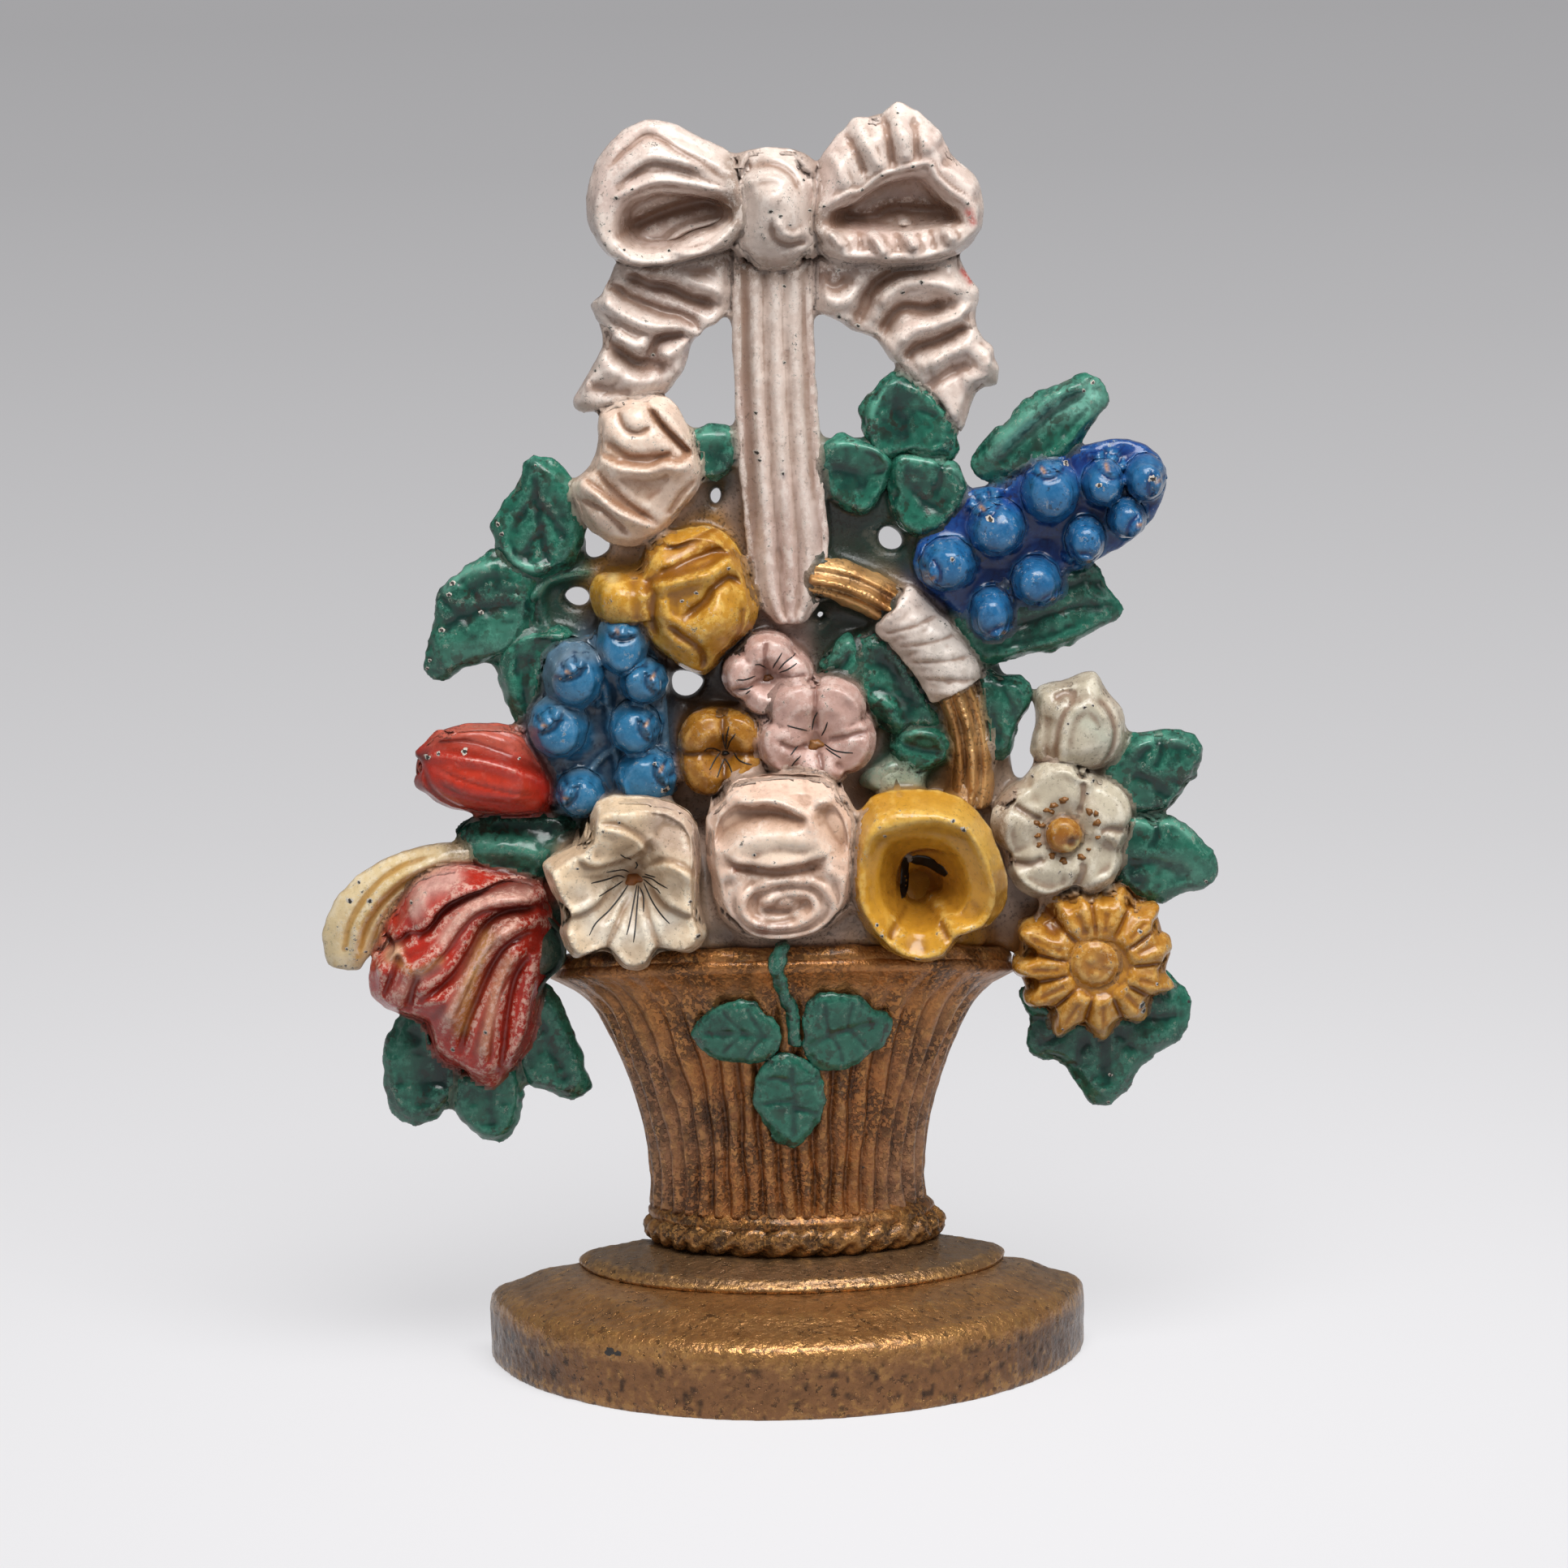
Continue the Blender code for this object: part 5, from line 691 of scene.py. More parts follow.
        ("grab", 4, 2.5, 0.5, [(21, 196)]),
    ],
    "leaf_right_middle": [
        ("dome", 6.4, 6, -1.0, [(33.6, 189.4)]),
        ("ridge", 0.9, 1.1, [(27.4, 192), (29.4, 196), (33.4, 197.4), (36, 196.2)]),
        ("ridge", 0.9, 1.1, [(37, 196.6), (40.4, 194.4), (41.6, 190), (40.4, 185.6)]),
        ("ridge", 0.9, 0.9, [(26.4, 187), (28.6, 183.6), (32.6, 182), (36, 182.6)]),
        ("groove", 0.8, 0.7, [(36.2, 197), (36, 193.4), (34.6, 190)]),
        ("groove", 1.0, 0.5, [(30, 192), (33, 188.4), (37, 186)]),
        ("grab", 1.1, -0.2, -1.0, [(36.4, 197.6)]),
        ("grab", 1.2, 0.9, 0.3, [(26.6, 190)]),
        ("tint", (12, 46, 40), 2.8, 0.6, [(31, 193), (34, 189.6), (38, 188)]),
        ("tint", (124, 190, 166), 0.7, 0.7, [(29.6, 196), (33.4, 197.2), (37.4, 196.4), (40.4, 194)]),
        ("grab", 4, -1.5, 2.5, [(28, 196)]),
    ],
    "leaf_right_long_upper": [
        ("wash", (124, 186, 166), 1.6, 0.95, [(70, 214), (60, 211), (50, 203), (47, 198), (56, 203),
                                              (70, 208)]),
        ("groove", 1.2, 0.8, [(66.6, 211.6), (60, 207), (53, 201), (46.6, 195.6)]),
        ("ridge", 1.3, 0.9, [(68.6, 213.6), (61, 211.4), (54, 206.4), (47, 200)]),
        ("ridge", 1.2, 0.7, [(68.6, 207), (63, 201), (56, 196)]),
        ("tint", (16, 54, 46), 2.0, 0.6, [(62, 205.6), (55, 199.4), (49, 195)]),
    ],
    "leaf_right_long_lower": [
        ("groove", 1.2, 0.8, [(73, 165), (66, 165.6), (58, 163.6), (50, 161)]),
        ("groove", 1.1, 0.5, [(71, 169.6), (65, 170.6), (60, 168.6)]),
        ("ridge", 1.2, 0.9, [(72, 162.4), (64, 159), (55, 156.6), (46, 155)]),
        ("tint", (16, 50, 42), 2.2, 0.7, [(66, 173), (60, 170), (54, 165)]),
    ],
    "leaf_beside_handle": [
        ("groove", 1.2, 0.6, [(47, 150), (50, 146), (52, 140)]),
        ("groove", 1.1, 0.5, [(46, 143), (47.6, 138), (47.4, 133)]),
        ("tint", (14, 40, 36), 2.6, 0.8, [(46, 150.6), (51, 150)]),
        ("tint", (16, 50, 42), 2, 0.6, [(45.4, 146), (46, 138), (47, 133)]),
    ],
    "leaf_centre_back": [
        ("ridge", 1.6, 1.8, [(19.5, 146.6), (24, 145), (26, 140), (26.5, 134)]),
        ("groove", 1.5, 0.8, [(22, 156), (26, 150.6), (29, 145)]),
        ("tint", (14, 40, 36), 2.6, 0.7, [(20, 156), (27, 152), (31, 146)]),
    ],
    "leaf_centre_upper": [
        ("groove", 1.1, 0.7, [(11.4, 152), (14.4, 153.6), (16.4, 157)]),
        ("tint", (120, 190, 166), 0.9, 0.5, [(12, 155.6), (15.6, 158.6)]),
    ],
    "leaf_centre_lower": [
        ("groove", 1.1, 0.7, [(26.6, 136.6), (31, 135), (35.6, 134.4)]),
        ("ridge", 0.9, 0.9, [(27, 138.6), (31.6, 139), (35.6, 137.4)]),
        ("tint", (124, 190, 166), 0.9, 0.6, [(27.6, 138.6), (31.6, 139)]),
    ],
    "leaf_centre_pale": [
        ("tint", (190, 184, 164), 8, 0.85, [(24, 128)]),
        ("tint", (96, 160, 130), 2.4, 0.8, [(26, 127)]),
    ],
    "leaf_blossom_upper": [
        ("dome", 8, 6, 0.9, [(82, 131)]),
        ("ridge", 1.0, 1.1, [(75.6, 133), (78.4, 135.8), (81.4, 136.6)]),
        ("ridge", 1.0, 1.1, [(83, 136.4), (87, 136.2), (90.4, 133.4), (91, 130)]),
        ("groove", 0.9, 0.7, [(82, 136.6), (82.4, 133.6), (81, 130)]),
        ("groove", 1.4, 0.7, [(76, 129.4), (80.4, 127.4), (84.6, 123.4)]),
        ("groove", 0.9, 0.5, [(90.4, 127), (87, 126.4), (84, 127.4)]),
        ("grab", 1.2, 0, -0.9, [(82.2, 137)]),
        ("grab", 1.3, -1.0, 0.2, [(89, 125)]),
        ("tint", (124, 190, 166), 0.8, 0.7, [(77, 134.8), (80, 136.4), (84, 136.4), (88, 135.6)]),
        ("tint", (12, 42, 38), 3.0, 0.65, [(78, 130), (81, 126.4), (82.6, 122.6)]),
        ("tint", (12, 36, 32), 1.6, 0.8, [(78, 120.6), (83.4, 121)]),
    ],
    "leaf_blossom_lower": [
        ("dome", 9, 5, 0.8, [(83, 112)]),
        ("ridge", 1.0, 1.1, [(74, 117), (77.4, 118.6), (80.4, 118)]),
        ("ridge", 1.0, 1.0, [(81.6, 118.2), (86, 117.6), (90, 113.6), (92.6, 108.6)]),
        ("groove", 0.9, 0.6, [(81, 118.4), (81.4, 115.6), (80, 112.6)]),
        ("groove", 1.6, 0.7, [(74.6, 108.6), (79, 109.6), (84, 108.4), (89, 105.4)]),
        ("grab", 1.2, 0, -0.7, [(81, 118.8)]),
        # Painted highlight along the top edge, and painted shadow at the lower left
        ("tint", (124, 190, 166), 0.8, 0.6, [(76, 118), (80, 117.8), (85, 117.8), (89, 114.8)]),
        ("tint", (12, 38, 34), 2.4, 0.8, [(73, 107.6), (77.4, 105.6)]),
        ("tint", (96, 150, 132), 3, 0.5, [(84, 109), (89, 106)]),
        ("tint", (12, 46, 40), 2.4, 0.55, [(75, 114.6), (80, 114), (84, 115)]),
    ],
    "leaf_daisy": [
        ("groove", 1.4, 0.8, [(69.6, 72), (69.8, 66), (70.4, 59)]),
        ("groove", 1.4, 0.7, [(76, 76), (80.6, 75), (86, 75.4)]),
        ("groove", 1.2, 0.7, [(61, 73), (58, 70.6), (55, 69.6)]),
        ("groove", 1.1, 0.6, [(66, 70.6), (64.4, 67.6), (63.6, 64)]),
        ("groove", 1.1, 0.5, [(73, 72), (76.4, 68.6), (79.4, 67.4)]),
        ("tint", (14, 44, 38), 2.0, 0.7, [(57, 74), (56, 71), (59, 68.6)]),
        # Painted shadow along the edge of the daisy's petals
        ("tint", (14, 48, 42), 1.6, 0.7, [(66, 69.6), (71, 70.4), (75, 73.6), (80, 79.6)]),
    ],
    "leaf_behind_rosebud": [
        ("tint", (100, 160, 140), 1.4, 0.6, [(-16, 204), (-8.6, 204)]),
        ("tint", (14, 40, 36), 2.6, 0.8, [(-11, 199), (-9.6, 197)]),
    ],
    "sprig_leaf_left": [
        ("groove", 0.9, 0.4, [(-18, 76), (-10, 76.2), (-2, 75.4)]),
        ("groove", 0.6, 0.3, [(-8, 76.4), (-11, 79.4), (-12.6, 81.6)]),
        ("groove", 0.6, 0.3, [(-4, 76), (-6, 79.4), (-7.4, 82.4)]),
        ("groove", 0.6, 0.3, [(-9, 75.6), (-11.6, 73), (-13, 71.4)]),
        ("groove", 0.6, 0.3, [(-4.6, 75.2), (-6.6, 72.6), (-8, 70)]),
    ],
    "sprig_leaf_right": [
        ("groove", 0.9, 0.4, [(5.6, 73), (12, 76), (21.6, 78)]),
        ("groove", 0.6, 0.3, [(10, 75.4), (9.6, 79.6), (9.4, 83)]),
        ("groove", 0.6, 0.3, [(14, 76.6), (14.6, 80), (15.4, 83.2)]),
        ("groove", 0.6, 0.3, [(10.6, 75.2), (12.4, 72), (13, 68.6)]),
        ("groove", 0.6, 0.3, [(14.6, 76.4), (17, 73.6), (18.6, 71.4)]),
    ],
    "sprig_leaf_bottom": [
        ("groove", 0.9, 0.4, [(2, 70), (2.2, 62), (2.2, 52)]),
        ("groove", 0.6, 0.3, [(2, 65), (-1.4, 66), (-4, 65.6)]),
        ("groove", 0.6, 0.3, [(2.2, 60.6), (-1.6, 60.6), (-5, 60)]),
        ("groove", 0.6, 0.3, [(2.2, 64), (5, 64.6), (7.6, 64.6)]),
        ("groove", 0.6, 0.3, [(2.2, 59), (5, 58.4), (7.6, 57.6)]),
    ],
}
# Bells: centre and half sizes, then the middle of the mouth
BELLS = {
    "bluebell_spike_left": [
        (-32.9, 157.8, 4.9, 5.2, -32.2, 163.2), (-40.8, 151.5, 5.2, 5, -43, 155.4),
        (-28.9, 151.2, 4.7, 3.8, -25.6, 152.6),
        (-45.2, 139.7, 5.4, 5, -48.4, 144), (-30.8, 141, 5, 4.5, -27.2, 142.4),
        (-41.6, 127, 4.6, 4.6, -44.6, 128.6),
        (-28.3, 130.7, 6, 5.8, -24.2, 132.6),
    ],
    "bluebell_spike_right": [
        (59.4, 190.2, 5.2, 5.4, 58.6, 195.9), (70.4, 191.6, 4, 4.2, 72, 195.8),
        (79.6, 192.8, 4, 4.6, 81.4, 192.6),
        (75.4, 184.4, 3.9, 4.2, 77.2, 183.4), (66.6, 180.2, 4.2, 4.8, 66, 176.4),
        (48.4, 182.4, 5, 4.8, 45.6, 188.2),
        (37.8, 175.6, 5.4, 5.2, 33.6, 174.6), (56, 171.4, 5, 4.8, 58.6, 167.4),
        (46.3, 165, 4.2, 5, 47.8, 160.8),
    ],
}
# Fine black brush strokes, as drawn on the petals
STROKES = {
    "mauve_primrose_upper": [
        [(-4.2, 155.4), (-3.2, 155.4), (-2, 154.4)], [(-8, 152.3), (-6, 152.4), (-4.2, 152.8)],
        [(-7.7, 150.1), (-6, 150.2), (-4.7, 150.7)], [(-6.3, 149.1), (-5.3, 149.9)],
        [(-0.4, 154.3), (0.1, 155.5), (1.6, 157.9)], [(0.8, 154), (2.1, 155.7), (4.5, 157.2)],
        [(1, 153.4), (2.9, 154.4), (4.7, 155.5)],
    ],
    "mauve_primrose_lower": [
        [(2.4, 142.7), (4.4, 142), (6.7, 141.2)], [(8.9, 145.3), (8.1, 143.6), (7.7, 141.3)],
        [(11, 143.2), (10.5, 141.6), (9.7, 139.9)], [(4.6, 138), (3, 136.3)],
        [(5.2, 136), (3.9, 134.7), (2.9, 133.1)],
        [(10.3, 138.1), (12.4, 137), (16.3, 136.5)], [(10.6, 137.3), (13.7, 135.5)],
    ],
    "ochre_pansy": [
        [(-10, 142.2), (-10.5, 140), (-10.8, 136.7)], [(-11.4, 140.6), (-11.2, 138.5), (-10.7, 136.7)],
        [(-8.6, 140.8), (-9.8, 138.9), (-10.5, 136.7)],
        [(-15.3, 136.6), (-14.8, 137.3), (-13.4, 137.2), (-11.9, 136.2)],
        [(-12, 136), (-13.3, 134.5), (-14.3, 132.8)], [(-11.1, 134.7), (-11.9, 133.2), (-12.7, 131.2)],
        [(-11.1, 134.8), (-10.1, 133.4), (-9.3, 131.6)], [(-9.1, 136), (-8, 134.7), (-5.3, 133.8)],
    ],
    "cream_petunia": [
        [(-33.5, 116.9), (-32.3, 115.7), (-31.3, 114.9)], [(-30.4, 114.3), (-30.1, 113.3), (-30.6, 112.5)],
        [(-36.6, 112.8), (-33.4, 112.7), (-31.9, 111.8)],
        [(-39.8, 111), (-36.7, 111.1), (-34.1, 111.4), (-32.9, 110.7)],
        [(-38.2, 108.2), (-35.8, 108.9), (-33.2, 110.1)],
        [(-40.4, 100.3), (-38.9, 102.7), (-36.2, 104.7), (-33.9, 107), (-32.1, 109.2)],
        [(-32.5, 100), (-31.6, 103.2), (-30.3, 109)], [(-31.1, 98.4), (-30.6, 101.8), (-29.9, 109)],
        [(-28.9, 104.2), (-28.9, 106.9), (-29.6, 108.6)],
        [(-23.3, 102.2), (-25.3, 104.1), (-27.2, 106.5), (-28.8, 109.7)],
        [(-25.2, 108.4), (-25.9, 109.1), (-27, 109.4), (-28.8, 110.4)],
        [(-23.6, 109.7), (-25.5, 110.3), (-27.1, 111), (-29.1, 110.9)],
        [(-26.2, 111.5), (-28.5, 111.6)],
    ],
}
# Stamens of the trumpet: colour, then the width and line of each
STAMENS = {
    "black_stamens": ((14, 12, 10), [
        (3.0, [(28.2, 112.6), (32, 111.8), (35.8, 109.6)]),
        (1.9, [(27.2, 113.3), (27, 109.4), (26.6, 104.6)]),
    ]),
    "grey_stamen_tip": ((150, 146, 140), [(2.2, [(27, 113.2), (28.6, 112.4)])]),
}
# Dabs of paint in the middle of a flower: flower, place, size and colour
EYES = {
    "upper_primrose_eye": ("mauve_primrose_upper", -1.5, 152, 2, (128, 78, 40)),
    "lower_primrose_eye": ("mauve_primrose_lower", 8.4, 138, 3, (150, 98, 44)),
    "petunia_eye": ("cream_petunia", -31, 110.2, 3.3, (158, 92, 34)),
    "pansy_eye": ("ochre_pansy", -10.9, 135.9, 1.5, (30, 22, 16)),
}
BLOSSOM_DOTS = [
    (61.1, 124.8, 1.7), (59, 123.6, 1.5), (57.5, 122.6, 1.2), (58.6, 122.2, 1.2), (66.6, 122.2, 1.5),
    (68, 121.8, 1.2),
    (68.2, 119.8, 1.6), (68.4, 116.6, 1.0), (66.4, 113.8, 0.8), (64.8, 112.2, 1.5), (61, 111.4, 1.5),
    (58.6, 112.6, 1.4),
    (55.8, 115, 1.1), (55.6, 117, 1.2), (56.6, 119.2, 1.4), (55.4, 119.8, 1.2),
]
# Where the enamel has chipped to the iron: middle and size
CHIPS = {
    "bow_loop_left": [(-31.4, 255, 1.0), (-28, 256.8, 0.8), (-20.6, 243.6, 0.8), (-33, 248, 0.6),
                      (-30, 244, 0.7)],
    "bow_knot": [(1, 252, 1.2), (3, 251, 1.0), (9.2, 251.5, 0.8), (8, 258, 0.8), (5, 249, 0.6)],
    "bow_loop_right": [(12.2, 252.4, 0.8), (20.3, 255.6, 0.9), (24.5, 258.6, 0.9), (31, 260.4, 1.0),
                       (35, 260.6, 0.8), (42.4, 252.4, 0.8), (25, 241.4, 0.7), (28, 271.4, 0.7)],
    "bow_tail_left": [(-24.5, 221, 0.8), (-36.8, 218, 0.7), (-16.4, 223, 0.6)],
    "bow_tail_right": [(28.5, 233.5, 1.0), (32.5, 235.8, 1.1), (15, 228.6, 1.2), (19, 226.4, 1.0)],
    "ribbon_stem": [(3.5, 235.2, 0.9), (3.3, 219, 0.8), (-3, 208.5, 1.0), (-3, 200, 1.3),
                    (2.5, 195.5, 0.9), (-2.4, 198.4, 0.9)],
    "rosebud": [(-31, 211, 0.9), (-22.9, 201.6, 0.7)],
    "yellow_rose": [(-16.3, 171.5, 0.9), (-19.4, 169.8, 0.8), (-9.4, 176.2, 0.8)],
    "cream_petunia": [(-33.5, 124.5, 0.8), (-42.6, 114.7, 0.7), (-18.9, 107.1, 0.8), (-17.4, 99.6, 1.2),
                      (-39.5, 95.7, 0.7)],
    "pink_rose": [(-5.1, 117.5, 0.8), (-4.3, 114.6, 0.7), (-13.6, 104, 0.6)],
    "yellow_trumpet": [(22.6, 120.6, 0.8), (37, 124, 1.0), (39.2, 122, 1.2), (20.6, 101.5, 0.8),
                       (21.6, 99.2, 0.8), (29.2, 93.7, 1.3)],
    "white_blossom": [(54.6, 129.6, 0.7), (67.6, 128.4, 0.8), (66.2, 126, 0.7)],
    "white_bud": [(65.8, 144.8, 0.9), (62.2, 141.4, 0.7), (67.6, 145.2, 0.6)],
    "golden_daisy": [(66.4, 93.2, 1.1), (77.2, 96, 1.0), (77.6, 79.4, 1.6), (78, 77.8, 1.3),
                     (71, 85.6, 0.9), (80.8, 84.2, 0.7), (60.4, 74.6, 0.6)],
    "leaf_left_outer": [(-68.4, 173, 1.3), (-69.2, 170.6, 1.1), (-62.4, 166.6, 0.9), (-71, 163, 1.2),
                        (-73.8, 156.2, 0.8), (-74.4, 154.4, 0.8)],
    "leaf_left_top": [(-58.4, 185.4, 1.0), (-57.6, 183.4, 1.0), (-50, 198, 0.5)],
    "leaf_left_lower": [(-48.2, 163, 1.0)],
    "red_tulip_bud": [(-77, 135.8, 1.4), (-74.6, 136.1, 1.3), (-72.2, 137, 0.9), (-66.6, 137.4, 1.2),
                      (-73, 140.8, 0.9), (-55, 135.4, 0.6)],
    "parrot_tulip_outer_petal": [(-92.4, 104.5, 1.4), (-88, 104.7, 1.3), (-90.4, 108.4, 0.8),
                                 (-89.4, 93, 0.7), (-93.4, 94, 0.7)],
    "parrot_tulip": [(-71, 72.2, 1.0), (-63.6, 77, 0.9), (-79, 104.6, 0.8)],
    "bluebell_spike_left": [(-23.8, 128.8, 1.6), (-45.6, 153.4, 0.6), (-43.4, 153.8, 0.6),
                            (-26, 134.6, 0.8)],
    "bluebell_spike_right": [(46.2, 185.8, 1.5), (69.2, 192.8, 1.2), (80.6, 194, 1.4), (62.6, 196.6, 1.1),
                             (38, 177.6, 1.0)],
    "leaf_blossom_lower": [(92, 104.8, 0.8)],
    "leaf_daisy": [(71, 62.4, 0.8), (88.2, 78, 1.0), (88.6, 74.4, 0.8), (70.6, 56, 0.8)],
    "leaf_right_long_upper": [(68.6, 213.4, 0.9), (66.6, 211.8, 0.8)],
    "basket_body": [(17, 44, 0.7), (-19, 58, 0.6)],
    "plinth": [(-38, 12.4, 2.6), (-36.2, 12.3, 1.8), (4.4, -0.2, 1.0)],
}


# ---------------------------------------------------------------- shaping


def add_piece(name, bm):
    mesh = bpy.data.meshes.new(name)
    bm.to_mesh(mesh)
    bm.free()
    obj = bpy.data.objects.new(name, mesh)
    bpy.context.scene.collection.objects.link(obj)
    return obj


def settle(obj):
    """Makes the mesh that the modifiers give the piece's own."""
    graph = bpy.context.evaluated_depsgraph_get()
    mesh = bpy.data.meshes.new_from_object(obj.evaluated_get(graph))
    obj.modifiers.clear()
    old = obj.data
    obj.data = mesh
    bpy.data.meshes.remove(old)
    mesh.shade_smooth()


def skin(name, nodes, grain, rounds):
    """An even, rounded skin over copies of the named solids."""
    bm = bmesh.new()
    for node in nodes:
        bm.from_mesh(frame["nodes"][node].data)
    bmesh.ops.remove_doubles(bm, verts=bm.verts, dist=0.02 * MM)
    obj = add_piece(name, bm)
    even = obj.modifiers.new("Even skin", "REMESH")
    even.mode = "VOXEL"
    even.voxel_size = grain * MM
    soft = obj.modifiers.new("Rounded corners", "SMOOTH")
    soft.factor = 0.5
    soft.iterations = rounds
    settle(obj)
    return obj


def loft(rings):
    """A closed mesh through rings of as many points each, its two ends capped."""
    bm = bmesh.new()
    verts = bmesh.ops.create_circle(bm, segments=len(rings[0]))["verts"]
    for vert, place in zip(verts, rings[0]):
        vert.co = place
    edges = [bm.edges.get(pair) for pair in zip(verts, verts[1:] + verts[:1])]
    first, every = list(edges), list(verts)
    for ring in rings[1:]:
        made = bmesh.ops.extrude_edge_only(bm, edges=edges)["geom"]
        fresh = {item for item in made if isinstance(item, bmesh.types.BMVert)}
        verts = [next(e.other_vert(v) for e in v.link_edges if e.other_vert(v) in fresh) for v in verts]
        for vert, place in zip(verts, ring):
            vert.co = place
        edges = [bm.edges.get(pair) for pair in zip(verts, verts[1:] + verts[:1])]
        every += verts
    for i, vert in enumerate(every):
        vert.index = i
    bm.verts.sort()
    bmesh.ops.contextual_create(bm, geom=first)
    bmesh.ops.contextual_create(bm, geom=edges)
    bmesh.ops.recalc_face_normals(bm, faces=bm.faces)
    return bm


def smooth_line(points, gap=0.4):
    """Close points along the smooth line through the drawn ones."""
    spots = np.array(points, float)
    if len(spots) == 1:
        return spots
    ends = np.vstack([2 * spots[0] - spots[1], spots, 2 * spots[-1] - spots[-2]])
    line = []
    for a, b, c, d in zip(ends, ends[1:], ends[2:], ends[3:]):
        count = max(2, int(np.linalg.norm(c - b) / gap) + 1)
        t = np.linspace(0, 1, count, endpoint=False)[:, None]
        curve = 2 * b + (c - a) * t + (2 * a - 5 * b + 4 * c - d) * t**2 + (3 * b - a - 3 * c + d) * t**3
        line.append(0.5 * curve)
    return np.vstack([*line, spots[-1:]])


def within(flat, line):
    """Whether each point lies inside a closed line."""
    inside = np.zeros(len(flat), bool)
    for (ax, az), (bx, bz) in zip(line, np.roll(line, -1, axis=0)):
        if az != bz:
            crosses = (flat[:, 1] < max(az, bz)) & (flat[:, 1] >= min(az, bz))
            inside ^= crosses & (flat[:, 0] < ax + (flat[:, 1] - az) * (bx - ax) / (bz - az))
    return inside


def grain_noise(places, size, seed):
    """Smooth noise from -1 to 1 with lumps of about a size, the same on every run."""
    scaled = places / size + seed * 17.3
    cell = np.floor(scaled).astype(np.int64)
    part = scaled - cell
    part = part * part * (3 - 2 * part)
    total = np.zeros(len(places))
    for corner in range(8):
        step = np.array([corner & 1, corner >> 1 & 1, corner >> 2 & 1])
        key = (cell + step) @ np.array(CELL_STRIDES)
        key = (key ^ (key >> 13)) * CELL_MIX & 0x7FFFFFFF
        value = (key ^ (key >> 16)) % 65521 / 32760.5 - 1
        total += value * np.prod(np.where(step, part, 1 - part), axis=1)
    return total


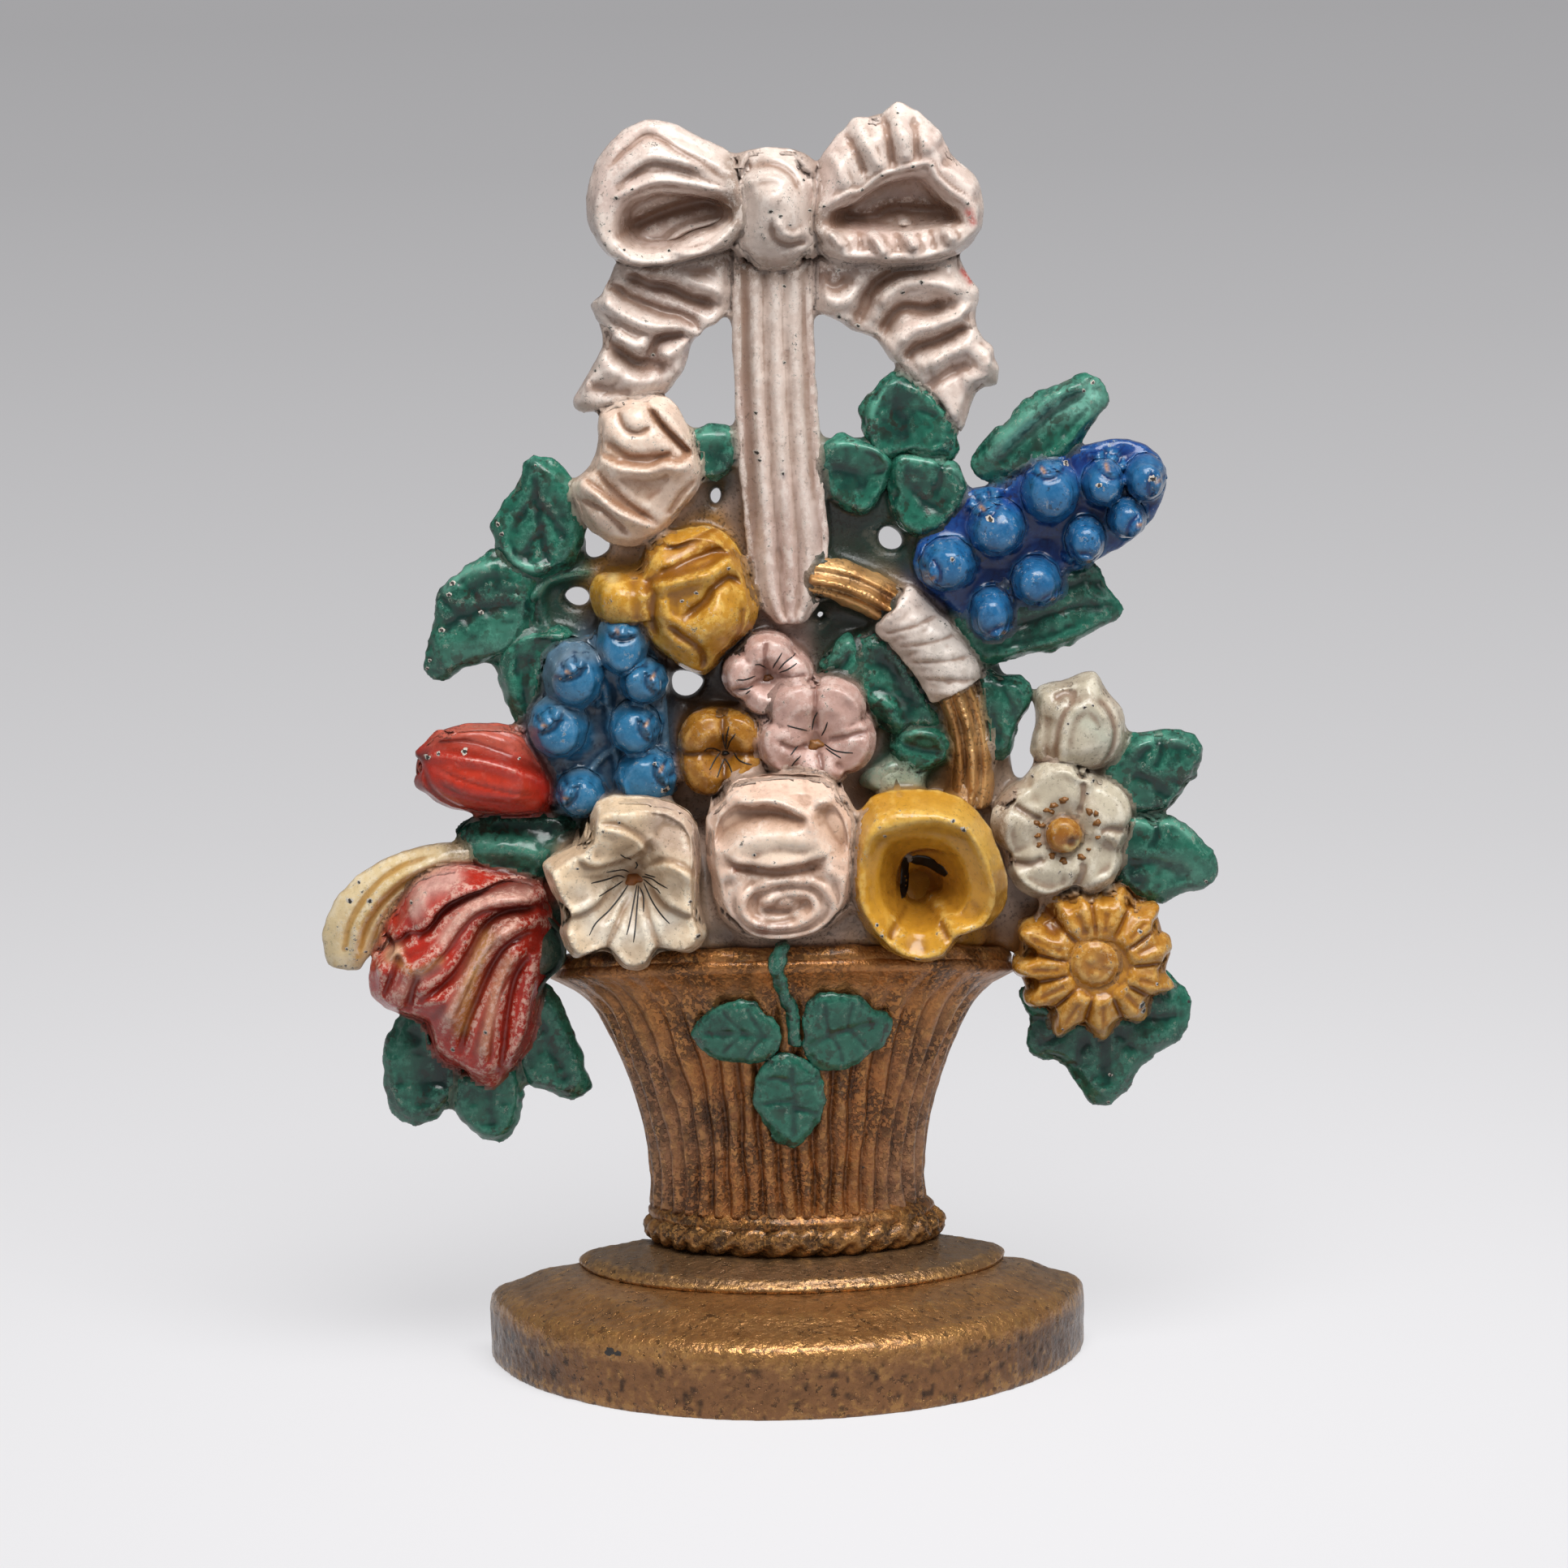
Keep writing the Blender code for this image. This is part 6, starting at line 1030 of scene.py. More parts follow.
class Form:
    """The points of a piece in millimetres, while it is carved and painted."""

    def __init__(self, obj, paint):
        self.obj = obj
        self.body, self.shade = [linear(colour) for colour in PAINTS[paint][:2]]
        mesh = obj.data
        self.spots = np.empty(len(mesh.vertices) * 3, np.float32)
        mesh.vertices.foreach_get("co", self.spots)
        self.spots = self.spots.reshape(-1, 3).astype(float) / MM
        ends = np.empty(len(mesh.edges) * 2, np.int32)
        mesh.edges.foreach_get("vertices", ends)
        self.ends = ends.reshape(-1, 2)
        self.degree = np.bincount(self.ends.ravel(), minlength=len(self.spots))
        self.colour = np.tile(self.body, (len(self.spots), 1))
        self.read_normals()

    def write(self):
        self.obj.data.vertices.foreach_set("co", (self.spots * MM).astype(np.float32).ravel())
        self.obj.data.update()

    def read_normals(self):
        self.write()
        normals = np.empty(len(self.spots) * 3, np.float32)
        self.obj.data.vertex_normals.foreach_get("vector", normals)
        self.normals = normals.reshape(-1, 3).astype(float)
        self.facing = np.clip((-self.normals[:, 1] - 0.05) / 0.6, 0, 1)

    def relaxed(self, values, rounds, factor=0.5):
        """The values, each drawn towards the mean of its neighbours."""
        a, b = self.ends.T
        values = values.copy()
        for _ in range(rounds):
            mean = np.empty_like(values)
            for k in range(values.shape[1]):
                after, before = [np.bincount(p, values[q, k], len(values)) for p, q in ((a, b), (b, a))]
                mean[:, k] = after + before
            mean /= self.degree[:, None]
            values += factor * (mean - values)
        return values

    def swell(self, distance):
        self.spots += self.normals * distance
        self.spots[:, 1] = np.minimum(self.spots[:, 1], BACK)
        self.read_normals()

    def sheet(self):
        return self.spots[:, [0, 2]] - (0, LIFT)

    def near(self, line, reach):
        """Points of the form near a line on the sheet: their numbers, distance, share along, and side."""
        flat = self.sheet()
        low, high = line.min(0) - reach, line.max(0) + reach
        found = np.flatnonzero(((flat > low) & (flat < high)).all(1) & (self.facing > 0))
        if not len(found):
            return found, found.astype(float), found.astype(float), found.astype(float)
        away = flat[found][:, None] - line[None]
        gaps = (away**2).sum(2)
        nearest = gaps.argmin(1)
        ahead = np.gradient(line, axis=0) if len(line) > 1 else np.array([[1.0, 0]])
        part = away[np.arange(len(found)), nearest]
        side = ahead[nearest, 0] * part[:, 1] - ahead[nearest, 1] * part[:, 0]
        return found, np.sqrt(gaps.min(1)), nearest / max(1, len(line) - 1), np.sign(side)

    def raise_by(self, found, height):
        self.spots[found, 1] -= height * self.facing[found]

    def tone(self, found, colour, strength):
        self.colour[found] += (colour - self.colour[found]) * np.clip(strength, 0, 1)[:, None]

    def blend(self, colour, amount):
        """Draws the paint of every point towards a colour by its own amount."""
        self.colour += (linear(colour) - self.colour) * amount[:, None]

    def inside(self, points, soft):
        """Front points in or near a closed line: their numbers, and how far inside each lies."""
        line = smooth_line([*points, points[0]])
        flat = self.sheet()
        close = ((flat > line.min(0) - 2 * soft) & (flat < line.max(0) + 2 * soft)).all(1)
        found = np.flatnonzero(close & (self.facing > 0))
        gap = np.sqrt(((flat[found][:, None] - line[None]) ** 2).sum(2).min(1))
        return found, gap * np.where(within(flat[found], line), 1, -1)

    def mark(self, kind, *facts):
        *sizes, points = facts
        if kind in ("groove", "ridge"):
            width, height = sizes
            found, gap, along, _ = self.near(smooth_line(points), 3 * width)
            closed = points[0] == points[-1]
            taper = 1 if closed else np.clip(0.35 + 6 * np.minimum(along, 1 - along), 0, 1)
            bulk = np.exp(-((gap / width) ** 2)) * taper
            self.raise_by(found, bulk * (height if kind == "ridge" else -height))
            if kind == "groove":
                # A groove lays painted shade in the form's shade colour, stronger the deeper it is
                painted_shade = np.exp(-((gap / (1.25 * width)) ** 2)) * taper * min(0.75, 0.42 * height)
                self.tone(found, self.shade, painted_shade)
        elif kind == "edge":
            width, height, body = sizes
            line = smooth_line(points)
            found, gap, along, side = self.near(line, 3 * width)
            nearest = ((line - body) ** 2).sum(1).argmin()
            ahead = np.gradient(line, axis=0)[nearest]
            part = np.array(body) - line[nearest]
            inner = side * np.sign(ahead[0] * part[1] - ahead[1] * part[0]) > 0
            taper = np.clip(0.25 + 5 * np.minimum(along, 1 - along), 0, 1)
            bulk = np.where(inner, np.exp(-((gap / width) ** 2)), np.exp(-((gap / 0.4) ** 2))) * height
            under = np.where(inner, 0, np.exp(-(((gap - 1) / 0.8) ** 2)) * 0.35 * height)
            self.raise_by(found, (bulk - under) * taper)
            # Painted shadow under the lip, on its steep side
            painted_shade = np.where(inner, 0, np.exp(-(((gap - 0.9) / 0.9) ** 2)) * 0.7) * taper
            self.tone(found, self.shade, painted_shade)
        elif kind == "dome":
            wide, high, height = sizes
            flat = self.sheet()
            for x, z in points:
                away = ((flat[:, 0] - x) / wide) ** 2 + ((flat[:, 1] - z) / high) ** 2
                found = np.flatnonzero(away < 2)
                self.raise_by(found, height * np.exp(-1.6 * away[found] ** 1.3))
        elif kind == "plate":
            soft, height = sizes
            found, gap = self.inside(points, soft)
            self.raise_by(found, height * np.clip(0.5 + gap / soft / 2, 0, 1))
        elif kind == "grab":
            reach, across, up = sizes
            flat = self.sheet()
            for x, z in points:
                bulk = np.exp(-(((flat[:, 0] - x) ** 2 + (flat[:, 1] - z) ** 2) / reach**2))
                self.spots[:, 0] += bulk * across
                self.spots[:, 2] += bulk * up
        elif kind == "wash":
            colour, soft, strength = sizes
            found, gap = self.inside(points, soft)
            self.tone(found, linear(colour), strength * np.clip(0.5 + gap / soft / 2, 0, 1))
        elif kind == "tint":
            colour, width, strength = sizes
            found, gap, _, _ = self.near(smooth_line(points), 2.6 * width)
            self.tone(found, linear(colour), strength * np.exp(-((gap / width) ** 2)))

    def lumps(self, size, height, seed=0):
        self.spots += self.normals * (grain_noise(self.spots, size, seed) * height)[:, None]

    def finish(self, body="root", replaces=(), slot=None, hollow=None, rubbing=1.0, look=None):
        """Writes the points, their paint and how hollow each lies, and sets the piece on its body."""
        self.spots[:, 1] = np.minimum(self.spots[:, 1], BACK)
        self.read_normals()
        near = self.relaxed(self.spots, 4)
        wide = self.relaxed(near, 14)
        if hollow is None:
            fine, broad = [((mean - self.spots) * self.normals).sum(1) for mean in (near, wide)]
            hollow = fine / FINE_HOLLOW + broad / BROAD_HOLLOW
        mesh = self.obj.data
        paint = np.column_stack([self.colour, np.ones(len(self.colour))]).astype(np.float32)
        layer = mesh.attributes.new("paint", "FLOAT_COLOR", "POINT")
        layer.data.foreach_set("color", paint.ravel())
        layer = mesh.attributes.new("hollow", "FLOAT", "POINT")
        hollow = np.where(hollow < 0, hollow * rubbing, hollow)
        layer.data.foreach_set("value", np.clip(hollow, -1.5, 1.5).astype(np.float32))
        mesh.shade_smooth()
        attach(self.obj, body)
        if replaces:
            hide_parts(*replaces)
        if slot:
            self.obj.data.materials.clear()
            self.obj.data.materials.append(finish_of(slot, look or slot))
        return self.obj


def carved(name, paint, grain, rounds=8, bulge=0.35, marks=(), lumps=0.12, ragged=0.25):
    """A skinned copy of a solid, its outline roughened, chased with its marks, with painted shade on its
    sides.
    """
    form = Form(skin(name + "_form", [name], grain, rounds), paint)
    form.swell(bulge)
    side = 1 - np.abs(form.normals[:, 1])
    drawn_out = form.spots * (1, 0.4, 1)
    rough = grain_noise(drawn_out, 3.4, 5) + 0.5 * grain_noise(drawn_out, 1.5, 6)
    form.spots += form.normals * (1, 0, 1) * (ragged * rough * side)[:, None]
    # Painted shade on the sides that turn away from the front, fading out near the flat back
    front = np.clip((BACK - 1.5 - form.spots[:, 1]) / 2, 0, 1)
    form.colour += (form.shade - form.colour) * (0.55 * front * (1 - form.facing) ** 1.5)[:, None]
    for mark in [*MARKS.get(name, []), *marks]:
        form.mark(*mark)
    form.spots = form.relaxed(form.spots, 1)
    form.read_normals()
    form.lumps(5, lumps)
    form.lumps(1.6, lumps * 0.35, 3)
    if name.startswith(("bow_", "ribbon_")):
        form.spots[:, 1] = np.minimum(form.spots[:, 1], BOW_BACK)
    return form


# ---------------------------------------------------------------- finishes


class Finish:
    """Adds shader nodes to a material: a value is set, a socket is linked."""

    def __init__(self, name):
        self.material = bpy.data.materials.new(name)
        self.material.use_nodes = True
        self.tree = self.material.node_tree
        self.shader = self.tree.nodes["Principled BSDF"]
        self.place = self.node("ShaderNodeTexCoord", output=3)

    def set(self, socket, value):
        if isinstance(value, bpy.types.NodeSocket):
            self.tree.links.new(value, socket)
            return
        three = hasattr(value, "__len__") and len(value) == 3
        socket.default_value = (*value, 1) if three and len(socket.default_value) == 4 else value

    def node(self, kind, output=0, settings=(), **inputs):
        made = self.tree.nodes.new(kind)
        for key, value in dict(settings).items():
            setattr(made, key, value)
        for key, value in inputs.items():
            self.set(made.inputs[key.replace("_", " ")], value)
        return made.outputs[output]

    def noise(self, scale, detail=2.0, rough=0.55):
        return self.node("ShaderNodeTexNoise", Vector=self.place, Scale=scale, Detail=detail,
                         Roughness=rough)

    def between(self, value, low, high, to_low=0.0, to_high=1.0):
        return self.node("ShaderNodeMapRange", Value=value, From_Min=low, From_Max=high, To_Min=to_low,
                         To_Max=to_high)

    def times(self, a, b):
        made = self.tree.nodes.new("ShaderNodeMath")
        made.operation = "MULTIPLY"
        self.set(made.inputs[0], a)
        self.set(made.inputs[1], b)
        return made.outputs[0]

    def mix(self, factor, a, b):
        made = self.tree.nodes.new("ShaderNodeMix")
        made.data_type = "RGBA"
        self.set(made.inputs[0], factor)
        self.set(made.inputs[6], a)
        self.set(made.inputs[7], b)
        return made.outputs[2]


# How each kind of finish has aged and is shaded: mottling, its scale, pits, their scale, dirt with painted
# shade in the hollows, rub, gloss, metal
WEAR = {
    "bronze_paint": dict(mottle=0.4, scale=75, pits=0.95, pit_scale=1150, pit_from=0.52, shade_and_grime=0.95,
                         rub=0.55, chips=0.2, rough=(0.3, 0.5), metal=0.7, bump=1.3),
    "handle_bronze": dict(mottle=0.3, scale=120, pits=0.8, pit_scale=1300, pit_from=0.56, shade_and_grime=0.45,
                          rub=0.4, chips=0.1, rough=(0.3, 0.46), metal=0.55, bump=1.0),
    "plinth_bronze": dict(mottle=0.28, scale=170, pits=0.8, pit_scale=640, pit_from=0.6, shade_and_grime=0.5,
                          rub=0.35, chips=0.1, rough=(0.26, 0.42), metal=0.65, bump=1.7),
    "basket_bronze": dict(mottle=0.45, scale=150, pits=0.95, pit_scale=1050, pit_from=0.475, shade_and_grime=0.75,
                          rub=0.25, chips=0.1, rough=(0.3, 0.5), metal=0.6, bump=1.3),
    "leaf_green": dict(mottle=0.75, scale=130, pits=0.95, pit_scale=480, pit_from=0.53, shade_and_grime=0.75,
                       rub=0.3, chips=0.45, rough=(0.16, 0.3), metal=0, bump=0.25, rub_scale=900),
    "tulip_red": dict(rub_scale=820, mottle=0.3, scale=380, pits=0.3, pit_scale=1300, pit_from=0.62,
                      shade_and_grime=0.55, rub=0.8, chips=0.5, rough=(0.2, 0.34), metal=0, bump=0.35),
    "sky_blue": dict(mottle=0.2, scale=260, pits=0.5, pit_scale=1000, pit_from=0.6, shade_and_grime=0.75, rub=0.12,
                     chips=0.5, rough=(0.12, 0.24), metal=0, bump=0.15),
    "deep_blue": dict(mottle=0.3, scale=260, pits=0.8, pit_scale=900, pit_from=0.59, shade_and_grime=0.75, rub=0.12,
                      chips=0.5, rough=(0.12, 0.24), metal=0, bump=0.15),
    "ground_paint": dict(mottle=0.12, scale=240, pits=0.8, pit_scale=1500, pit_from=0.55, shade_and_grime=0.35,
                         rub=0.1, chips=0.2, rough=(0.3, 0.5), metal=0, bump=0.7),
}
PLAIN_WEAR = dict(mottle=0.22, scale=240, pits=0.5, pit_scale=1300, pit_from=0.6, shade_and_grime=0.7, rub=0.5,
                  chips=0.8, rough=(0.18, 0.34), metal=0, bump=0.3)
FINISHES = {}


def finish_of(slot, look):
    """Old enamel: mottled paint with dirt and painted shade in its hollows, rubbed crests and pits to the
    iron.
    """
    if look in FINISHES:
        return FINISHES[look]
    worn = WEAR.get(look, PLAIN_WEAR)
    shade, rubbed = linear(PAINTS[slot][1]), linear(PAINTS[slot][2])
    f = Finish(look)
    colour = f.node("ShaderNodeAttribute", settings={"attribute_name": "paint"})
    hollow = f.node("ShaderNodeAttribute", output=2, settings={"attribute_name": "hollow"})
    # Uneven paint: darker patches and lighter ones
    patches = f.between(f.noise(worn["scale"], 5, 0.7), 0.49, 0.6)
    colour = f.mix(f.times(patches, worn["mottle"]), colour, f.mix(0.75, colour, shade))
    lights = f.between(f.noise(worn["scale"] * 1.7, 3), 0.56, 0.72)
    colour = f.mix(f.times(lights, worn["mottle"] * 0.7), colour, f.mix(0.4, colour, rubbed))
    # Dirt and painted shade in the hollows, rubbed crests, and pits that come in swarms
    shade_and_grime = f.times(f.between(hollow, 0.05, 1.2), f.between(f.noise(500, 3), 0.3, 0.6, 0.55, 1.0))
    colour = f.mix(f.times(shade_and_grime, worn["shade_and_grime"]), colour, shade)
    rub = f.times(f.between(hollow, -0.15, -1.0),
                  f.between(f.noise(worn.get("rub_scale", 420), 5, 0.75), 0.46, 0.56))
    colour = f.mix(f.times(rub, worn["rub"]), colour, rubbed)
    pits = f.between(f.noise(worn["pit_scale"], 2, 0.6), worn["pit_from"], worn["pit_from"] + 0.06)
    swarms = f.between(f.noise(110, 3), 0.42, 0.62, 0.25, 1.0)
    pits = f.times(pits, swarms)
    colour = f.mix(f.times(pits, worn["pits"]), colour, f.mix(0.75, colour, linear(PIT_RUST)))
    # Gloss
    low, high = worn["rough"]
    f.set(f.shader.inputs["Roughness"], f.between(f.noise(300, 3), 0.35, 0.7, low, high))
    f.set(f.shader.inputs["Metallic"], worn["metal"])
    f.set(f.shader.inputs["Specular IOR Level"], 0.35)
    f.set(f.shader.inputs["Coat Weight"], 0.22)
    f.set(f.shader.inputs["Coat Roughness"], 0.15)
    # Flakes on proud places: a pale edge, and iron in the middle
    proud = f.times(f.between(hollow, -0.3, -0.8), f.between(f.noise(160, 2), 0.48, 0.56))
    flaked = f.noise(760, 4, 0.75)
    edge = f.times(f.between(flaked, 0.575, 0.6), f.times(proud, worn["chips"]))
    colour = f.mix(edge, colour, f.mix(0.5, rubbed, linear(FLAKE_EDGE)))
    bare = f.times(f.between(flaked, 0.61, 0.63), f.times(proud, worn["chips"]))
    colour = f.mix(bare, colour, linear(BARE_IRON))
    f.set(f.shader.inputs["Base Color"], colour)
    # Relief of the brushed paint and its pits
    relief = f.node("ShaderNodeMath", settings={"operation": "SUBTRACT"})
    f.set(relief.node.inputs[0], f.noise(700, 3))
    f.set(relief.node.inputs[1], f.times(pits, 0.6))
    bump = f.node("ShaderNodeBump", Strength=worn["bump"], Distance=0.25 * MM, Height=relief)
    f.set(f.shader.inputs["Normal"], bump)
    FINISHES[look] = f.material
    return f.material


def plain_paint(name, colour, rough=0.4):
    """A touch of paint with a little brushed unevenness."""
    if name in FINISHES:
        return FINISHES[name]
    f = Finish(name)
    tone = linear(colour)
    streaks = f.between(f.noise(900, 3), 0.4, 0.7)
    f.set(f.shader.inputs["Base Color"], f.mix(streaks, tone, tone * 0.6 + 0.01))
    f.set(f.shader.inputs["Roughness"], rough)
    FINISHES[name] = f.material
    return f.material


# ---------------------------------------------------------------- paint laid on the forms


def ground_of(name):
    """A finder of a finished form's front surface over a drawn point."""
    obj = bpy.data.objects[name + "_form"]
    mesh = obj.data
    mesh.calc_loop_triangles()
    tree = BVHTree.FromPolygons([v.co for v in mesh.vertices],
                                [tuple(t.vertices) for t in mesh.loop_triangles])

    def front(x, z):
        hit = tree.ray_cast(Vector((x * MM, -0.2, (z + LIFT) * MM)), Vector((0, 1, 0)))
        return hit[0], hit[1]

    return front


def brush_line(front, points, width, proud=0.07):
    """A flat brushed line that follows the form, thinning at its ends."""
    line = smooth_line(points, 0.5)
    rings = []
    for i, (x, z) in enumerate(line):
        ahead = line[min(i + 1, len(line) - 1)] - line[max(i - 1, 0)]
        ahead = ahead / max(1e-9, np.linalg.norm(ahead))
        share = i / max(1, len(line) - 1)
        half = width / 2 * (0.45 + 0.55 * min(1, 5 * min(share, 1 - share) + 0.15))
        across = np.array([-ahead[1], ahead[0]]) * half
        ring = []
        for side, rise in ((-1, -0.06), (-0.6, proud), (0.6, proud), (1, -0.06), (0, -0.15)):
            spot, normal = front(x + across[0] * side, z + across[1] * side)
            if spot is None:
                return None
            ring.append(spot + normal * rise * MM)
        rings.append(ring)
    return loft(rings)


def gather(bms, name):
    """One piece of several small bodies."""
    whole = bmesh.new()
    for bm in bms:
        mesh = bpy.data.meshes.new("part")
        bm.to_mesh(mesh)
        bm.free()
        whole.from_mesh(mesh)
        bpy.data.meshes.remove(mesh)
    return add_piece(name, whole)


def patch(front, x, z, size, seed, proud=0.05, sides=14, dish=0.0):
    """A small ragged patch lying on the form, hollow in the middle if dished."""
    bm = bmesh.new()
    bmesh.ops.create_circle(bm, cap_ends=True, cap_tris=True, segments=sides, radius=1)
    bmesh.ops.subdivide_edges(bm, edges=bm.edges, cuts=1)
    for vert in bm.verts:
        reach, angle = vert.co.xy.length, math.atan2(vert.co.y, vert.co.x)
        ragged = 1 + 0.16 * math.sin(2 * angle + seed)
        ragged = ragged + 0.1 * math.sin(3 * angle + 1.7 * seed) + 0.1 * math.sin(5 * angle + 2.3 * seed)
        spot, normal = front(x + vert.co.x * size * 0.5 * ragged,
                             z + vert.co.y * size * 0.5 * ragged * 0.85)
        if spot is None:
            bm.free()
            return None
        rise = -0.05 if reach > 0.95 else proud - dish * (1 - reach)
        vert.co = spot + normal * rise * MM
    faces = list(bm.faces)
    bmesh.ops.recalc_face_normals(bm, faces=faces)
    if sum((f.normal.y for f in faces)) > 0:
        bmesh.ops.reverse_faces(bm, faces=faces)
    bmesh.ops.solidify(bm, geom=faces, thickness=0.12 * MM)
    bmesh.ops.recalc_face_normals(bm, faces=bm.faces)
    return bm


# ---------------------------------------------------------------- sizes and colours to change


class CastingSizes(bpy.types.PropertyGroup):
    skin_grain: FloatProperty(name="Skin grain", description="Spacing of the carved skin's points",
                              default=0.5 * MM, unit="LENGTH", min=0.3 * MM)
    flower_grain: FloatProperty(name="Flower grain", description="Spacing on the front flowers",
                                default=0.45 * MM, unit="LENGTH", min=0.3 * MM)
    ground_grain: FloatProperty(name="Ground grain", description="Spacing on the ground between the forms",
                                default=1.0 * MM, unit="LENGTH", min=0.5 * MM)
    rope_strands: IntProperty(name="Rope strands", description="Strands round the half-round rope",
                              default=16, min=6)
    basket_ribs: IntProperty(name="Basket ribs", description="Ribs over the basket's front", default=20,
                             min=5)
    rib_depth: FloatProperty(name="Rib depth", description="Depth of the hollows between the ribs",
                             default=0.8 * MM, unit="LENGTH")
    stroke_width: FloatProperty(name="Stroke width", description="Width of the fine black strokes",
                                default=0.42 * MM, unit="LENGTH")


class StageSettings(bpy.types.PropertyGroup):
    camera_place: FloatVectorProperty(name="Camera", description="Where the camera stands",
                                      default=(0.0015, -1.273, 0.380), subtype="TRANSLATION", unit="LENGTH")
    camera_pitch: FloatProperty(name="Pitch", description="How far the camera looks down",
                                default=math.radians(11.03), subtype="ANGLE", unit="ROTATION")
    camera_roll: FloatProperty(name="Roll", description="How far the camera leans",
                               default=math.radians(-1.1), subtype="ANGLE", unit="ROTATION")
    lens: FloatProperty(name="Lens", description="Focal length in millimetres", default=140.7, min=20)
    top_light: FloatProperty(name="Top light", description="Power of the large light above", default=9.2,
                             unit="POWER")
    side_light: FloatProperty(name="Side light", description="Power of the right light; the left has half",
                              default=2.4, unit="POWER")
    air_light: FloatProperty(name="Air light", description="Strength of the light from all round",
                             default=0.24)
    floor_bounce: FloatVectorProperty(name="Bounce",
                                      description="What the floor sends back up to the object",
                                      default=(0.36, 0.36, 0.37), subtype="COLOR")


def sizes():
    return bpy.context.scene.doorstop_sizes


# ---------------------------------------------------------------- the operators


class DOORSTOP_OT_plinth(bpy.types.Operator):
    """Makes the half-round plinth, rough from the mould, and the step on it"""

    bl_idname = "doorstop.plinth"
    bl_label = "Plinth and Step"

    def execute(self, context):
        form = carved("plinth", "bronze_paint", 0.7, rounds=16, bulge=0.5, lumps=0.12, ragged=0.12)
        form.lumps(1.3, 0.07, 5)
        # Brightest on the top's front, greyer to the back, painted shade on the sides, darker still at
        # their ends
        form.colour[:] = linear((168, 120, 72))
        back = np.clip((form.spots[:, 1] - 4) / 18, 0, 1)
        form.blend((140, 116, 94), 0.7 * back)
        # Painted shade on the front face below the top's edge, and more on the ends that turn away
        side = np.clip((13.5 - form.spots[:, 2]) / 3, 0, 1)
        form.blend((124, 84, 54), 0.8 * side)
        ends = np.clip((np.abs(form.spots[:, 0]) - 40) / 18, 0, 1) * side
        form.blend((84, 66, 56), 0.85 * ends)
        pits = np.clip((grain_noise(form.spots, 1.5, 12) - 0.45) * 5, 0, 1) * (0.15 + 0.6 * side)
        form.blend((38, 26, 20), pits)
        form.finish(replaces=["plinth"], slot="bronze_paint", look="plinth_bronze")
        form = carved("plinth_step", "bronze_paint", 0.45, rounds=6, bulge=0.5, lumps=0.12)
        # A bead round the step, and the groove over it
        rise, side = form.spots[:, 2], 1 - np.abs(form.normals[:, 2])
        out = 0.7 * np.exp(-(((rise - 21.8) / 0.8) ** 2)) - 0.9 * np.exp(-(((rise - 23.3) / 0.6) ** 2))
        form.spots += form.normals * (1, 1, 0) * (out * side)[:, None]
        form.colour[:] = linear((150, 110, 70))
        top = np.clip(form.normals[:, 2] * 1.4 - 0.3, 0, 1)
        form.blend((118, 94, 70), 0.7 * top)
        form.finish(replaces=["plinth_step"], slot="bronze_paint", look="plinth_bronze")
        return {"FINISHED"}


class DOORSTOP_OT_rope(bpy.types.Operator):
    """Makes the twisted rope moulding round the basket's foot"""

    bl_idname = "doorstop.rope"
    bl_label = "Rope Moulding"

    def execute(self, context):
        low, high = [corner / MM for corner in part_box("rope_band")]
        strands = sizes().rope_strands
        # Rings along the half-round way, each swelling and thinning as the strands pass over it
        radius = (high.z - low.z) / 2 - 0.45
        middle = Vector(((low.x + high.x) / 2, BACK, low.z + radius - 0.1))
        wide, deep = (high.x - low.x) / 2 - radius + 0.1, high.y - low.y - radius + 0.1
        count, around = strands * 12, 20
        rings = []
        for i in range(count + 1):
            angle = math.pi * i / count
            ring = []
            for k in range(around):
                turn = 2 * math.pi * k / around
                phase = strands * angle + 1.3 * turn + 0.5 * math.sin(5 * angle)
                thick = radius * (0.64 + 0.38 * abs(math.cos(phase)) ** 0.7)
                out_x, out_y = wide + thick * math.cos(turn), deep + thick * math.cos(turn)
                across, back = middle.x + out_x * math.cos(angle), BACK - out_y * math.sin(angle)
                ring.append(Vector((across, back, middle.z + thick * math.sin(turn))) * MM)
            rings.append(ring)
        form = Form(add_piece("rope_moulding_form", loft(rings)), "bronze_paint")
        form.colour[:] = linear((150, 104, 56))
        form.lumps(2.5, 0.1)
        form.finish(replaces=["rope_band"], slot="bronze_paint", look="basket_bronze")
        # The foot under the basket: out from its half sizes, and height
        rings = []
        profile = [(1.2, 25.4), (1.6, 30), (2.6, 32), (2.4, 33), (1.7, 33.8), (0.8, 34.6), (-0.6, 35.2),
                   (-2, 35.6), (-4, 35.6), (-4, 25.4)]
        for i in range(97):
            angle = math.pi * i / 96
            ring = []
            for out, z in profile:
                across = middle.x - 1.2 * (z - 25) / 13 + (FOOT[0] + out) * math.cos(angle)
                ring.append(Vector((across, BACK - (FOOT[1] + out) * math.sin(angle), z)) * MM)
            rings.append(ring)
        form = Form(add_piece("basket_foot_form", loft(rings)), "bronze_paint")
        form.lumps(2.4, 0.25, 4)
        form.colour += (form.shade - form.colour) * 0.3
        form.finish(replaces=["basket_foot"], slot="bronze_paint", look="basket_bronze")
        return {"FINISHED"}


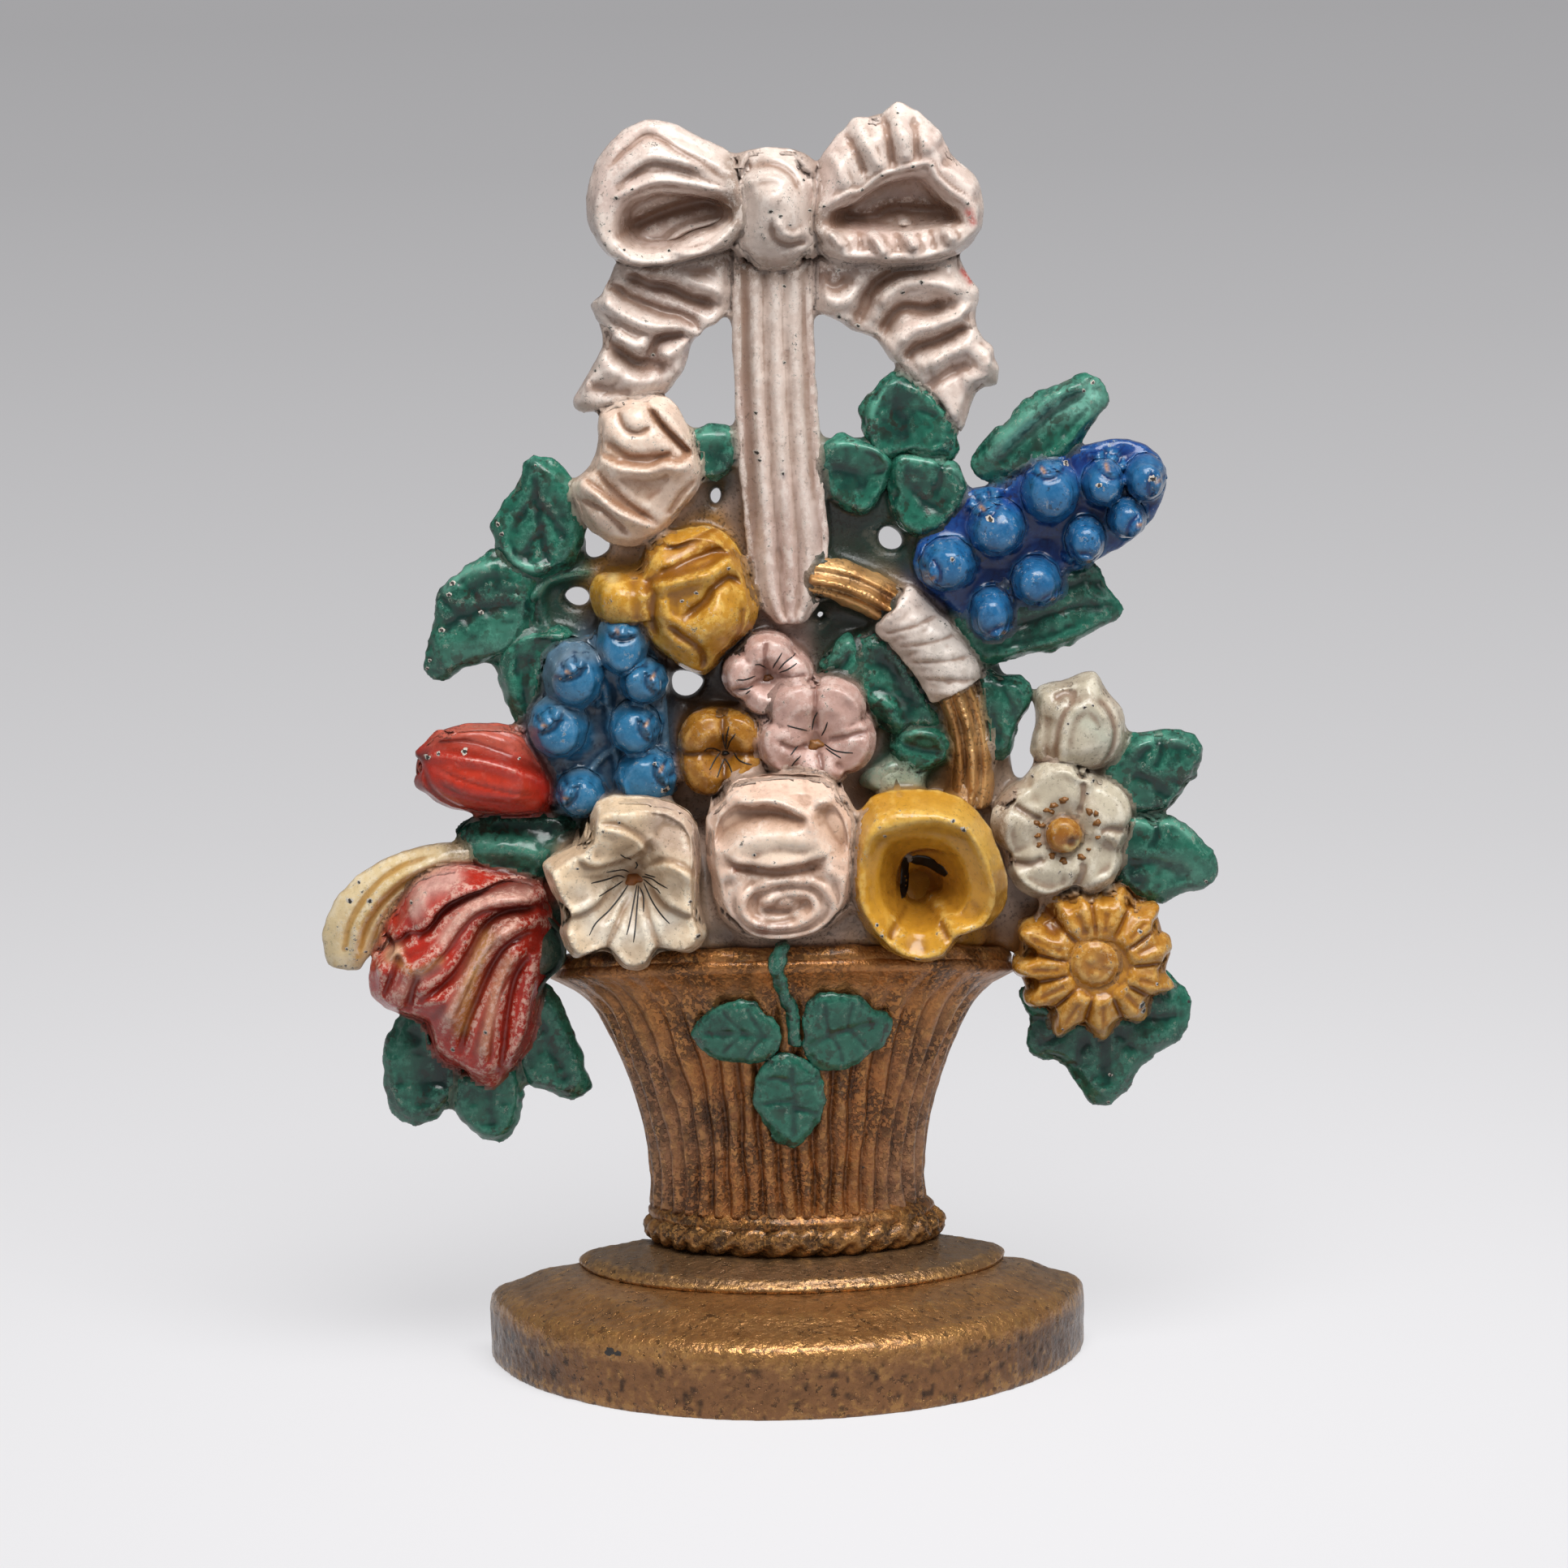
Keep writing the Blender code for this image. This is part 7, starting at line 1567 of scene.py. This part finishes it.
class DOORSTOP_OT_basket(bpy.types.Operator):
    """Makes the basket's ribbed, flaring wall and its sloping rim"""

    bl_idname = "doorstop.basket"
    bl_label = "Basket"

    def execute(self, context):
        ribs, depth = sizes().basket_ribs, sizes().rib_depth / MM
        low, high = [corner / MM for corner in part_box("basket_body")]
        flare = [(0, 0), (0.27, 0.05), (0.48, 0.16), (0.68, 0.33), (0.84, 0.52), (0.94, 0.74), (1, 1)]
        slopes = smooth_line(flare, 0.02)
        rim = high.z - RIM_RISE

        # The way along the wall at half its height, so that the ribs come out evenly wide
        half_wide, half_deep = 31, 17.5
        turns = np.linspace(0, math.pi, 400)
        steps = np.hypot(half_wide * np.sin(turns[1:]), half_deep * np.cos(turns[1:]))
        run = np.concatenate([[0], np.cumsum(steps)])
        run *= math.pi * ribs / run[-1]

        def crest(angle, share):
            wobble = 0.34 * math.sin(7 * share + 5 * angle) + 0.16 * math.sin(19 * share + 13 * angle)
            inward = min(1, 6 * angle, 6 * (math.pi - angle))
            return abs(math.cos(np.interp(angle, turns, run) + wobble * inward))

        def wall(angle, share, inset, ribbed):
            part = np.interp(share, slopes[:, 0], slopes[:, 1])
            rib = (2 * crest(angle, share) ** 1.1 - 1.1) * depth * ribbed
            wide = FOOT[0] + (MOUTH[0] - FOOT[0]) * part - inset + rib
            deep = FOOT[1] + (MOUTH[1] - FOOT[1]) * part - inset + rib
            out = deep * math.sin(angle)
            top = rim + RIM_RISE * out / MOUTH[1]
            return Vector((ASIDE + wide * math.cos(angle), BACK - out, low.z + (top - low.z) * share)) * MM

        # Rings run up the outside, over the lip and down the inside, 5 mm in
        rings, hollow, thick = [], [], 5
        count = ribs * 16
        outer = [*(i / 56 for i in range(57)), 1.025, 1.05]
        inner = (1, 0.9, 0.8, 0.65, 0.48, 0.3, 0.15, 0)
        inset_at = ((0, 0.03, 0.1, 0.9, 1, 1.025, 1.05), (-1.2, -0.6, -0.1, -0.1, -0.7, -0.2, 1.4))
        for i in range(count + 1):
            angle = math.pi * i / count
            fade = [min(1, s / 0.04 + 0.4) * min(1, max(0, (1.02 - s) / 0.24)) for s in outer]
            outside = [wall(angle, s, np.interp(s, *inset_at), f) for s, f in zip(outer, fade)]
            rings.append(outside + [wall(angle, s, thick, 0) for s in inner])
            # How hollow the grooves between the ribs lie, where the finish lays dirt and painted shade
            between_ribs = [(0.42 - crest(angle, s)) * 2.2 * f for s, f in zip(outer, fade)]
            hollow.append(between_ribs + [0] * len(inner))
        form = Form(add_piece("basket_body_form", loft(rings)), "bronze_paint")
        hollow = np.array(hollow).ravel() + 0.3 * grain_noise(form.spots, 3, 8)
        form.lumps(2.2, 0.16)
        form.lumps(0.9, 0.06, 2)
        form.colour[:] = linear((164, 104, 54))
        # Pink and dark patches, greyer at the sides, painted light on the wall's top under the rim, painted
        # shade round the sprig
        pink = grain_noise(form.spots, 14, 4)
        form.blend((156, 108, 72), np.clip(pink + 0.2, 0, 0.8))
        side = np.clip((form.spots[:, 1] - 12) / 12, 0, 1)
        form.blend((146, 118, 98), 0.6 * side)
        dark = np.clip(grain_noise(form.spots, 9, 9) * 1.4 - 0.35, 0, 0.6)
        form.blend((92, 54, 26), dark)
        # Painted light: the wall's top under the rim is lightened
        upper = np.clip((form.spots[:, 2] - 66) / 14, 0, 1)
        form.blend((196, 134, 70), 0.45 * upper)
        # Painted shade round the three sprig leaves that lie on the wall
        flat = form.sheet()
        for x, z, wide in ((-9, 76, 11), (13, 76, 12), (2, 61, 9)):
            gap = np.hypot(flat[:, 0] - x, flat[:, 1] - z)
            form.blend((70, 40, 22), 0.22 * np.exp(-((gap / wide) ** 4)))
        form.finish(replaces=["basket_body"], slot="bronze_paint", hollow=hollow, look="basket_bronze")
        form = carved("basket_rim", "bronze_paint", 0.5, rounds=14, bulge=0.5, lumps=0.2)
        form.colour[:] = linear((166, 110, 58))
        # The rim band draws in under its sloping edge
        over = form.spots[:, 2] - (84.5 + RIM_RISE * (BACK - form.spots[:, 1]) / MOUTH[1])
        form.spots -= form.normals * (1, 1, 0) * (1.3 * np.clip(1 - over / 3, 0, 1))[:, None]
        form.lumps(2.6, 0.3, 6)
        blotches = grain_noise(form.spots, 5, 8) * 2.4 + grain_noise(form.spots, 1.4, 9) * 1.5
        dark = np.clip(blotches - 0.25, 0, 0.85)
        form.blend((70, 42, 24), dark)
        form.finish(replaces=["basket_rim"], slot="bronze_paint", look="basket_bronze")
        return {"FINISHED"}


def arch(offset, start, end, count=14):
    """Points along the handle's arch on the sheet, a little in or out from its middle line."""
    line = []
    for i in range(count + 1):
        angle = math.radians(start + (end - start) * i / count)
        wide, high = [radius + offset for radius in ARCH_RADII]
        line.append((ARCH_MIDDLE[0] + wide * math.cos(angle), ARCH_MIDDLE[1] + high * math.sin(angle)))
    return line


class DOORSTOP_OT_handle(bpy.types.Operator):
    """Makes the ribbed handle and the ribbon wound round it"""

    bl_idname = "doorstop.handle"
    bl_label = "Handle and Wrap"

    def execute(self, context):
        marks = []
        for offset in (-3.2, 0.1, 3.3):
            marks.append(("ridge", 1.2, 0.7, arch(offset, 84, -12)))
        for offset in (-1.6, 1.9):
            marks.append(("groove", 0.5, 0.8, arch(offset, 84, -12)))
        marks.append(("groove", 0.4, 0.3, arch(3.4, 70, 10)))
        form = carved("basket_handle", "bronze_paint", 0.45, rounds=5, marks=marks, lumps=0.35)
        form.blend((222, 174, 116), np.clip(grain_noise(form.spots, 6, 3) + 0.8, 0, 1))
        form.finish(replaces=["basket_handle"], slot="bronze_paint", look="handle_bronze")
        marks = [("tint", (204, 194, 184), 9, 0.9, [(36, 157), (42, 148)])]
        for i in range(5):
            low, high = arch(-5, 54 - 7 * i, 53 - 7 * i, 1)[0], arch(5.4, 45 - 7 * i, 44 - 7 * i, 1)[0]
            middle = ((low[0] + high[0]) / 2 + 0.5, (low[1] + high[1]) / 2)
            marks.append(("groove", 0.6, 0.5, [low, middle, high]))
        form = carved("handle_wrap", "ribbon_cream", 0.45, rounds=8, marks=marks, lumps=0.35, ragged=0.5)
        form.finish(replaces=["handle_wrap"], slot="ribbon_cream")
        return {"FINISHED"}


class DOORSTOP_OT_bow(bpy.types.Operator):
    """Makes the bow: knot, two loops, two folded tails and the fluted ribbon down its middle"""

    bl_idname = "doorstop.bow"
    bl_label = "Ribbon Bow"

    def execute(self, context):
        for name in ("bow_loop_left", "bow_loop_right", "bow_knot", "bow_tail_left", "bow_tail_right",
                     "ribbon_stem"):
            form = carved(name, "ribbon_cream", sizes().skin_grain / MM, rounds=8)
            warm = np.clip(grain_noise(form.spots, 9, 2) * 0.6, 0, 0.4)
            form.blend((206, 176, 166), warm)
            form.finish(replaces=[name], slot="ribbon_cream")
        return {"FINISHED"}


def flower(name, paint, grain=None, rounds=8, **more):
    """One carved flower, painted and set in place."""
    form = carved(name, paint, grain or sizes().skin_grain / MM, rounds=rounds, **more)
    return form.finish(replaces=[name], slot=paint)


class DOORSTOP_OT_roses(bpy.types.Operator):
    """Makes the cream rosebud and the yellow rose under it"""

    bl_idname = "doorstop.roses"
    bl_label = "Rosebud and Yellow Rose"

    def execute(self, context):
        flower("rosebud", "rosebud_cream")
        flower("yellow_rose", "yellow_paint")
        return {"FINISHED"}


class DOORSTOP_OT_front_flowers(bpy.types.Operator):
    """Makes the three large flowers over the rim: petunia, rose and trumpet"""

    bl_idname = "doorstop.front_flowers"
    bl_label = "Front Flowers"

    def execute(self, context):
        grain = sizes().flower_grain / MM
        flower("cream_petunia", "petunia_cream", grain)
        flower("pink_rose", "rose_pink", grain)
        flower("yellow_trumpet", "yellow_paint", grain)
        return {"FINISHED"}


class DOORSTOP_OT_small_flowers(bpy.types.Operator):
    """Makes the two mauve primroses and the ochre pansy"""

    bl_idname = "doorstop.small_flowers"
    bl_label = "Small Flowers"

    def execute(self, context):
        flower("mauve_primrose_lower", "mauve_paint", 0.42, 6)
        flower("mauve_primrose_upper", "mauve_paint", 0.42, 6)
        flower("ochre_pansy", "ochre_paint", 0.42, 6)
        return {"FINISHED"}


class DOORSTOP_OT_blossom(bpy.types.Operator):
    """Makes the white blossom with its eye, the bud over it and the golden daisy"""

    bl_idname = "doorstop.blossom"
    bl_label = "Blossom, Bud and Daisy"

    def execute(self, context):
        flower("white_blossom", "blossom_white")
        flower("blossom_eye", "ochre_paint", 0.3, 5)
        flower("white_bud", "blossom_white")
        petals = [(112, 14.9), (82, 14.7), (44, 16.8), (20, 16.4), (-19, 16.8), (-49, 16), (-87, 16.6),
                  (-121, 17.6), (-153, 17), (-178, 17.2), (156, 17.8)]
        marks = [("dome", 3, 2.6, -2.2, [(57.6, 100.4), (58.6, 97)]),
                 ("tint", (110, 62, 26), 2.2, 0.8, [(57.6, 100.4), (59, 97)])]

        def from_heart(way, *reaches):
            return [(DAISY_HEART[0] + r * way[0], DAISY_HEART[1] + r * way[1]) for r in reaches]

        for (way, tip), (after, _) in zip(petals, petals[1:] + petals[:1]):
            between = math.radians(way - ((way - after) % 360) / 2)
            way = math.radians(way)
            along, across = (math.cos(way), math.sin(way)), (math.cos(between), math.sin(between))
            crest = [share * tip for share in (0.36, 0.6, 0.8, 0.94)]
            vein = [share * tip for share in (0.5, 0.66, 0.84)]
            marks.append(("ridge", 2.7, 1.2, from_heart(along, *crest)))
            marks.append(("groove", 0.8, 0.7, from_heart(along, *vein)))
            marks.append(("groove", 0.5, 1.3, from_heart(across, 7, 10, 14, 19)))
            marks.append(("grab", 1.7, -1.9 * across[0], -1.9 * across[1], from_heart(across, 16)))
            longer = tip - 15.4
            marks.append(("grab", 1.8, longer * along[0], longer * along[1], from_heart(along, 16)))
        flower("golden_daisy", "daisy_gold", 0.42, marks=marks)
        flower("daisy_eye", "daisy_gold", 0.35, 5)
        return {"FINISHED"}


class DOORSTOP_OT_tulips(bpy.types.Operator):
    """Makes the red tulip bud, the parrot tulip and its pale outer petal"""

    bl_idname = "doorstop.tulips"
    bl_label = "Tulips"

    def execute(self, context):
        form = carved("red_tulip_bud", "tulip_red", sizes().skin_grain / MM)
        form.finish(replaces=["red_tulip_bud"], slot="tulip_red", rubbing=0.08)
        flower("parrot_tulip", "tulip_red")
        flower("parrot_tulip_outer_petal", "tulip_cream")
        return {"FINISHED"}


class DOORSTOP_OT_bells(bpy.types.Operator):
    """Makes the two spikes of blue bells, each bell round with a curled mouth"""

    bl_idname = "doorstop.bells"
    bl_label = "Blue Bells"

    def execute(self, context):
        grounds = {
            "bluebell_spike_left": ("sky_blue", (92, 116, 134)),
            "bluebell_spike_right": ("deep_blue", (24, 62, 134)),
        }
        for name, (paint, between) in grounds.items():
            form = carved(name, paint, 0.45, rounds=6)
            flat = form.sheet()
            open_ground = np.ones(len(flat))
            for x, z, wide, high, mouth_x, mouth_z in BELLS[name]:
                form.mark("dome", wide * 1.28, high * 1.28, 3.3, [(x, z)])
                reach = max(1e-6, math.hypot(mouth_x - x, mouth_z - z))
                u = ((mouth_x - x) / reach, (mouth_z - z) / reach)

                def at(along, across):
                    ahead = reach + along
                    return x + ahead * u[0] - across * u[1], z + ahead * u[1] + across * u[0]

                throat = [at(0, -3.6), at(-1.2, -2.2), at(-1.8, 0), at(-1.2, 2.2), at(0, 3.6)]
                form.mark("groove", 0.6, 0.9, throat)
                for side in (-1, 0, 1):
                    tip = at(2.2 - 0.6 * abs(side), 3.5 * side)
                    form.mark("ridge", 1.4, 1.7, [at(-0.6, 1.8 * side), at(0.6, 2.8 * side), tip])
                form.mark("groove", 0.5, 0.7, [at(0.6, 1.2), at(2.4, 1.8)])
                form.mark("groove", 0.5, 0.7, [at(0.6, -1.2), at(2.4, -1.8)])
                form.mark("tint", (206, 146, 78), 0.4, 0.8, [at(-0.2, 0.9), at(0.3, 1.2)])
                gap = ((flat[:, 0] - x) / (wide + 0.8)) ** 2 + ((flat[:, 1] - z) / (high + 0.8)) ** 2
                lip = np.hypot(flat[:, 0] - mouth_x, flat[:, 1] - mouth_z) / 3.4
                clear = np.clip((np.minimum(gap, lip**2) - 0.75) / 0.5, 0, 1)
                open_ground = np.minimum(open_ground, clear)
            form.blend(between, 0.85 * open_ground)
            form.finish(replaces=[name], slot=paint)
        return {"FINISHED"}


class DOORSTOP_OT_leaves(bpy.types.Operator):
    """Makes the green leaves, mottled dark over light, and the sprig on the basket"""

    bl_idname = "doorstop.leaves"
    bl_label = "Leaves and Sprig"

    def execute(self, context):
        for name in sorted(frame["nodes"]):
            if name.startswith("leaf_"):
                flower(name, "leaf_green", rounds=7, lumps=0.42, ragged=0.8)
            elif name.startswith("sprig_"):
                flower(name, "leaf_green", 0.4, 5, bulge=0.3, lumps=0.25, ragged=0.9)
        return {"FINISHED"}


class DOORSTOP_OT_ground(bpy.types.Operator):
    """Makes the ground that all the flowers grow from, with soft fillets, and its flat iron back"""

    bl_idname = "doorstop.ground"
    bl_label = "Ground and Back"

    def execute(self, context):
        apart = ("plinth", "basket_", "rope_", "sprig_")
        names = [n for n in sorted(frame["nodes"]) if not n.startswith(apart) or n == "basket_handle"]
        form = Form(skin("backing_web_form", names, sizes().ground_grain / MM, 30), "ground_paint")
        form.swell(0.4)
        # All the forms that stand on the ground, as one mesh that knows whose face is whose
        corners, faces, owner, paints = [], [], [], []
        for name in names:
            piece = bpy.data.objects.get(name + "_form")
            if piece is None or piece == form.obj:
                continue
            mesh = piece.data
            mesh.calc_loop_triangles()
            hue = np.empty(len(mesh.vertices) * 4, np.float32)
            mesh.attributes["paint"].data.foreach_get("color", hue)
            first = len(corners)
            corners += [v.co / MM for v in mesh.vertices]
            faces += [tuple(k + first for k in t.vertices) for t in mesh.loop_triangles]
            owner += [len(paints)] * len(mesh.loop_triangles)
            paints.append(hue.reshape(-1, 4)[:, :3])
        paints = np.vstack(paints)
        tree = BVHTree.FromPolygons(corners, faces)
        colours = np.empty_like(form.colour)
        # Under a form the ground sinks out of sight; at a form's edge it laps a little over it
        sunk, lap, around = 0.5, 0.2, ((0, 0), (1.3, 0), (-1.3, 0), (0, 1.3), (0, -1.3))
        for i, spot in enumerate(form.spots):
            colours[i] = paints[faces[tree.find_nearest(Vector(spot))[2]][0]]
            if form.normals[i, 1] > 0.3:
                continue
            hits = [tree.ray_cast(Vector((spot[0] + x, -200, spot[2] + z)), Vector((0, 1, 0)))
                    for x, z in around]
            if hits[0][0]:
                inside = all(hit[0] for hit in hits) and len({owner[hit[2]] for hit in hits}) == 1
                limit = max(hit[0].y for hit in hits) + sunk if inside else hits[0][0].y - lap
                form.spots[i, 1] = min(BACK, max(spot[1], limit))
        form.spots[form.normals[:, 1] > 0.6, 1] += sunk
        form.colour = form.relaxed(colours, 8)
        # Patchy brown: partly painted shade on the ground that lies back among the forms, partly brown
        # overspray
        form.blend((104, 82, 64), np.clip(0.14 + 0.3 * grain_noise(form.spots, 6, 7), 0, 1))
        for mark in MARKS["ground"]:
            form.mark(*mark)
        form.lumps(2, 0.1)
        rear = np.clip(form.normals[:, 1] * 2 - 0.4, 0, 1)
        form.blend(PAINTS["cast_iron_back"][0], rear)
        form.finish(replaces=["backing_web", "bouquet_mound"], slot="ground_paint")
        return {"FINISHED"}


class DOORSTOP_OT_brushwork(bpy.types.Operator):
    """Lays on the fine black strokes, the stamens and the dots round the blossom's eye"""

    bl_idname = "doorstop.brushwork"
    bl_label = "Brushwork"

    def execute(self, context):
        made = []
        for name, lines in STROKES.items():
            front = ground_of(name)
            made += [brush_line(front, line, sizes().stroke_width / MM) for line in lines]
        touches = {"fine_strokes": ((22, 18, 14), made)}
        for key, (colour, lines) in STAMENS.items():
            front = ground_of("yellow_trumpet")
            touches[key] = (colour, [brush_line(front, line, width, 0.14) for width, line in lines])
        for key, (name, x, z, size, colour) in EYES.items():
            touches[key] = (colour, [patch(ground_of(name), x, z, size, 1, 0.5, 18)])
        front = ground_of("white_blossom")
        dots = [patch(front, x, z, s * 1.2, i, 0.45, 16) for i, (x, z, s) in enumerate(BLOSSOM_DOTS)]
        touches["blossom_stamens"] = ((142, 92, 36), dots)
        for key, (colour, bms) in touches.items():
            bms = [bm for bm in bms if bm]
            if not bms:
                raise RuntimeError(f"{key}: no stroke reached its flower")
            obj = gather(bms, key)
            obj.data.materials.append(plain_paint(key, colour))
            obj.data.shade_smooth()
            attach(obj, "root")
        return {"FINISHED"}


class DOORSTOP_OT_chips(bpy.types.Operator):
    """Adds the chips where the paint has gone: a pale broken edge round dark iron"""

    bl_idname = "doorstop.chips"
    bl_label = "Paint Chips"

    def execute(self, context):
        rims, cores = [], []
        for name, spots in CHIPS.items():
            front = ground_of(name)
            for i, (x, z, size) in enumerate(spots):
                if name not in ("plinth", "basket_body"):
                    rims.append(patch(front, x, z, size * 1.45, i + x, 0.05))
                cores.append(patch(front, x + 0.05, z - 0.05, size, i + z, 0.11, dish=0.05))
        for key, colour, bms in (("chip_edges", (206, 196, 184), rims), ("chip_iron", (52, 46, 42), cores)):
            obj = gather([bm for bm in bms if bm], key)
            obj.data.materials.append(plain_paint(key, colour, 0.5))
            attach(obj, "root")
        return {"FINISHED"}


class DOORSTOP_OT_stage(bpy.types.Operator):
    """Sets up the pale floor, the soft studio lights and the camera"""

    bl_idname = "doorstop.stage"
    bl_label = "Stage"

    def execute(self, context):
        stage = context.scene.doorstop_stage
        bm = bmesh.new()
        bmesh.ops.create_grid(bm, x_segments=2, y_segments=2, size=9)
        floor = add_piece("floor", bm)
        # Paler near the doorstop; seen as a glow, and sent back up as a grey bounce
        f = Finish("studio_floor")
        reach = f.node("ShaderNodeVectorMath", output=1, settings={"operation": "LENGTH"})
        f.set(reach.node.inputs[0], f.place)
        ramp = f.tree.nodes.new("ShaderNodeValToRGB")
        ramp_reach = 5
        f.set(ramp.inputs[0], f.between(reach, 0, ramp_reach))
        stops = [(0.03, 240), (0.18, 236), (0.26, 234), (0.4, 229), (0.63, 223), (0.93, 218), (1.34, 211),
                 (1.94, 202), (2.87, 192), (4.32, 185)]
        while len(ramp.color_ramp.elements) < len(stops):
            ramp.color_ramp.elements.new(0.5)
        for element, (far, tone) in zip(ramp.color_ramp.elements, stops):
            element.position = far / ramp_reach
            element.color = (*linear((tone, tone - 1, tone + 1)), 1)
        glow = f.node("ShaderNodeEmission", Color=ramp.outputs[0], Strength=1.0)
        lit = f.node("ShaderNodeBsdfDiffuse", Color=ramp.outputs[0])
        seen = f.tree.nodes.new("ShaderNodeMixShader")
        seen.inputs[0].default_value = 0.3
        f.tree.links.new(glow, seen.inputs[1])
        f.tree.links.new(lit, seen.inputs[2])
        bounce = f.node("ShaderNodeBsdfDiffuse", Color=tuple(stage.floor_bounce))
        rays = f.tree.nodes.new("ShaderNodeLightPath")
        direct = f.node("ShaderNodeMath", settings={"operation": "MAXIMUM"})
        f.set(direct.node.inputs[0], rays.outputs["Is Camera Ray"])
        f.set(direct.node.inputs[1], rays.outputs["Is Glossy Ray"])
        whole = f.tree.nodes.new("ShaderNodeMixShader")
        f.set(whole.inputs[0], direct)
        f.tree.links.new(bounce, whole.inputs[1])
        f.tree.links.new(seen.outputs[0], whole.inputs[2])
        f.tree.links.new(whole.outputs[0], f.tree.nodes["Material Output"].inputs[0])
        floor.data.materials.append(f.material)

        def lamp(name, place, aim, size, power):
            light = bpy.data.lights.new(name, "AREA")
            light.shape, light.size, light.size_y, light.energy = "RECTANGLE", *size, power
            obj = bpy.data.objects.new(name, light)
            obj.location = place
            obj.rotation_euler = (Vector(aim) - Vector(place)).to_track_quat("-Z", "Y").to_euler()
            context.scene.collection.objects.link(obj)

        lamp("softbox_above", (0.12, -0.4, 0.9), (0, 0, 0.12), (0.65, 0.5), stage.top_light)
        lamp("softbox_left", (-1.3, -0.9, 0.7), (0, 0, 0.14), (0.6, 1.0), stage.side_light / 2)
        lamp("softbox_right", (1.2, -0.9, 0.9), (0, 0, 0.14), (0.6, 1.0), stage.side_light)
        world = bpy.data.worlds.new("studio_air")
        world.use_nodes = True
        air = world.node_tree.nodes["Background"]
        air.inputs[0].default_value = (0.97, 0.98, 1.0, 1)
        air.inputs[1].default_value = stage.air_light
        context.scene.world = world
        context.scene.view_settings.view_transform = "Standard"

        lens = bpy.data.cameras.new("camera")
        lens.sensor_width, lens.lens, lens.clip_start, lens.clip_end = 36, stage.lens, 0.05, 50
        camera = bpy.data.objects.new("camera", lens)
        pitch = Matrix.Rotation(math.pi / 2 - stage.camera_pitch, 4, "X")
        roll = Matrix.Rotation(stage.camera_roll, 4, "Z")
        camera.matrix_world = Matrix.Translation(stage.camera_place) @ (pitch @ roll)
        context.scene.collection.objects.link(camera)
        context.scene.camera = camera
        return {"FINISHED"}


OPERATORS = (
    DOORSTOP_OT_plinth, DOORSTOP_OT_rope, DOORSTOP_OT_basket, DOORSTOP_OT_handle, DOORSTOP_OT_bow,
    DOORSTOP_OT_roses, DOORSTOP_OT_front_flowers, DOORSTOP_OT_small_flowers, DOORSTOP_OT_blossom,
    DOORSTOP_OT_tulips, DOORSTOP_OT_bells, DOORSTOP_OT_leaves, DOORSTOP_OT_ground,
    DOORSTOP_OT_brushwork, DOORSTOP_OT_chips, DOORSTOP_OT_stage,
)


class DOORSTOP_PT_panel(bpy.types.Panel):
    """Lists the steps that make the doorstop"""

    bl_idname = "DOORSTOP_PT_panel"
    bl_label = "Doorstop"
    bl_space_type = "VIEW_3D"
    bl_region_type = "UI"
    bl_category = "Doorstop"

    def draw(self, context):
        for step in OPERATORS:
            self.layout.operator(step.bl_idname)
        for group in (context.scene.doorstop_sizes, context.scene.doorstop_stage):
            for key in group.__annotations__:
                self.layout.prop(group, key)


CLASSES = (CastingSizes, StageSettings, *OPERATORS, DOORSTOP_PT_panel)


def register():
    for cls in CLASSES:
        bpy.utils.register_class(cls)
    bpy.types.Scene.doorstop_sizes = PointerProperty(type=CastingSizes)
    bpy.types.Scene.doorstop_stage = PointerProperty(type=StageSettings)


def unregister():
    del bpy.types.Scene.doorstop_stage
    del bpy.types.Scene.doorstop_sizes
    for cls in reversed(CLASSES):
        bpy.utils.unregister_class(cls)


def main():
    register()
    for obj in [o for o in bpy.data.objects if o.name in ("Cube", "Light", "Camera")]:
        bpy.data.objects.remove(obj)
    bpy.ops.doorstop.plinth()
    bpy.ops.doorstop.rope()
    bpy.ops.doorstop.basket()
    bpy.ops.doorstop.handle()
    bpy.ops.doorstop.bow()
    bpy.ops.doorstop.roses()
    bpy.ops.doorstop.front_flowers()
    bpy.ops.doorstop.small_flowers()
    bpy.ops.doorstop.blossom()
    bpy.ops.doorstop.tulips()
    bpy.ops.doorstop.bells()
    bpy.ops.doorstop.leaves()
    bpy.ops.doorstop.ground()
    bpy.ops.doorstop.brushwork()
    bpy.ops.doorstop.chips()
    bpy.ops.doorstop.stage()


if __name__ == "__main__":
    main()
